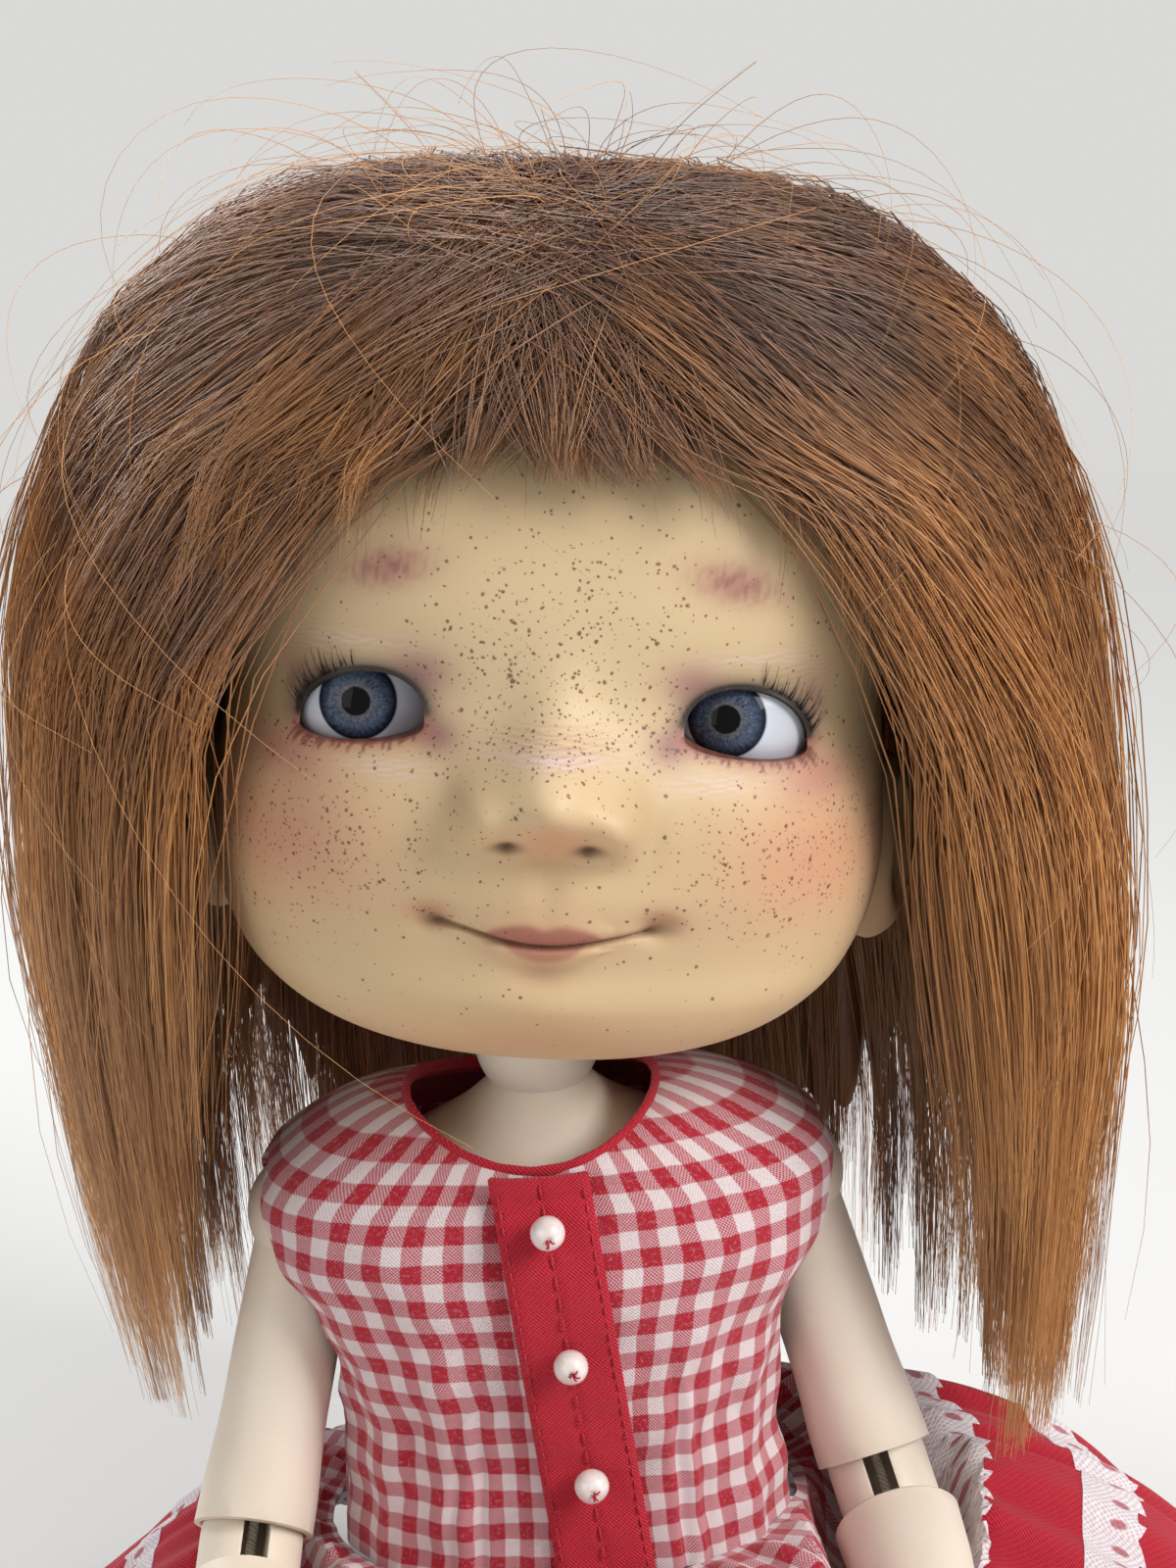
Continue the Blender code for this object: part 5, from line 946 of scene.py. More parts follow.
def finish_hair(piece, material, nodes=()):
    place(piece, HEAD)
    finish_with(piece, material)
    piece.data.shade_smooth()
    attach(piece, "wig")
    if nodes:
        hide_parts(*nodes)


def make_wefts(material):
    """The hair underneath, which the combed strands lie on, painted dark as shade."""
    spans = (
        ("under_crown", -180, 180, 0.0, 0.27, ("wig_crown",)),
        ("under_fringe", -58, 58, 0.22, 0.262, ("wig_fringe",)),
        ("under_left", 66, 112, 0.22, 0.72, ("wig_side_left",)),
        ("under_right", -112, -66, 0.22, 0.72, ("wig_side_right",)),
        ("under_back", 112, 248, 0.22, 0.85, ("wig_back",)),
    )
    for name, low, high, start, end, nodes in spans:
        closed = high - low == 360
        columns = max(int((high - low) * 1.4), 24)
        angle = np.radians(np.linspace(low, high, columns + closed))[: columns or None]
        if closed:
            angle = angle[:-1] if len(angle) > columns else angle
        rows = 40 if end > 0.5 else 16
        ragged = 1 + 0.02 * np.sin(37 * angle) + 0.02 * np.sin(61 * angle + 1)
        if end > 0.8:
            ragged -= 0.15 * ease(np.abs(np.sin(angle)), 0.55, 0.9)
        share = start + (end * ragged - start) * np.linspace(0.002, 1, rows)[:, None]
        layer = -0.12 + 0.10 * np.sin(46 * angle) * ease(share, 0.1, 0.4)
        net = hair_place(angle + 0 * share, share, layer)
        # The third channel, 0.12, paints the wefts dark as shade
        comb = np.stack([np.clip(share, 0, 1), 0.25 + 0.25 * np.sin(90 * angle) + 0 * share, 0.12 + 0 * share], -1)
        sheet = sheet_between(name, net, 0.5, closed, ("comb", comb))
        outward(sheet)
        finish_hair(sheet, material, nodes)


def make_wig():
    fibre = hair_fibre()
    part = 1.0
    batches = (
        ("fringe_hair", 2200, 9, -40, 44, 56, True),
        ("front_left_hair", 2600, 13, 56, 108, 64, False),
        ("front_right_hair", 2600, 13, -108, -51, 64, False),
        ("back_left_hair", 2000, 13, 100, 180, 60, False),
        ("back_right_hair", 2000, 13, -180, -100, 60, False),
        ("inner_left_hair", 1700, 9, 72, 180, 70, False),
        ("inner_right_hair", 1700, 9, -180, -72, 70, False),
    )
    rough = np.random.default_rng(11)
    for name, count, points, low, high, locks, short in batches:
        inside = name.startswith("inner")
        path, radii, comb = comb_locks(rough, int(count * part), points, low, high, locks, short, inside)
        hair = tapered_hairs(name, path, radii * (1.0 if part == 1 else 1.5))
        put_mark(hair, "comb", np.repeat(comb.reshape(-1, 3), 3, 0))
        finish_hair(hair, fibre)
    path, radii, comb = flyaways(rough, 240, 16)
    hair = tapered_hairs("flyaway_hair", path, radii)
    put_mark(hair, "comb", np.repeat(comb.reshape(-1, 3), 3, 0))
    finish_hair(hair, fibre)
    make_wefts(fibre)
    make_wig_cap()


def make_wig_cap():
    """The knitted cap that the hair is sewn to."""
    net = head_points(110, 120)
    middle = np.linalg.norm(net, axis=-1, keepdims=True)
    cap = closed_net("knit_cap", net * (1 + 1.75 / middle))
    skull = closed_net("skull", net * (1 + 1.15 / middle))
    turn = Matrix.Translation((0, 0, HAIR_TOP * 0.3)) @ Matrix.Rotation(-math.radians(38), 4, "X")
    below = block("below", (160, 160, 80), (0, 0, -40), turn)
    cut_away(cap, [skull, below])
    place(cap, HEAD)
    look = Finish("knit", rough=0.9)
    where = look.place(HEAD, 1 / MM)
    x, y, z = look.parts(where)
    around = look.sum("MULTIPLY", look.sum("ARCTAN2", x, y), 34.0)
    rows = look.sum("SINE", look.sum("MULTIPLY", z, 7.0))
    loops = look.sum("SINE", look.sum("MULTIPLY", around, 5.2))
    knit = look.sum("MULTIPLY", rows, loops)
    look.wear("Base Color", look.stops(look.span(knit, -1, 1), (0.2, (0.045, 0.022, 0.014)), (0.9, (0.13, 0.065, 0.04))))
    look.bump(knit, 0.0001, 0.6)
    finish_with(cap, look.material, 40)
    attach(cap, "wig")
    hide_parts("wig_cap")


# The body, each piece in millimetres about its own joint

CHEST_MM = CHEST @ Matrix.Scale(MM, 4)
WORLD_MM = Matrix.Scale(MM, 4)
UPPER_ARM_SHARES = ((0.24, 0.88), (0.42, 0.90), (0.65, 0.92), (0.84, 1.00))
FOREARM_SHARES = ((0.12, 1.00), (0.32, 0.96), (0.60, 0.80), (0.84, 0.64))
THIGH_SHARES = ((0.20, 1.00), (0.42, 0.97), (0.66, 0.88), (0.86, 0.86))
SHIN_SHARES = ((0.14, 0.98), (0.32, 1.00), (0.58, 0.82), (0.86, 0.62))
GAP, BORE, SLOT = 0.3, 1.9, 2.4


def body_resin():
    look = Finish("body_resin", rough=0.45)
    where = look.place(scale=1 / MM)
    cloud, fine = look.noise(where, 0.09, 2), look.noise(where, 6.0, 2)
    colour = look.stops(cloud, (0.3, (0.80, 0.70, 0.57)), (0.7, (0.86, 0.77, 0.66)))
    look.wear("Base Color", look.mix(look.span(fine, 0.35, 0.65, 0, 0.08), colour, (0.66, 0.52, 0.40)))
    look.wear("Roughness", look.span(fine, 0.3, 0.7, 0.40, 0.52))
    look.shader.inputs["Subsurface Weight"].default_value = 0.15
    look.shader.inputs["Subsurface Radius"].default_value = (1.0, 0.6, 0.35)
    look.shader.inputs["Subsurface Scale"].default_value = 0.0018
    look.bump(fine, 0.00002, 0.2)
    return look.material


def round_net(rows, sides=56):
    """Rings about Z from rows of radius, height and tilt."""
    rows = np.array(rows, float)
    a = 2 * np.pi * np.arange(sides) / sides
    x = rows[:, :1] * np.cos(a)
    y = rows[:, :1] * np.sin(a)
    return np.stack([x, y, rows[:, 1:2] + rows[:, 2:3] * y], -1)


def boxed_net(rows, power, sides=72):
    """Rounded box rings about Z from rows of half width, half depth and height."""
    rows = np.array(rows, float)
    a = 2 * np.pi * np.arange(sides) / sides
    x = rows[:, :1] * signed_power(np.sin(a), 2 / power)
    y = -rows[:, 1:2] * signed_power(np.cos(a), 2 / power)
    return np.stack([x, y, rows[:, 2:3] + 0 * x], -1)


def ball_rows(radius, first, last, count, centre=0.0):
    angles = np.linspace(first, last, count)
    return [(radius * math.sin(a), centre + radius * math.cos(a), 0) for a in angles]


def finish_limb(piece, place_at, material, body, node):
    modify(piece, "BEVEL", width=0.22, segments=2, limit_method="ANGLE", angle_limit=math.radians(50))
    place(piece, place_at)
    finish_with(piece, material, 35)
    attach(piece, body)
    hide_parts(node)


def first_limb(name, length, girth, shares, top_ball, end_ball, bend, side):
    table = np.array(shares)
    rows = ball_rows(top_ball, 0.1, math.pi - math.asin(min(girth * table[0, 1] * 0.98 / top_ball, 1)), 18)
    for t in np.linspace(table[0, 0], table[-1, 0], 16):
        rows.append((girth * float(smooth_table(table, np.array(t))[0]), -length * t, 0))
    cup = end_ball + GAP
    rows.append((cup * 1.09, -length + end_ball * 0.2, bend * 0.46))
    piece = closed_net(name, round_net(rows))
    low, high = sorted((side * BORE / 4, -side * 20))
    cutters = [
        ball("cup", cup, (0, 0, -length)),
        rod("bore", BORE, (0, 0, top_ball + 9), (0, 0, -length - 9)),
        block("ball_slot", (high - low, SLOT, 20 + BORE), ((high + low) / 2, 0, 10 - BORE / 2)),
    ]
    return cut_away(piece, cutters)


def middle_joint(name, radius, spacing, bend):
    rows = ball_rows(radius, 0.1, math.pi / 2, 12) + ball_rows(radius, math.pi / 2, math.pi - 0.1, 12, -spacing)
    piece = closed_net(name, round_net(rows))
    low, high = sorted((-BORE * bend, radius * 1.5 * bend))
    size = (SLOT, high - low, 4 * radius + spacing)
    slot = block("slot", size, (0, (high + low) / 2, -spacing / 2))
    return cut_away(piece, [slot])


def second_limb(name, length, girth, shares, top_ball, end_ball, bend):
    tilt, top = -bend * 0.46, top_ball * 0.2
    table = np.array(shares)
    rows = [(girth * 0.93, -top + 0.1, tilt), (girth * 0.98, -top - girth * 0.04, tilt * 0.97), (girth * 1.02, -top - girth * 0.12, tilt * 0.9)]
    for t in np.linspace(table[0, 0], table[-1, 0], 18):
        rows.append((girth * float(smooth_table(table, np.array(t))[0]), -length * t - top, tilt * (0.5 - t)))
    end = max(girth * table[-1, 1] * 0.98, end_ball + GAP)
    rows.append((end, -length + end_ball * 0.25, 0))
    piece = closed_net(name, round_net(rows))
    cutters = [
        ball("top_cup", top_ball + GAP, (0, 0, 0)),
        ball("end_cup", end_ball + GAP, (0, 0, -length)),
        rod("bore", BORE, (0, 0, 20), (0, 0, -length - 20)),
    ]
    return cut_away(piece, cutters)


def finger(points, radii):
    """A jointed finger or toe as a rounded tube of rings."""
    points, radii = np.array(points, float), np.array(radii, float)
    t = np.linspace(0, 1, len(points))
    fine = np.linspace(0, 1, 14)
    path = np.stack([np.interp(fine, t, points[:, i]) for i in range(3)], -1)[None]
    radius = np.interp(fine, t, radii)[None] * np.sqrt(np.clip(1 - np.clip((fine - 0.86) / 0.14, 0, 1) ** 2, 0.03, 1))
    return round_end_tube(path, radius)


def round_end_tube(path, radius):
    hairs, count, _ = path.shape
    along = np.gradient(path, axis=1)
    along /= np.linalg.norm(along, axis=-1, keepdims=True)
    across = np.cross(along, np.broadcast_to((1.0, 0.1, 0.0), along.shape))
    across /= np.linalg.norm(across, axis=-1, keepdims=True)
    third = np.cross(along, across)
    a = 2 * np.pi * np.arange(16) / 16
    ring = across[..., None, :] * np.cos(a)[:, None] + third[..., None, :] * np.sin(a)[:, None]
    net = path[..., None, :] + ring * radius[..., None, None]
    return closed_net("digit", net[0])


def soften(piece, voxel, rounds):
    modify(piece, "REMESH", mode="VOXEL", voxel_size=voxel)
    return modify(piece, "SMOOTH", factor=0.5, iterations=rounds)


def join_all(piece, others):
    choose(piece)
    for other in others:
        other.select_set(True)
    bpy.ops.object.join()
    return piece


def make_hand(name, side):
    rows = ball_rows(3.0, 0.12, math.pi - math.asin(0.72), 12)
    net = [ring for ring in round_net(rows, 40)]
    a = 2 * np.pi * np.arange(40) / 40
    table = np.array(((0.10, 0.66, 1.1), (0.45, 1.0, 1.0), (0.8, 1.0, 0.85), (1.0, 0.86, 0.6)))
    for t in np.linspace(0.12, 1, 14):
        wide, thick = smooth_table(table, np.array(t))
        x = np.cos(a) * 1.6 * thick + side * 0.35 * np.sin(math.pi * t)
        net.append(np.stack([x, np.sin(a) * 3.6 * wide, 0 * a - 3.0 - 8.5 * t], -1))
    hand = closed_net(f"resin_hand_{name}", np.array(net))
    knuckle = -3.0 - 8.5 * 0.86
    digits = []
    for i, share in enumerate((0.82, 1.0, 0.95, 0.72)):
        across, length = 7.2 * (i - 1.5) * 0.255, 6.8 * share
        curl = -side * 6.8 * 0.18
        points = [(0, across, knuckle + 1.6), (0, across, knuckle), (curl * 0.3, across * 1.06, knuckle - length * 0.55), (curl, across * 1.1, knuckle - length * 0.9), (curl * 1.15, across * 1.12, knuckle - length)]
        digits.append(finger(points, (0.95, 0.93, 0.9, 0.82, 0.7)))
    root = (0, -7.2 * 0.26, knuckle + 8.5 * 0.62)
    tip = (-side * 3.2 * 0.6, -7.2 * 0.78, knuckle + 8.5 * 0.05)
    middle = [(a + b) / 2 for a, b in zip(root, tip)]
    digits.append(finger([root, (middle[0], middle[1] - 0.5, middle[2]), tip], (1.3, 1.1, 0.85)))
    soften(join_all(hand, digits), 0.24, 5)
    bore = 1.2 + 0.35 + GAP
    cut_away(hand, [rod("hook_bore", bore, (0, 0, 20), (0, 0, -3.0 * 0.92))])
    return join_all(hand, [rod("hook_bar", 0.48, (-(bore + 3) / 2, 0, -1.0), ((bore + 3) / 2, 0, -1.0))])


def make_foot(name):
    along_table = np.array(((-1.00, 0.50, 0.42), (-0.86, 0.72, 0.62), (-0.4, 0.80, 0.86), (0.10, 0.78, 0.84), (0.45, 0.92, 0.62), (0.75, 1.00, 0.44), (0.90, 0.92, 0.34)))
    a = 2 * np.pi * (np.arange(40) + 0.5) / 40
    net = []
    for along in np.linspace(-1, 0.86, 30):
        wide, tall = smooth_table(along_table, np.array(along))
        y = -along * 18.8 if along > 0 else -along * 6.2
        x = 5.25 * wide * signed_power(np.cos(a), 0.8)
        z = 8.0 * tall * (signed_power(np.sin(a), 0.8) + 1) / 2
        arch = 0.7 * ease(along, -0.3, 0.1) * (1 - ease(along, 0.2, 0.55))
        net.append(np.stack([x, y + 0 * x, -8.0 + np.maximum(z, arch)], -1))
    foot = closed_net(f"resin_foot_{name}", np.array(net))
    inner = -1 if name == "left" else 1
    toes = []
    for i, (across, radius, reach) in enumerate(((-3.4, 1.5, 18.8), (-1.1, 1.1, 18.9), (0.7, 1.0, 18.3), (2.3, 0.95, 17.4), (3.7, 0.85, 16.2))):
        x = -inner * across
        toes.append(finger([(x * 0.9, -12.0, -8.0 + radius * 1.25), (x, -15.0, -8.0 + radius * 1.35), (x, -reach, -8.0 + radius)], (radius * 0.9, radius, radius)))
    toes.append(ball("ankle_ball", 3.8, (0, 0, 0)))
    soften(join_all(foot, toes), 0.3, 4)
    points = points_of(foot)
    points[:, 2] = np.maximum(points[:, 2], -8.0)
    set_points(foot, points)
    bore = 1.2 + 0.35 + GAP
    cut_away(foot, [rod("hook_bore", bore, (0, 0, 20), (0, 0, -3.8 * 0.92))])
    return join_all(foot, [rod("hook_bar", 0.48, (-(bore + 3.8) / 2, 0, -1.0), ((bore + 3.8) / 2, 0, -1.0))])


def make_chest():
    table = np.array(((0.05, 0.785, 0.91), (0.20, 0.79, 0.90), (0.41, 0.84, 0.95), (0.58, 0.90, 1.00), (0.71, 0.95, 0.95), (0.81, 0.88, 0.83), (0.885, 0.70, 0.70), (0.945, 0.44, 0.56), (1.00, 0.29, 0.42)))
    rows = []
    for up in np.linspace(0.05, 1.0, 44):
        wide, deep = smooth_table(table, np.array(up))
        rows.append((17.2 * wide, 12.0 * deep, 37.5 * up))
    net = boxed_net(rows, 2.3)
    start = math.asin(4.6 * 0.95 / 5.5)
    neck = [(5.5 * math.sin(a), 5.5 * math.sin(a), 41.6 + 5.5 * math.cos(a)) for a in np.linspace(math.pi - start, 0.1, 18)]
    chest = closed_net("resin_chest", np.concatenate([net, boxed_net(neck, 2.0)]))
    cutters = [
        ball("waist_cup", 10.2 + GAP, (0, 0, 0)),
        rod("arm_channel", 2.2, (-40, 0, 27), (40, 0, 27)),
        rod("body_channel", 3.1, (0, 0, 0), (0, 0, 41.6 - 5.5 * 0.28)),
        block("hook_slot", (3.4, 7.2, 17), (0, 0, 41.6 - 0.3)),
    ]
    cutters += [ball("arm_socket", 5.6 + GAP, (side * 21.1, 0, 27)) for side in (1, -1)]
    return cut_away(chest, cutters)


def make_pelvis():
    base = 24.0 - 4.6
    table = np.array(((0, 0.86, 0.9), (0.12, 0.98, 1), (0.6, 1, 1), (1, 0.84, 0.9)))
    rows = []
    for up in np.linspace(0, 1, 20):
        wide, deep = smooth_table(table, np.array(up))
        rows.append((16.5 * wide, 12.5 * deep, base * up))
    start = math.asin(4.6 / 10.2)
    top = [(10.2 * math.cos(a), 10.2 * math.cos(a), 24 + 10.2 * math.sin(a)) for a in np.linspace(-start, math.radians(82), 20)]
    pelvis = closed_net("resin_pelvis", np.concatenate([boxed_net(rows, 2.6), boxed_net(top, 2.0)]))
    cutters = []
    room = 8.6 + 2 * GAP
    for side in (1, -1):
        far = 32.5
        profile = [(-far, -20), (-far, 9.7 + room)]
        profile += [(room * math.cos(a) - 3, 9.7 + room * math.sin(a)) for a in np.linspace(math.pi / 2, 0, 20)]
        profile.append((room - 3, -20))
        near, wide = sorted((side * (12 - room), side * (12 + room + 20)))
        net = np.array([[(x, y, z) for y, z in profile] for x in (near, wide)])
        cutters.append(closed_net("leg_room", net))
    cutters.append(rod("hip_channel", 2.2, (-40, -3, 9.7), (40, -3, 9.7)))
    rings = [(2.31, 9.7, 0), (2.42, 24, 0), (4.84, 36.24, 0)]
    channel = round_net(rings, 32)
    channel[0, :, 1] -= 3
    cutters.append(closed_net("body_channel", channel))
    return cut_away(pelvis, cutters)


def make_body():
    resin = body_resin()
    finish_limb(make_chest(), CHEST_MM, resin, "torso", "chest")
    finish_limb(make_pelvis(), WORLD_MM, resin, "pelvis", "pelvis")
    scale = Matrix.Scale(MM, 4)
    for name, side in SIDES:
        shoulder = limb_frame(f"shoulder_{name}", f"elbow_upper_{name}") @ scale
        elbow = limb_frame(f"elbow_upper_{name}", f"elbow_lower_{name}") @ scale
        forearm = limb_frame(f"elbow_lower_{name}", f"wrist_{name}") @ scale
        wrist = forearm @ Matrix.Translation((0, 0, -24))
        arm = first_limb(f"resin_upper_arm_{name}", 30.2, 5.2, UPPER_ARM_SHARES, 5.6, 4.6, -1, side)
        finish_limb(arm, shoulder, resin, f"upper_arm_{name}", f"upper_arm_{name}")
        finish_limb(middle_joint(f"resin_elbow_{name}", 4.6, 5.0, -1), elbow, resin, f"elbow_{name}", f"elbow_{name}")
        lower = second_limb(f"resin_forearm_{name}", 24.0, 5.7, FOREARM_SHARES, 4.6, 3.0, -1)
        finish_limb(lower, forearm, resin, f"forearm_{name}", f"forearm_{name}")
        finish_limb(make_hand(name, side), wrist, resin, f"hand_{name}", f"hand_{name}")
        hip = limb_frame(f"hip_{name}", f"knee_upper_{name}") @ scale
        knee = limb_frame(f"knee_upper_{name}", f"knee_lower_{name}") @ scale
        shin = limb_frame(f"knee_lower_{name}", f"ankle_{name}") @ scale
        ankle = shin @ Matrix.Translation((0, 0, -36))
        thigh = first_limb(f"resin_thigh_{name}", 40.0, 8.6, THIGH_SHARES, 7.6, 6.2, 1, side)
        finish_limb(thigh, hip, resin, f"thigh_{name}", f"thigh_{name}")
        finish_limb(middle_joint(f"resin_knee_{name}", 6.2, 6.5, 1), knee, resin, f"knee_{name}", f"knee_{name}")
        calf = second_limb(f"resin_shin_{name}", 36.0, 7.2, SHIN_SHARES, 6.2, 3.8, 1)
        finish_limb(calf, shin, resin, f"shin_{name}", f"shin_{name}")
        finish_limb(make_foot(name), ankle, resin, f"foot_{name}", f"foot_{name}")


def make_elastics():
    """The braided cord through each limb, in a length for each body that it runs through."""
    look = Finish("elastic", rough=0.75)
    where = look.place(scale=1 / MM)
    x, y, z = look.parts(where)
    braid = look.sum("SINE", look.sum("MULTIPLY", look.sum("ADD", look.sum("ADD", x, y), look.sum("MULTIPLY", z, 1.4)), 9.0))
    look.wear("Base Color", look.stops(look.span(braid, -1, 1), (0.2, (0.62, 0.61, 0.57)), (0.8, (0.84, 0.83, 0.80))))
    look.bump(braid, 0.00008, 0.6)

    def length_of(name, body, points, nodes=()):
        path = np.array([tuple(p) for p in points])[None]
        cord = tapered_hairs(name, path, np.full(path.shape[:2], 0.45 * MM), 10)
        finish_with(cord, look.material, 60)
        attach(cord, body)
        if nodes:
            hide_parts(*nodes)

    def between(first, last, pieces=6):
        return [first.lerp(last, i / pieces) for i in range(pieces + 1)]

    shoulders = [joint_at(f"shoulder_{name}") for name, _ in SIDES]
    length_of("elastic_across_chest", "torso", between(*shoulders), ("arm_elastic",))
    x, deep = 0.86 * MM, -1.9 * MM
    for name, side in SIDES:
        spots = [joint_at(f"{joint}_{name}") for joint in ("shoulder", "elbow_upper", "elbow_lower", "wrist")]
        for body, first, last in zip(("upper_arm", "elbow", "forearm"), spots, spots[1:]):
            stop = first.lerp(last, 0.9) if body == "forearm" else last
            length_of(f"elastic_{body}_{name}", f"{body}_{name}", between(first, stop))
        spots = [joint_at(f"{joint}_{name}") for joint in ("hip", "knee_upper", "knee_lower", "ankle")]
        for body, first, last in zip(("thigh", "knee", "shin"), spots, spots[1:]):
            stop = first.lerp(last, 0.92) if body == "shin" else last
            length_of(f"elastic_{body}_{name}", f"{body}_{name}", between(first, stop))
        waist = Vector((side * x, 0, joint_at("waist_bend").z))
        inside = Vector((side * x, joint_at(f"hip_{name}").y, joint_at(f"hip_{name}").z))
        line = [spots[0], inside, inside.lerp(waist, 0.5), waist]
        length_of(f"elastic_hip_{name}", "pelvis", line, ("leg_elastic",) if side > 0 else ())
        start = waist
        line = [start, CHEST @ Vector((side * x, deep, 0.0102)), CHEST @ Vector((side * x, deep, 0.029))]
        line.append(NECK @ Vector((side * 1.3 * MM, 0, -5.6 * MM)))
        length_of(f"elastic_chest_{name}", "torso", line)


# The dress, in millimetres about the waist; the skirt is about the model's own middle

BODICE_SHARES = np.array(
    (
        (0.00, 0.775, 0.985, 0.93),
        (0.19, 0.750, 0.95, 0.90),
        (0.38, 0.775, 0.98, 0.93),
        (0.53, 0.870, 1.01, 0.97),
        (0.66, 0.985, 1.00, 0.97),
        (0.76, 1.000, 0.93, 0.92),
        (0.845, 0.920, 0.82, 0.84),
    )
)
BODICE_WIDTH, BODICE_DEPTH, BODICE_DROP, BODICE_TOP = 25.8, 15.2, 4.0, 41.0
NECKLINE_SHARE = 0.82
CLOTH = 0.55
CHECK = 3.175


def neckline(angle, inward=0.0):
    x = (11.2 - inward) * np.sin(angle) - 0.9
    y = -(9.8 - inward) * np.cos(angle) - 3.0
    z = 34.5 + 3.1 * np.sin(angle) ** 2 + 2.6 * (1 - np.cos(angle)) / 2
    return np.stack([x, y, z], -1)


def bodice_net(rows, columns, wall=0.0, first=0.0, last=1.0):
    share = np.linspace(first, last, rows)[:, None]
    a = (2 * np.pi * np.arange(columns) / columns)[None]
    low = np.minimum(share, NECKLINE_SHARE)
    table = smooth_table(BODICE_SHARES, low[:, 0])
    wide, front, back = (table[:, i][:, None] for i in range(3))
    x = (BODICE_WIDTH * wide - wall) * signed_power(np.sin(a), 0.8)
    reach = np.where(np.cos(a) > 0, BODICE_DEPTH * front, BODICE_DEPTH * back) - wall
    y = -reach * signed_power(np.cos(a), 0.8)
    z = -BODICE_DROP + (BODICE_TOP + BODICE_DROP) * low + 0 * x
    net = np.stack([x, y, z], -1)
    pleat = 0.6 * (1 - ease(share, 0.3, 0.85)) * (1 + np.cos(14 * a)) / 2
    crease = 0.0
    for side, lean, deep in ((-7.8, 0.05, 0.55), (-9.6, 0.10, 0.40), (9.4, -0.02, 0.55), (11.2, -0.06, 0.40), (-13.5, 0.22, 0.28), (15.0, -0.2, 0.28)):
        off = (x - side - lean * (z - 10)) / 0.55
        crease = crease - deep * np.exp(-(off**2)) * (1 - ease(z, 8, 24)) * (y < 0)
    slack = 0.22 * np.sin(0.55 * z + 0.25 * x) * np.sin(0.21 * x + 1.0) + 0.16 * np.sin(0.9 * z - 0.4 * x + 2)
    grow = 1 + (pleat + crease + slack * ease(share, 0, 0.1)) / np.maximum(np.hypot(x, y), 1)
    net[..., :2] *= grow[..., None]
    edge = neckline(a) - np.array((0, 0, wall))
    near = ((share - low) / (1 - NECKLINE_SHARE))[..., None]
    out = net * (1 - near) + edge * near
    out[..., 2] += ((edge[..., 2] - z) * (near * (1 - near))[..., 0]) * 0.9
    return out


def bodice_front(x, height):
    share = np.minimum((height + BODICE_DROP) / (BODICE_TOP + BODICE_DROP), NECKLINE_SHARE)
    table = smooth_table(BODICE_SHARES, share)
    inner = np.clip(1 - (np.abs(x) / (BODICE_WIDTH * table[..., 0])) ** 2.5, 0, 1)
    return -BODICE_DEPTH * table[..., 1] * inner**0.4 - 0.6


def wrap_length(points):
    """How far round the bodice a point is from the middle of the front, as the cloth is laid."""
    fine = np.linspace(-math.pi, math.pi, 2001)
    ring_x, ring_y = 23.5 * signed_power(np.sin(fine), 0.8), 14.5 * signed_power(np.cos(fine), 0.8)
    length = np.cumsum(np.hypot(np.gradient(ring_x), np.gradient(ring_y)))
    length -= length[1000]
    wide = np.interp(points[:, 2], (-4, 4, 13, 20, 26, 31, 36), (20, 19.4, 20, 22.4, 25.3, 25.8, 21.5))
    across = signed_power(np.clip(points[:, 0] / wide, -1, 1), 1.25)
    ahead = signed_power(np.clip(-points[:, 1] / 15.0, -1, 1), 1.25)
    return np.interp(np.arctan2(across, ahead), fine, length)


def weave_mark(piece, along):
    put_mark(piece, "weave", along)


def gingham(look_name="gingham"):
    """Red and white checks woven from coloured thread, with a fine plain weave."""
    look = Finish(look_name, rough=0.88, Sheen_Weight=0.25, Sheen_Roughness=0.5)
    look.shader.inputs["Specular IOR Level"].default_value = 0.25
    cloth = look.attribute("weave", "Vector")
    wobble = look.add("ShaderNodeTexNoise", {"Vector": cloth, "Scale": 0.55, "Detail": 2.0}).outputs["Color"]
    bent = look.add("ShaderNodeVectorMath", {0: wobble, 1: (0.30, 0.30, 0.0), 2: cloth}, operation="MULTIPLY_ADD").outputs[0]
    u, v, _ = look.parts(bent)

    def stripe(value):
        wave = look.sum("PINGPONG", value, CHECK / 2)
        return look.span(wave, CHECK / 4 - 0.06, CHECK / 4 + 0.06)

    def thread(value):
        return look.sum("SINE", look.sum("MULTIPLY", value, 2 * math.pi / 0.30))

    warp, weft = stripe(u), stripe(v)
    over = look.span(look.sum("MULTIPLY", thread(u), thread(v)), -0.35, 0.35)
    fuzz = look.noise(cloth, 2.6, 4, 0.7)
    red, white = (0.40, 0.012, 0.030), (0.74, 0.64, 0.65)
    fleck = look.span(fuzz, 0.52, 0.72, 0, 0.34)
    first = look.mix(warp, white, red)
    second = look.mix(weft, white, red)
    colour = look.mix(over, first, second)
    one = look.sum("ABSOLUTE", look.sum("SUBTRACT", warp, weft))
    colour = look.mix(look.sum("MULTIPLY", one, 0.42), colour, (0.50, 0.10, 0.14))
    both = look.sum("MULTIPLY", warp, weft)
    colour = look.mix(look.sum("MULTIPLY", both, 0.7), colour, (0.42, 0.010, 0.028))
    colour = look.mix(fleck, colour, (0.72, 0.52, 0.52))
    look.wear("Base Color", colour)
    height = look.sum("ADD", look.sum("MULTIPLY", thread(u), thread(v)), look.sum("MULTIPLY", fuzz, 1.5))
    look.bump(height, 0.00006, 0.55)
    return look.material


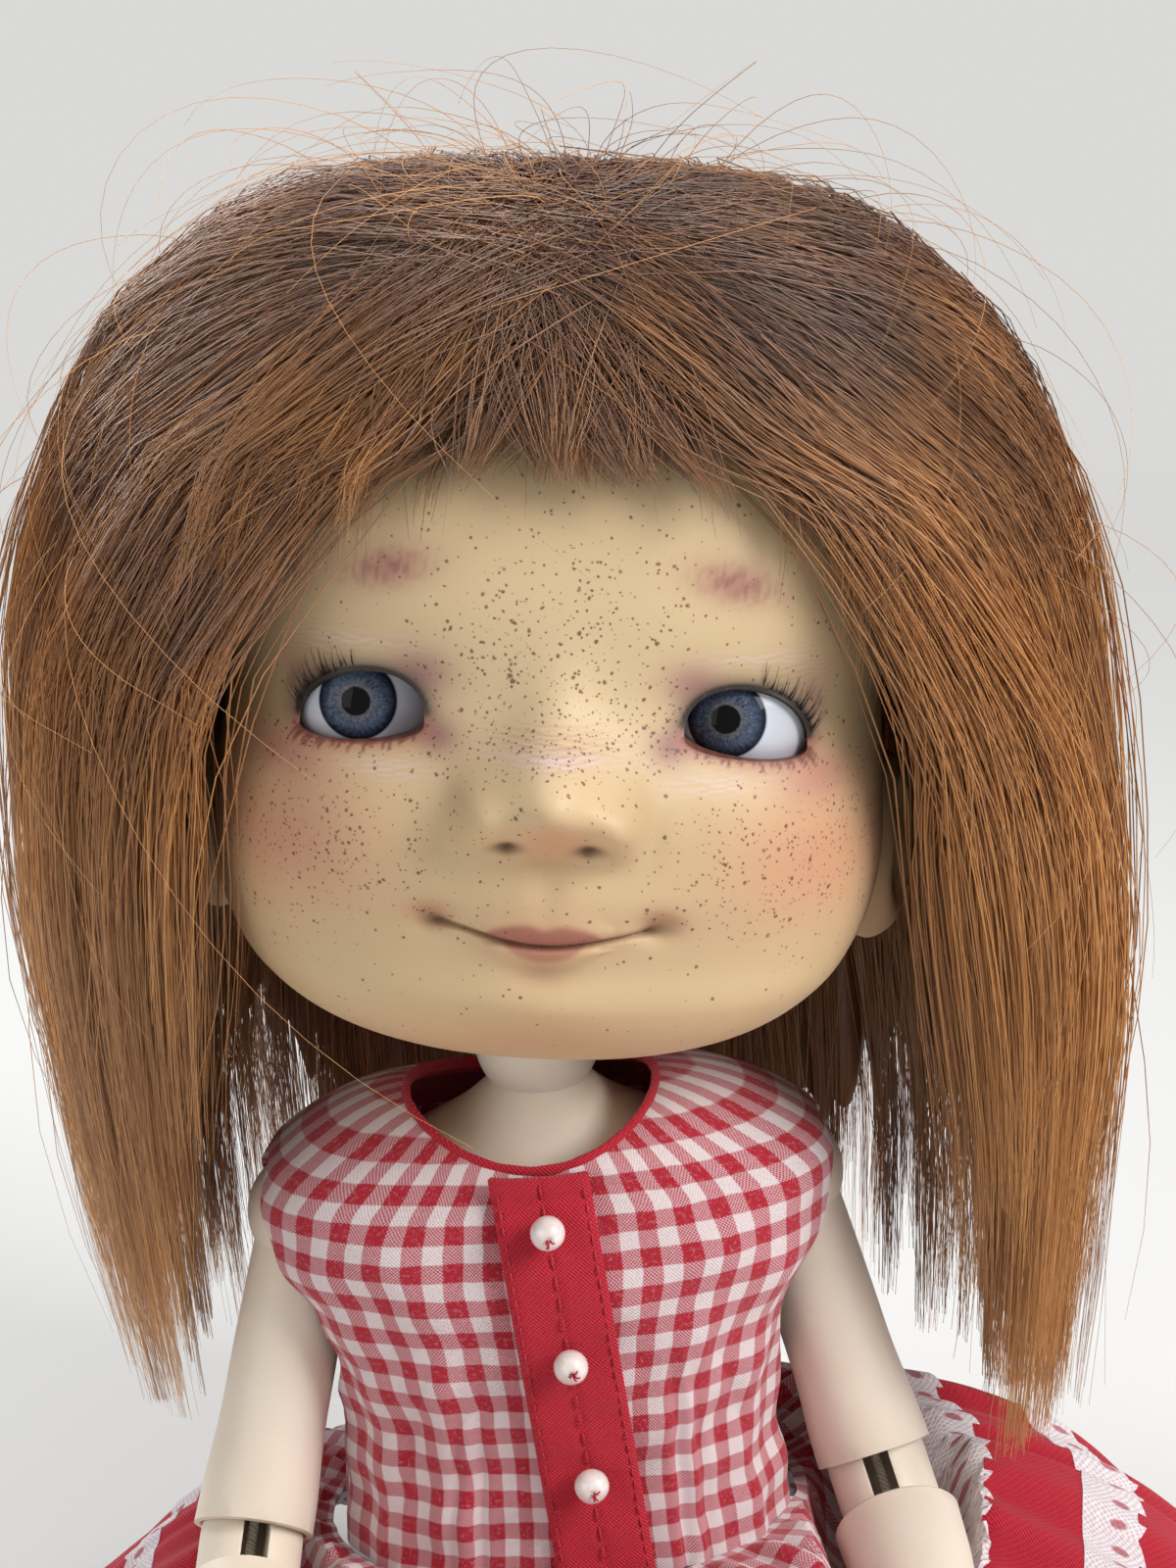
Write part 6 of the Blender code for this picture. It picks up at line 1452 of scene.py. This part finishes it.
def twill(name="red_twill", colour=(0.50, 0.010, 0.030)):
    look = Finish(name, colour, 0.82, Sheen_Weight=0.2, Sheen_Roughness=0.45)
    look.shader.inputs["Specular IOR Level"].default_value = 0.25
    cloth = look.attribute("weave", "Vector")
    u, v, _ = look.parts(cloth)
    line = look.sum("SINE", look.sum("MULTIPLY", look.sum("ADD", u, v), 2 * math.pi / 0.34))
    across = look.sum("SINE", look.sum("MULTIPLY", look.sum("SUBTRACT", u, v), 2 * math.pi / 0.55))
    fuzz = look.noise(cloth, 1.6, 4, 0.7)
    rib = look.sum("ADD", line, look.sum("MULTIPLY", across, 0.4))
    dark, pale = tuple(c * 0.62 for c in colour), tuple(min(c * 1.25 + 0.01, 1) for c in colour)
    shade = look.mix(look.span(rib, -1.2, 1.2), dark, pale)
    look.wear("Base Color", look.mix(look.span(fuzz, 0.42, 0.66, 0, 0.4), shade, tuple(c * 0.8 + 0.02 for c in colour)))
    look.bump(look.sum("ADD", rib, fuzz), 0.00006, 0.6)
    return look.material


def torus_piece(name, net):
    """A net closed both ways, as a tube of cloth with an outside and an inside."""
    return shaped_grid(name, np.concatenate([net, net[:1]]), True)


def cross_waist(piece):
    """Bakes the cloth's placement into its mesh."""
    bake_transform(piece)


def make_bodice():
    fine = 2
    outer = bodice_net(70 * fine, 160 * fine)
    inner = bodice_net(70 * fine, 160 * fine, CLOTH)
    bodice = torus_piece("gingham_bodice", np.concatenate([outer, inner[::-1]]))
    outward(bodice)
    cutters = []
    for side in (1, -1):
        a = 2 * np.pi * np.arange(48) / 48
        ring = np.stack([0 * a, 7.4 * np.cos(a), 20.6 + 12.1 * np.sin(a)], -1)
        near, far = ring + (side * 18.5, 0, 0), ring + (side * 46, 0, 0)
        cutters.append(closed_net("armhole", np.array([near, far])))
    cut_away(bodice, cutters)
    points = points_of(bodice)
    weave_mark(bodice, np.stack([wrap_length(points) + 0.4, points[:, 2] + 0.2, 0 * points[:, 0]], -1))
    place(bodice, CHEST_MM)
    finish_with(bodice, gingham(), 50)
    cross_waist(bodice)
    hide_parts("dress_bodice")
    return bodice


def placket_side(height):
    share = (height + BODICE_DROP) / (34.5 + BODICE_DROP)
    return 2.6 + (-1.2 - 2.6) * share


def make_placket(red):
    """The red strip down the front, its seams, its running stitch and its pearls."""
    height = np.linspace(-BODICE_DROP, 34.8, 150)[:, None]
    across = np.linspace(-1, 1, 26)[None]
    side = placket_side(height)
    x = side + 4.3 * across + 0 * height
    rough = 0.07 * np.sin(0.8 * height + 3 * across) + 0.05 * np.sin(1.9 * height - 2 * across)
    edge = 0.35 * ease(np.abs(across), 0.86, 1.0)
    dip = -0.16 * np.exp(-((across / 0.06) ** 2)) - 0.10 * np.exp(-(((np.abs(across) - 0.86) / 0.04) ** 2))
    y = bodice_front(x, height + 0 * x) - 1.0 - rough + edge - dip
    net = np.stack([x, y, height + 0 * x], -1)
    strip = sheet_between("placket_strip", net, 0.62)
    points = points_of(strip)
    weave_mark(strip, np.stack([points[:, 0], points[:, 2], 0 * points[:, 0]], -1))
    place(strip, CHEST_MM)
    finish_with(strip, red, 50)
    cross_waist(strip)
    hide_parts("dress_placket")
    paths = []
    spots = np.arange(-BODICE_DROP + 0.8, 33, 1.9)
    for start in spots:
        s = np.linspace(0, 1, 6)
        z = start + 1.35 * s
        x = placket_side(z) + 0 * s
        y = bodice_front(x, z) - 1.05 - 0.10 * np.sin(math.pi * s)
        paths.append(np.stack([x, y, z], -1))
    for way in (-1, 1):
        for start in np.arange(-BODICE_DROP + 0.4, 33, 1.25):
            s = np.linspace(0, 1, 6)
            z = start + 0.85 * s
            x = placket_side(z) + way * 3.7
            y = bodice_front(x, z) - 1.0 - 0.06 * np.sin(math.pi * s)
            paths.append(np.stack([x, y, z], -1))
    radii = np.full((len(paths), 6), 0.10)
    radii[:, (0, -1)] = 0.05
    stitches = tapered_hairs("placket_stitches", np.array(paths), radii, 6)
    place(stitches, CHEST_MM)
    thread = Finish("red_thread", (0.42, 0.008, 0.02), 0.6)
    twist = thread.noise(thread.place(scale=1 / MM), 9, 2)
    thread.wear("Base Color", thread.stops(twist, (0.3, (0.30, 0.005, 0.015)), (0.7, (0.58, 0.02, 0.045))))
    finish_with(stitches, thread.material, 60)
    cross_waist(stitches)
    make_pearls(thread.material)


def pearl_finish():
    look = Finish("pearl", rough=0.22, Coat_Weight=0.7, Coat_Roughness=0.06, Sheen_Weight=0.2)
    where = look.place(scale=1 / MM)
    cloud = look.noise(where, 0.9, 3)
    # Painted shade: the pearl's rim, as it turns away from the view, is tinted a darker pink
    edge = look.add("ShaderNodeLayerWeight", {"Blend": 0.35}).outputs["Facing"]
    colour = look.stops(cloud, (0.35, (0.80, 0.70, 0.66)), (0.65, (0.88, 0.82, 0.80)))
    look.wear("Base Color", look.mix(look.span(edge, 0.1, 0.9, 0, 0.6), colour, (0.66, 0.50, 0.52)))
    look.bump(cloud, 0.00003, 0.3)
    return look.material


def make_pearls(thread):
    material = pearl_finish()
    for i in range(3):
        low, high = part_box(f"pearl_button_{i + 1}")
        centre = (Vector(low) + Vector(high)) / 2
        pearl = ball(f"pearl_{i + 1}", 1.5, (0, 0, 0), 64, 40)
        points = points_of(pearl)
        off = np.hypot(points[:, 0], points[:, 2])
        points[:, 1] += 0.22 * np.exp(-((off / 0.32) ** 2)) * -np.sign(points[:, 1])
        points *= 1 + 0.012 * np.sin(2.1 * points[:, :1] + i) * np.sin(1.7 * points[:, 2:] + 2 * i)
        set_points(pearl, points)
        sit = Matrix.Translation(centre) @ CHEST.to_3x3().to_4x4() @ Matrix.Scale(MM, 4)
        place(pearl, sit)
        finish_with(pearl, material, 60)
        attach(pearl, "torso")
        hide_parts(f"pearl_button_{i + 1}")
        rough = np.random.default_rng(40 + i)
        paths = []
        for j in range(5):
            a = rough.uniform(0, 6.28)
            s = np.linspace(0, 1, 9)
            reach = 0.12 + 0.55 * s * rough.uniform(0.6, 1.0) * (1 if j < 3 else 0.3)
            paths.append(np.stack([reach * np.cos(a), -1.42 - 0.42 * np.sin(math.pi * s * 0.8), reach * np.sin(a)], -1))
        for a in (0.4, 3.6):
            s = np.linspace(0, 1, 9)
            paths.append(np.stack([0.5 * s * math.cos(a), 1.2 + 0.35 * s, 0.5 * s * math.sin(a)], -1))
        ties = tapered_hairs(f"pearl_thread_{i + 1}", np.array(paths), np.full((len(paths), 9), 0.085), 6)
        place(ties, sit)
        finish_with(ties, thread, 60)
        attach(ties, "torso")


def make_neckline(red):
    """The red edge of the neckline and the red facing that shows inside the back of the neck."""
    a = np.linspace(0, 2 * math.pi, 181)[:-1]
    ring = neckline(a, 0.25)
    t = 2 * np.pi * np.arange(14) / 14
    out = ring - ring.mean(0)
    out[:, 2] = 0
    out /= np.linalg.norm(out, axis=1, keepdims=True)
    size = 0.48 + 0.03 * np.sin(23 * a)
    net = ring[None] + (np.cos(t)[:, None, None] * out[None] * 0.8 + np.sin(t)[:, None, None] * np.array((0, 0, 1.15))) * size[None, :, None]
    binding = torus_piece("neck_binding", net)
    outward(binding)
    points = points_of(binding)
    weave_mark(binding, np.stack([12 * np.arctan2(points[:, 0], -points[:, 1]), points[:, 2], 0 * points[:, 0]], -1))
    facing_net = bodice_net(26, 150, CLOTH + 0.12, 0.78, 0.995)
    facing = sheet_between("neck_facing", facing_net, 0.35, True)
    points = points_of(facing)
    weave_mark(facing, np.stack([12 * np.arctan2(points[:, 0], -points[:, 1]), points[:, 2], 0 * points[:, 0]], -1))
    for piece in (binding, facing):
        place(piece, CHEST_MM)
        finish_with(piece, red, 60)
        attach(piece, "torso")
    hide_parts("neckline_binding")
    return [binding, facing]


SKIRT_HEIGHTS = np.array(((0.00, 1.00), (0.10, 1.03), (0.25, 0.98), (0.42, 0.84), (0.62, 0.60), (0.82, 0.31), (1.00, 0.10)))


def limb_lines():
    legs, arms = [], []
    for name, _ in SIDES:
        hip, knee, ankle = (np.array(joint_at(f"{j}_{name}")) / MM for j in ("hip", "knee_upper", "ankle"))
        legs.append((hip, knee, ankle))
        elbow, bent, wrist = (np.array(joint_at(f"{j}_{name}")) / MM for j in ("elbow_upper", "elbow_lower", "wrist"))
        tip = wrist + (wrist - bent) / np.linalg.norm(wrist - bent) * 15.3
        arms += [(elbow, bent, 4.6, 5.7), (bent, wrist, 5.7, 4.56), (wrist, tip, 3.0, 3.6)]
    return legs, arms


def leg_cover(x, y, legs):
    cover = np.zeros(x.shape)
    for hip, knee, ankle in legs:
        for start, end, near, far in ((hip, knee, 8.6, 7.0), (knee, ankle, 7.0, 7.2)):
            share = np.clip((y - start[1]) / (end[1] - start[1]), 0, 1)
            radius = near + (far - near) * share + 1.8
            off = np.maximum(np.abs(x - start[0]) - radius * 0.1, 0) * (np.abs(x) >= abs(start[0]))
            fall = radius - np.sqrt(np.maximum(radius**2 - off**2, 0))
            beyond = np.maximum(y - hip[1], 0)
            cover = np.maximum(cover, start[2] + (end[2] - start[2]) * share + radius - fall - beyond)
    return cover


def arm_limit(x, y, arms):
    limit = np.full(x.shape, 72.0)
    for start, end, near, far in arms:
        along = end[:2] - start[:2]
        share = np.clip(((x - start[0]) * along[0] + (y - start[1]) * along[1]) / (along @ along), 0, 1)
        radius = near + (far - near) * share + 2.3
        off = np.hypot(x - start[0] - along[0] * share, y - start[1] - along[1] * share)
        height = start[2] + (end[2] - start[2]) * share
        under = height - np.sqrt(np.maximum(radius**2 - off**2, 0))
        limit = np.minimum(limit, np.where(off < radius, under, height + 2 * (off - radius)))
    return limit


def skirt_net(share, columns, legs, arms, lift=0.0):
    """The skirt's top at rows of shares; lift stands it off along its height."""
    a = (2 * np.pi * np.arange(columns) / columns)[None]
    share = share + 0 * a
    across, ahead = np.sin(a), np.cos(a)
    hem = np.where(ahead > 0, 62.0, 32.0)
    swell_ = 1 + 0.018 * share * np.sin(12 * a)
    wide = np.where(across > 0, 72.0, 52.0)
    x = across * (21.3 + (wide - 21.3) * share) * swell_
    y = -ahead * (16.5 + (hem - 16.5) * share) * swell_
    height = 19.7 * smooth_table(SKIRT_HEIGHTS, share)[..., 0]
    height = height * (1 - 0.4 * ease(ahead, 0.0, 0.5) * ease(share, 0.15, 0.5))
    wave = np.cos(12 * a + math.radians(45))
    fine = 0.5 * np.cos(31 * a + 4 * share) + 0.32 * np.cos(53 * a + 1.0 + 3 * share)
    height = height + 1.4 * ease(share, 0.0, 0.5) * (1 + wave) / 2 + fine * ease(share, 0.0, 0.08)
    height = height + x * math.tan(math.radians(3.2)) * (1 - ease(share, 0.0, 0.35))
    puff = (a - math.radians(115)) / math.radians(38)
    height = height + 6.0 * np.exp(-(puff**2)) * ease(share, 0.0, 0.25) * (1 - ease(share, 0.6, 1))
    height = np.maximum(height, leg_cover(x, y, legs))
    height = np.minimum(height, np.maximum(arm_limit(x, y, arms), 1.4))
    return np.stack([x, y, np.maximum(height, 1.4) + lift], -1)


def lace_finish():
    """Cotton lace: a fine net with round holes, dots and a thick scalloped edge."""
    look = Finish("lace", rough=0.85, Sheen_Weight=0.3, Sheen_Roughness=0.5)
    cloth = look.attribute("weave", "Vector")
    u, v, _ = look.parts(cloth)
    cell = look.sum("PINGPONG", u, 1.8)
    row = look.sum("MULTIPLY", look.sum("SUBTRACT", v, 0.85), 0.55)
    off = look.sum("SQRT", look.sum("ADD", look.sum("POWER", look.sum("SUBTRACT", cell, 0.9), 2.0), look.sum("POWER", row, 2.0)))
    mesh_u = look.sum("SINE", look.sum("MULTIPLY", u, 2 * math.pi / 0.42))
    mesh_v = look.sum("SINE", look.sum("MULTIPLY", v, 2 * math.pi / 0.42))
    net = look.span(look.sum("MULTIPLY", mesh_u, mesh_v), -0.2, 0.75)
    holes = look.span(off, 0.24, 0.36, 1.0, 0.0)
    fuzz = look.noise(cloth, 3.0, 3, 0.6)
    colour = look.mix(look.span(fuzz, 0.35, 0.65), (0.74, 0.68, 0.72), (0.88, 0.84, 0.86))
    colour = look.mix(look.sum("MULTIPLY", net, 0.42), colour, (0.46, 0.16, 0.20))
    colour = look.mix(look.sum("MULTIPLY", holes, 0.8), colour, (0.40, 0.02, 0.05))
    look.wear("Base Color", colour)
    height = look.sum("SUBTRACT", fuzz, look.sum("ADD", look.sum("MULTIPLY", net, 0.7), holes))
    look.bump(height, 0.00012, 0.7)
    return look.material


def make_skirt(red, bodice):
    legs, arms = limb_lines()
    lace = lace_finish()
    checks = gingham("gingham_skirt")
    bands = (
        ("tier_gingham", 0.0, 0.245, checks, "gingham", 16, 0.0, ("skirt_tier_upper",)),
        ("tier_red_middle", 0.345, 0.535, red, "red_cotton", 12, 0.0, ("skirt_tier_middle",)),
        ("tier_red_lower", 0.635, 0.875, red, "red_cotton", 16, 0.0, ("skirt_tier_lower",)),
        ("lace_upper", 0.24, 0.345, lace, "lace", 9, 0.25, ("skirt_lace_upper",)),
        ("lace_middle", 0.53, 0.635, lace, "lace", 9, 0.25, ("skirt_lace_middle",)),
        ("lace_hem", 0.87, 0.985, lace, "lace", 9, 0.0, ("skirt_lace_hem",)),
    )
    made = {}
    for name, start, end, look, slot, rows, lift, nodes in bands:
        columns = 960 if slot == "lace" else 720
        a = (2 * np.pi * np.arange(columns) / columns)[None]
        t = np.linspace(0, 1, rows)[:, None]
        scallop = 0.019 * np.abs(np.sin(30 * a)) ** 0.7 * (slot == "lace")
        share = start + (end - start) * t + scallop * t
        net = skirt_net(share, columns, legs, arms, lift)
        if slot == "lace":
            net[..., 2] += 0.30 * np.cos(60 * a) * t
        ring = np.linalg.norm(np.roll(net, -1, 1) - net, axis=-1)
        u = np.cumsum(ring.mean(0)) - ring.mean(0)[0]
        step = np.linalg.norm(np.diff(net, axis=0), axis=-1).mean(1)
        v = np.concatenate([[0], np.cumsum(step)])
        if slot == "lace":
            u = u / u[-1] * 60 * 3.6
            v = v / v[-1] * 4.0 - 1.5
        if slot == "gingham":
            u = u / u[-1] * round(u[-1] / CHECK) * CHECK
        mark = np.stack([u[None] + 0 * net[..., 0], v[:, None] + 0 * net[..., 0], 0 * net[..., 0]], -1)
        piece = sheet_between(name, net, 0.4 if slot == "lace" else 0.5, True, ("weave", mark))
        piece["flat_width"], piece["flat_length"] = float(ring.sum(1).mean()) * MM, float(step.sum()) * MM
        place(piece, WORLD_MM)
        finish_with(piece, look, 50)
        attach(piece, "pelvis")
        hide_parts(*nodes)
        made[name] = piece
    for name, edges in (("tier_gingham", ["lace_upper"]), ("tier_red_middle", ["lace_middle"]), ("tier_red_lower", ["lace_hem"])):
        piece = made[name]


def make_dress():
    red = twill()
    bodice = make_bodice()
    make_placket(red)
    edges = make_neckline(red)
    make_skirt(red, bodice)


def finish_kept_nodes():
    """Finishes for the CAD pieces that show as they are: steel, putty and the head's cap."""
    steel = Finish("steel", (0.55, 0.55, 0.56), 0.3, Metallic=1.0)
    grain = steel.noise(steel.place(scale=1 / MM), 5, 3)
    steel.wear("Roughness", steel.span(grain, 0.3, 0.7, 0.22, 0.42))
    steel.wear("Base Color", steel.stops(grain, (0.3, (0.48, 0.48, 0.49)), (0.7, (0.60, 0.60, 0.61))))
    putty = Finish("putty", (0.75, 0.72, 0.60), 0.8)
    cloud = putty.noise(putty.place(scale=1 / MM), 1.4, 4)
    putty.wear("Base Color", putty.stops(cloud, (0.3, (0.68, 0.64, 0.52)), (0.7, (0.80, 0.77, 0.66))))
    putty.bump(cloud, 0.0002, 0.5)
    resin = Finish("cap_resin", rough=0.5)
    fine = resin.noise(resin.place(scale=1 / MM), 4.5, 3)
    resin.wear("Base Color", resin.stops(fine, (0.3, (0.60, 0.44, 0.25)), (0.7, (0.65, 0.48, 0.28))))
    for name in frame["nodes"]:
        piece = bpy.data.objects.get(name)
        if piece is None or piece.hide_render:
            continue
        for words, look in ((("hook", "magnet"), steel), (("putty",), putty), (("head_cap",), resin)):
            if any(word in name for word in words):
                piece.data.materials.clear()
                piece.data.materials.append(look.material)


# The picture: camera, floor and soft lamps


def make_camera():
    turn, lift, reach = math.radians(-4.5), math.radians(18), 0.300
    target = Vector((0.0022, 0, 0.089))
    back = Vector((math.sin(turn) * math.cos(lift), -math.cos(turn) * math.cos(lift), math.sin(lift)))
    data = bpy.data.cameras.new("camera")
    data.lens, data.sensor_width, data.sensor_fit = 80, 36, "AUTO"
    data.clip_start = 0.01
    camera = bpy.data.objects.new("camera", data)
    bpy.context.collection.objects.link(camera)
    camera.location = target + reach * back
    camera.rotation_euler = (-back).to_track_quat("-Z", "Y").to_euler()
    bpy.context.scene.camera = camera


def make_lamp(name, place, target, size, power, colour):
    data = bpy.data.lights.new(name, "AREA")
    data.shape, data.size, data.size_y = "RECTANGLE", *size
    data.energy, data.color = power, colour
    lamp = bpy.data.objects.new(name, data)
    bpy.context.collection.objects.link(lamp)
    lamp.location = place
    lamp.rotation_euler = (Vector(place) - Vector(target)).to_track_quat("Z", "Y").to_euler()


BACKDROP = (0.70, 0.695, 0.68)


def show_backdrop(tree):
    """One where a ray from the camera, or one seen in a shine or through glass, arrives."""
    ray = tree.nodes.new("ShaderNodeLightPath")
    total = ray.outputs["Is Camera Ray"]
    for name in ("Is Glossy Ray", "Is Transmission Ray"):
        step = tree.nodes.new("ShaderNodeMath")
        step.operation = "MAXIMUM"
        tree.links.new(total, step.inputs[0])
        tree.links.new(ray.outputs[name], step.inputs[1])
        total = step.outputs[0]
    return total


def make_studio():
    clear_choice()
    bpy.ops.mesh.primitive_plane_add(size=12.0, location=(0, 0, -0.0004))
    floor = bpy.context.active_object
    bpy.ops.object.transform_apply(location=True, rotation=True, scale=True)
    floor.name = "floor"
    pale = Finish("floor", (0.78, 0.77, 0.75), 0.7)
    cloud = pale.noise(pale.place(scale=1.0), 6, 2)
    pale.wear("Base Color", pale.stops(cloud, (0.3, (0.67, 0.665, 0.65)), (0.7, (0.69, 0.685, 0.67))))
    # Away from the doll the floor shows as the pale backdrop; near it the floor keeps its shadow
    x, y, z = pale.parts(pale.place())
    away = pale.sum("SQRT", pale.sum("ADD", pale.sum("MULTIPLY", x, x), pale.sum("MULTIPLY", y, y)))
    far = pale.add("ShaderNodeMapRange", {"Value": away, "From Min": 0.16, "From Max": 0.60}, interpolation_type="SMOOTHSTEP")
    seen = show_backdrop(pale.tree)
    share = pale.sum("MULTIPLY", far.outputs[0], seen)
    glow = pale.add("ShaderNodeEmission", {"Color": (*BACKDROP, 1), "Strength": 1.0})
    both = pale.add("ShaderNodeMixShader", {0: share, 1: pale.shader.outputs[0], 2: glow.outputs[0]})
    pale.tree.links.new(both.outputs[0], pale.tree.nodes["Material Output"].inputs[0])
    floor.data.materials.append(pale.material)
    middle = (0, 0, 0.085)
    make_lamp("window", (0.44, -0.30, 0.44), middle, (0.28, 0.36), 4.1, (1.0, 0.985, 0.97))
    make_lamp("fill", (-0.55, -0.42, 0.22), middle, (0.5, 0.4), 1.0, (1.0, 0.98, 0.96))
    make_lamp("top", (-0.10, 0.12, 0.62), middle, (0.4, 0.3), 2.3, (0.97, 0.985, 1.0))
    make_lamp("rim", (-0.30, 0.45, 0.30), middle, (0.3, 0.3), 1.2, (0.96, 0.98, 1.0))
    world = bpy.data.worlds.new("room")
    bpy.context.scene.world = world
    world.use_nodes = True
    tree = world.node_tree
    light = tree.nodes["Background"]
    light.inputs[0].default_value, light.inputs[1].default_value = (0.92, 0.93, 0.95, 1), 0.27
    plain = tree.nodes.new("ShaderNodeBackground")
    plain.inputs[0].default_value, plain.inputs[1].default_value = (*BACKDROP, 1), 1.0
    choice = tree.nodes.new("ShaderNodeMixShader")
    tree.links.new(show_backdrop(tree), choice.inputs[0])
    tree.links.new(light.outputs[0], choice.inputs[1])
    tree.links.new(plain.outputs[0], choice.inputs[2])
    tree.links.new(choice.outputs[0], tree.nodes["World Output"].inputs[0])
    bpy.context.scene.view_settings.view_transform = "Standard"


def main():
    make_camera()
    make_studio()
    make_face()
    make_eyes()
    make_lashes()
    make_wig()
    make_body()
    make_elastics()
    make_dress()
    finish_kept_nodes()


main()
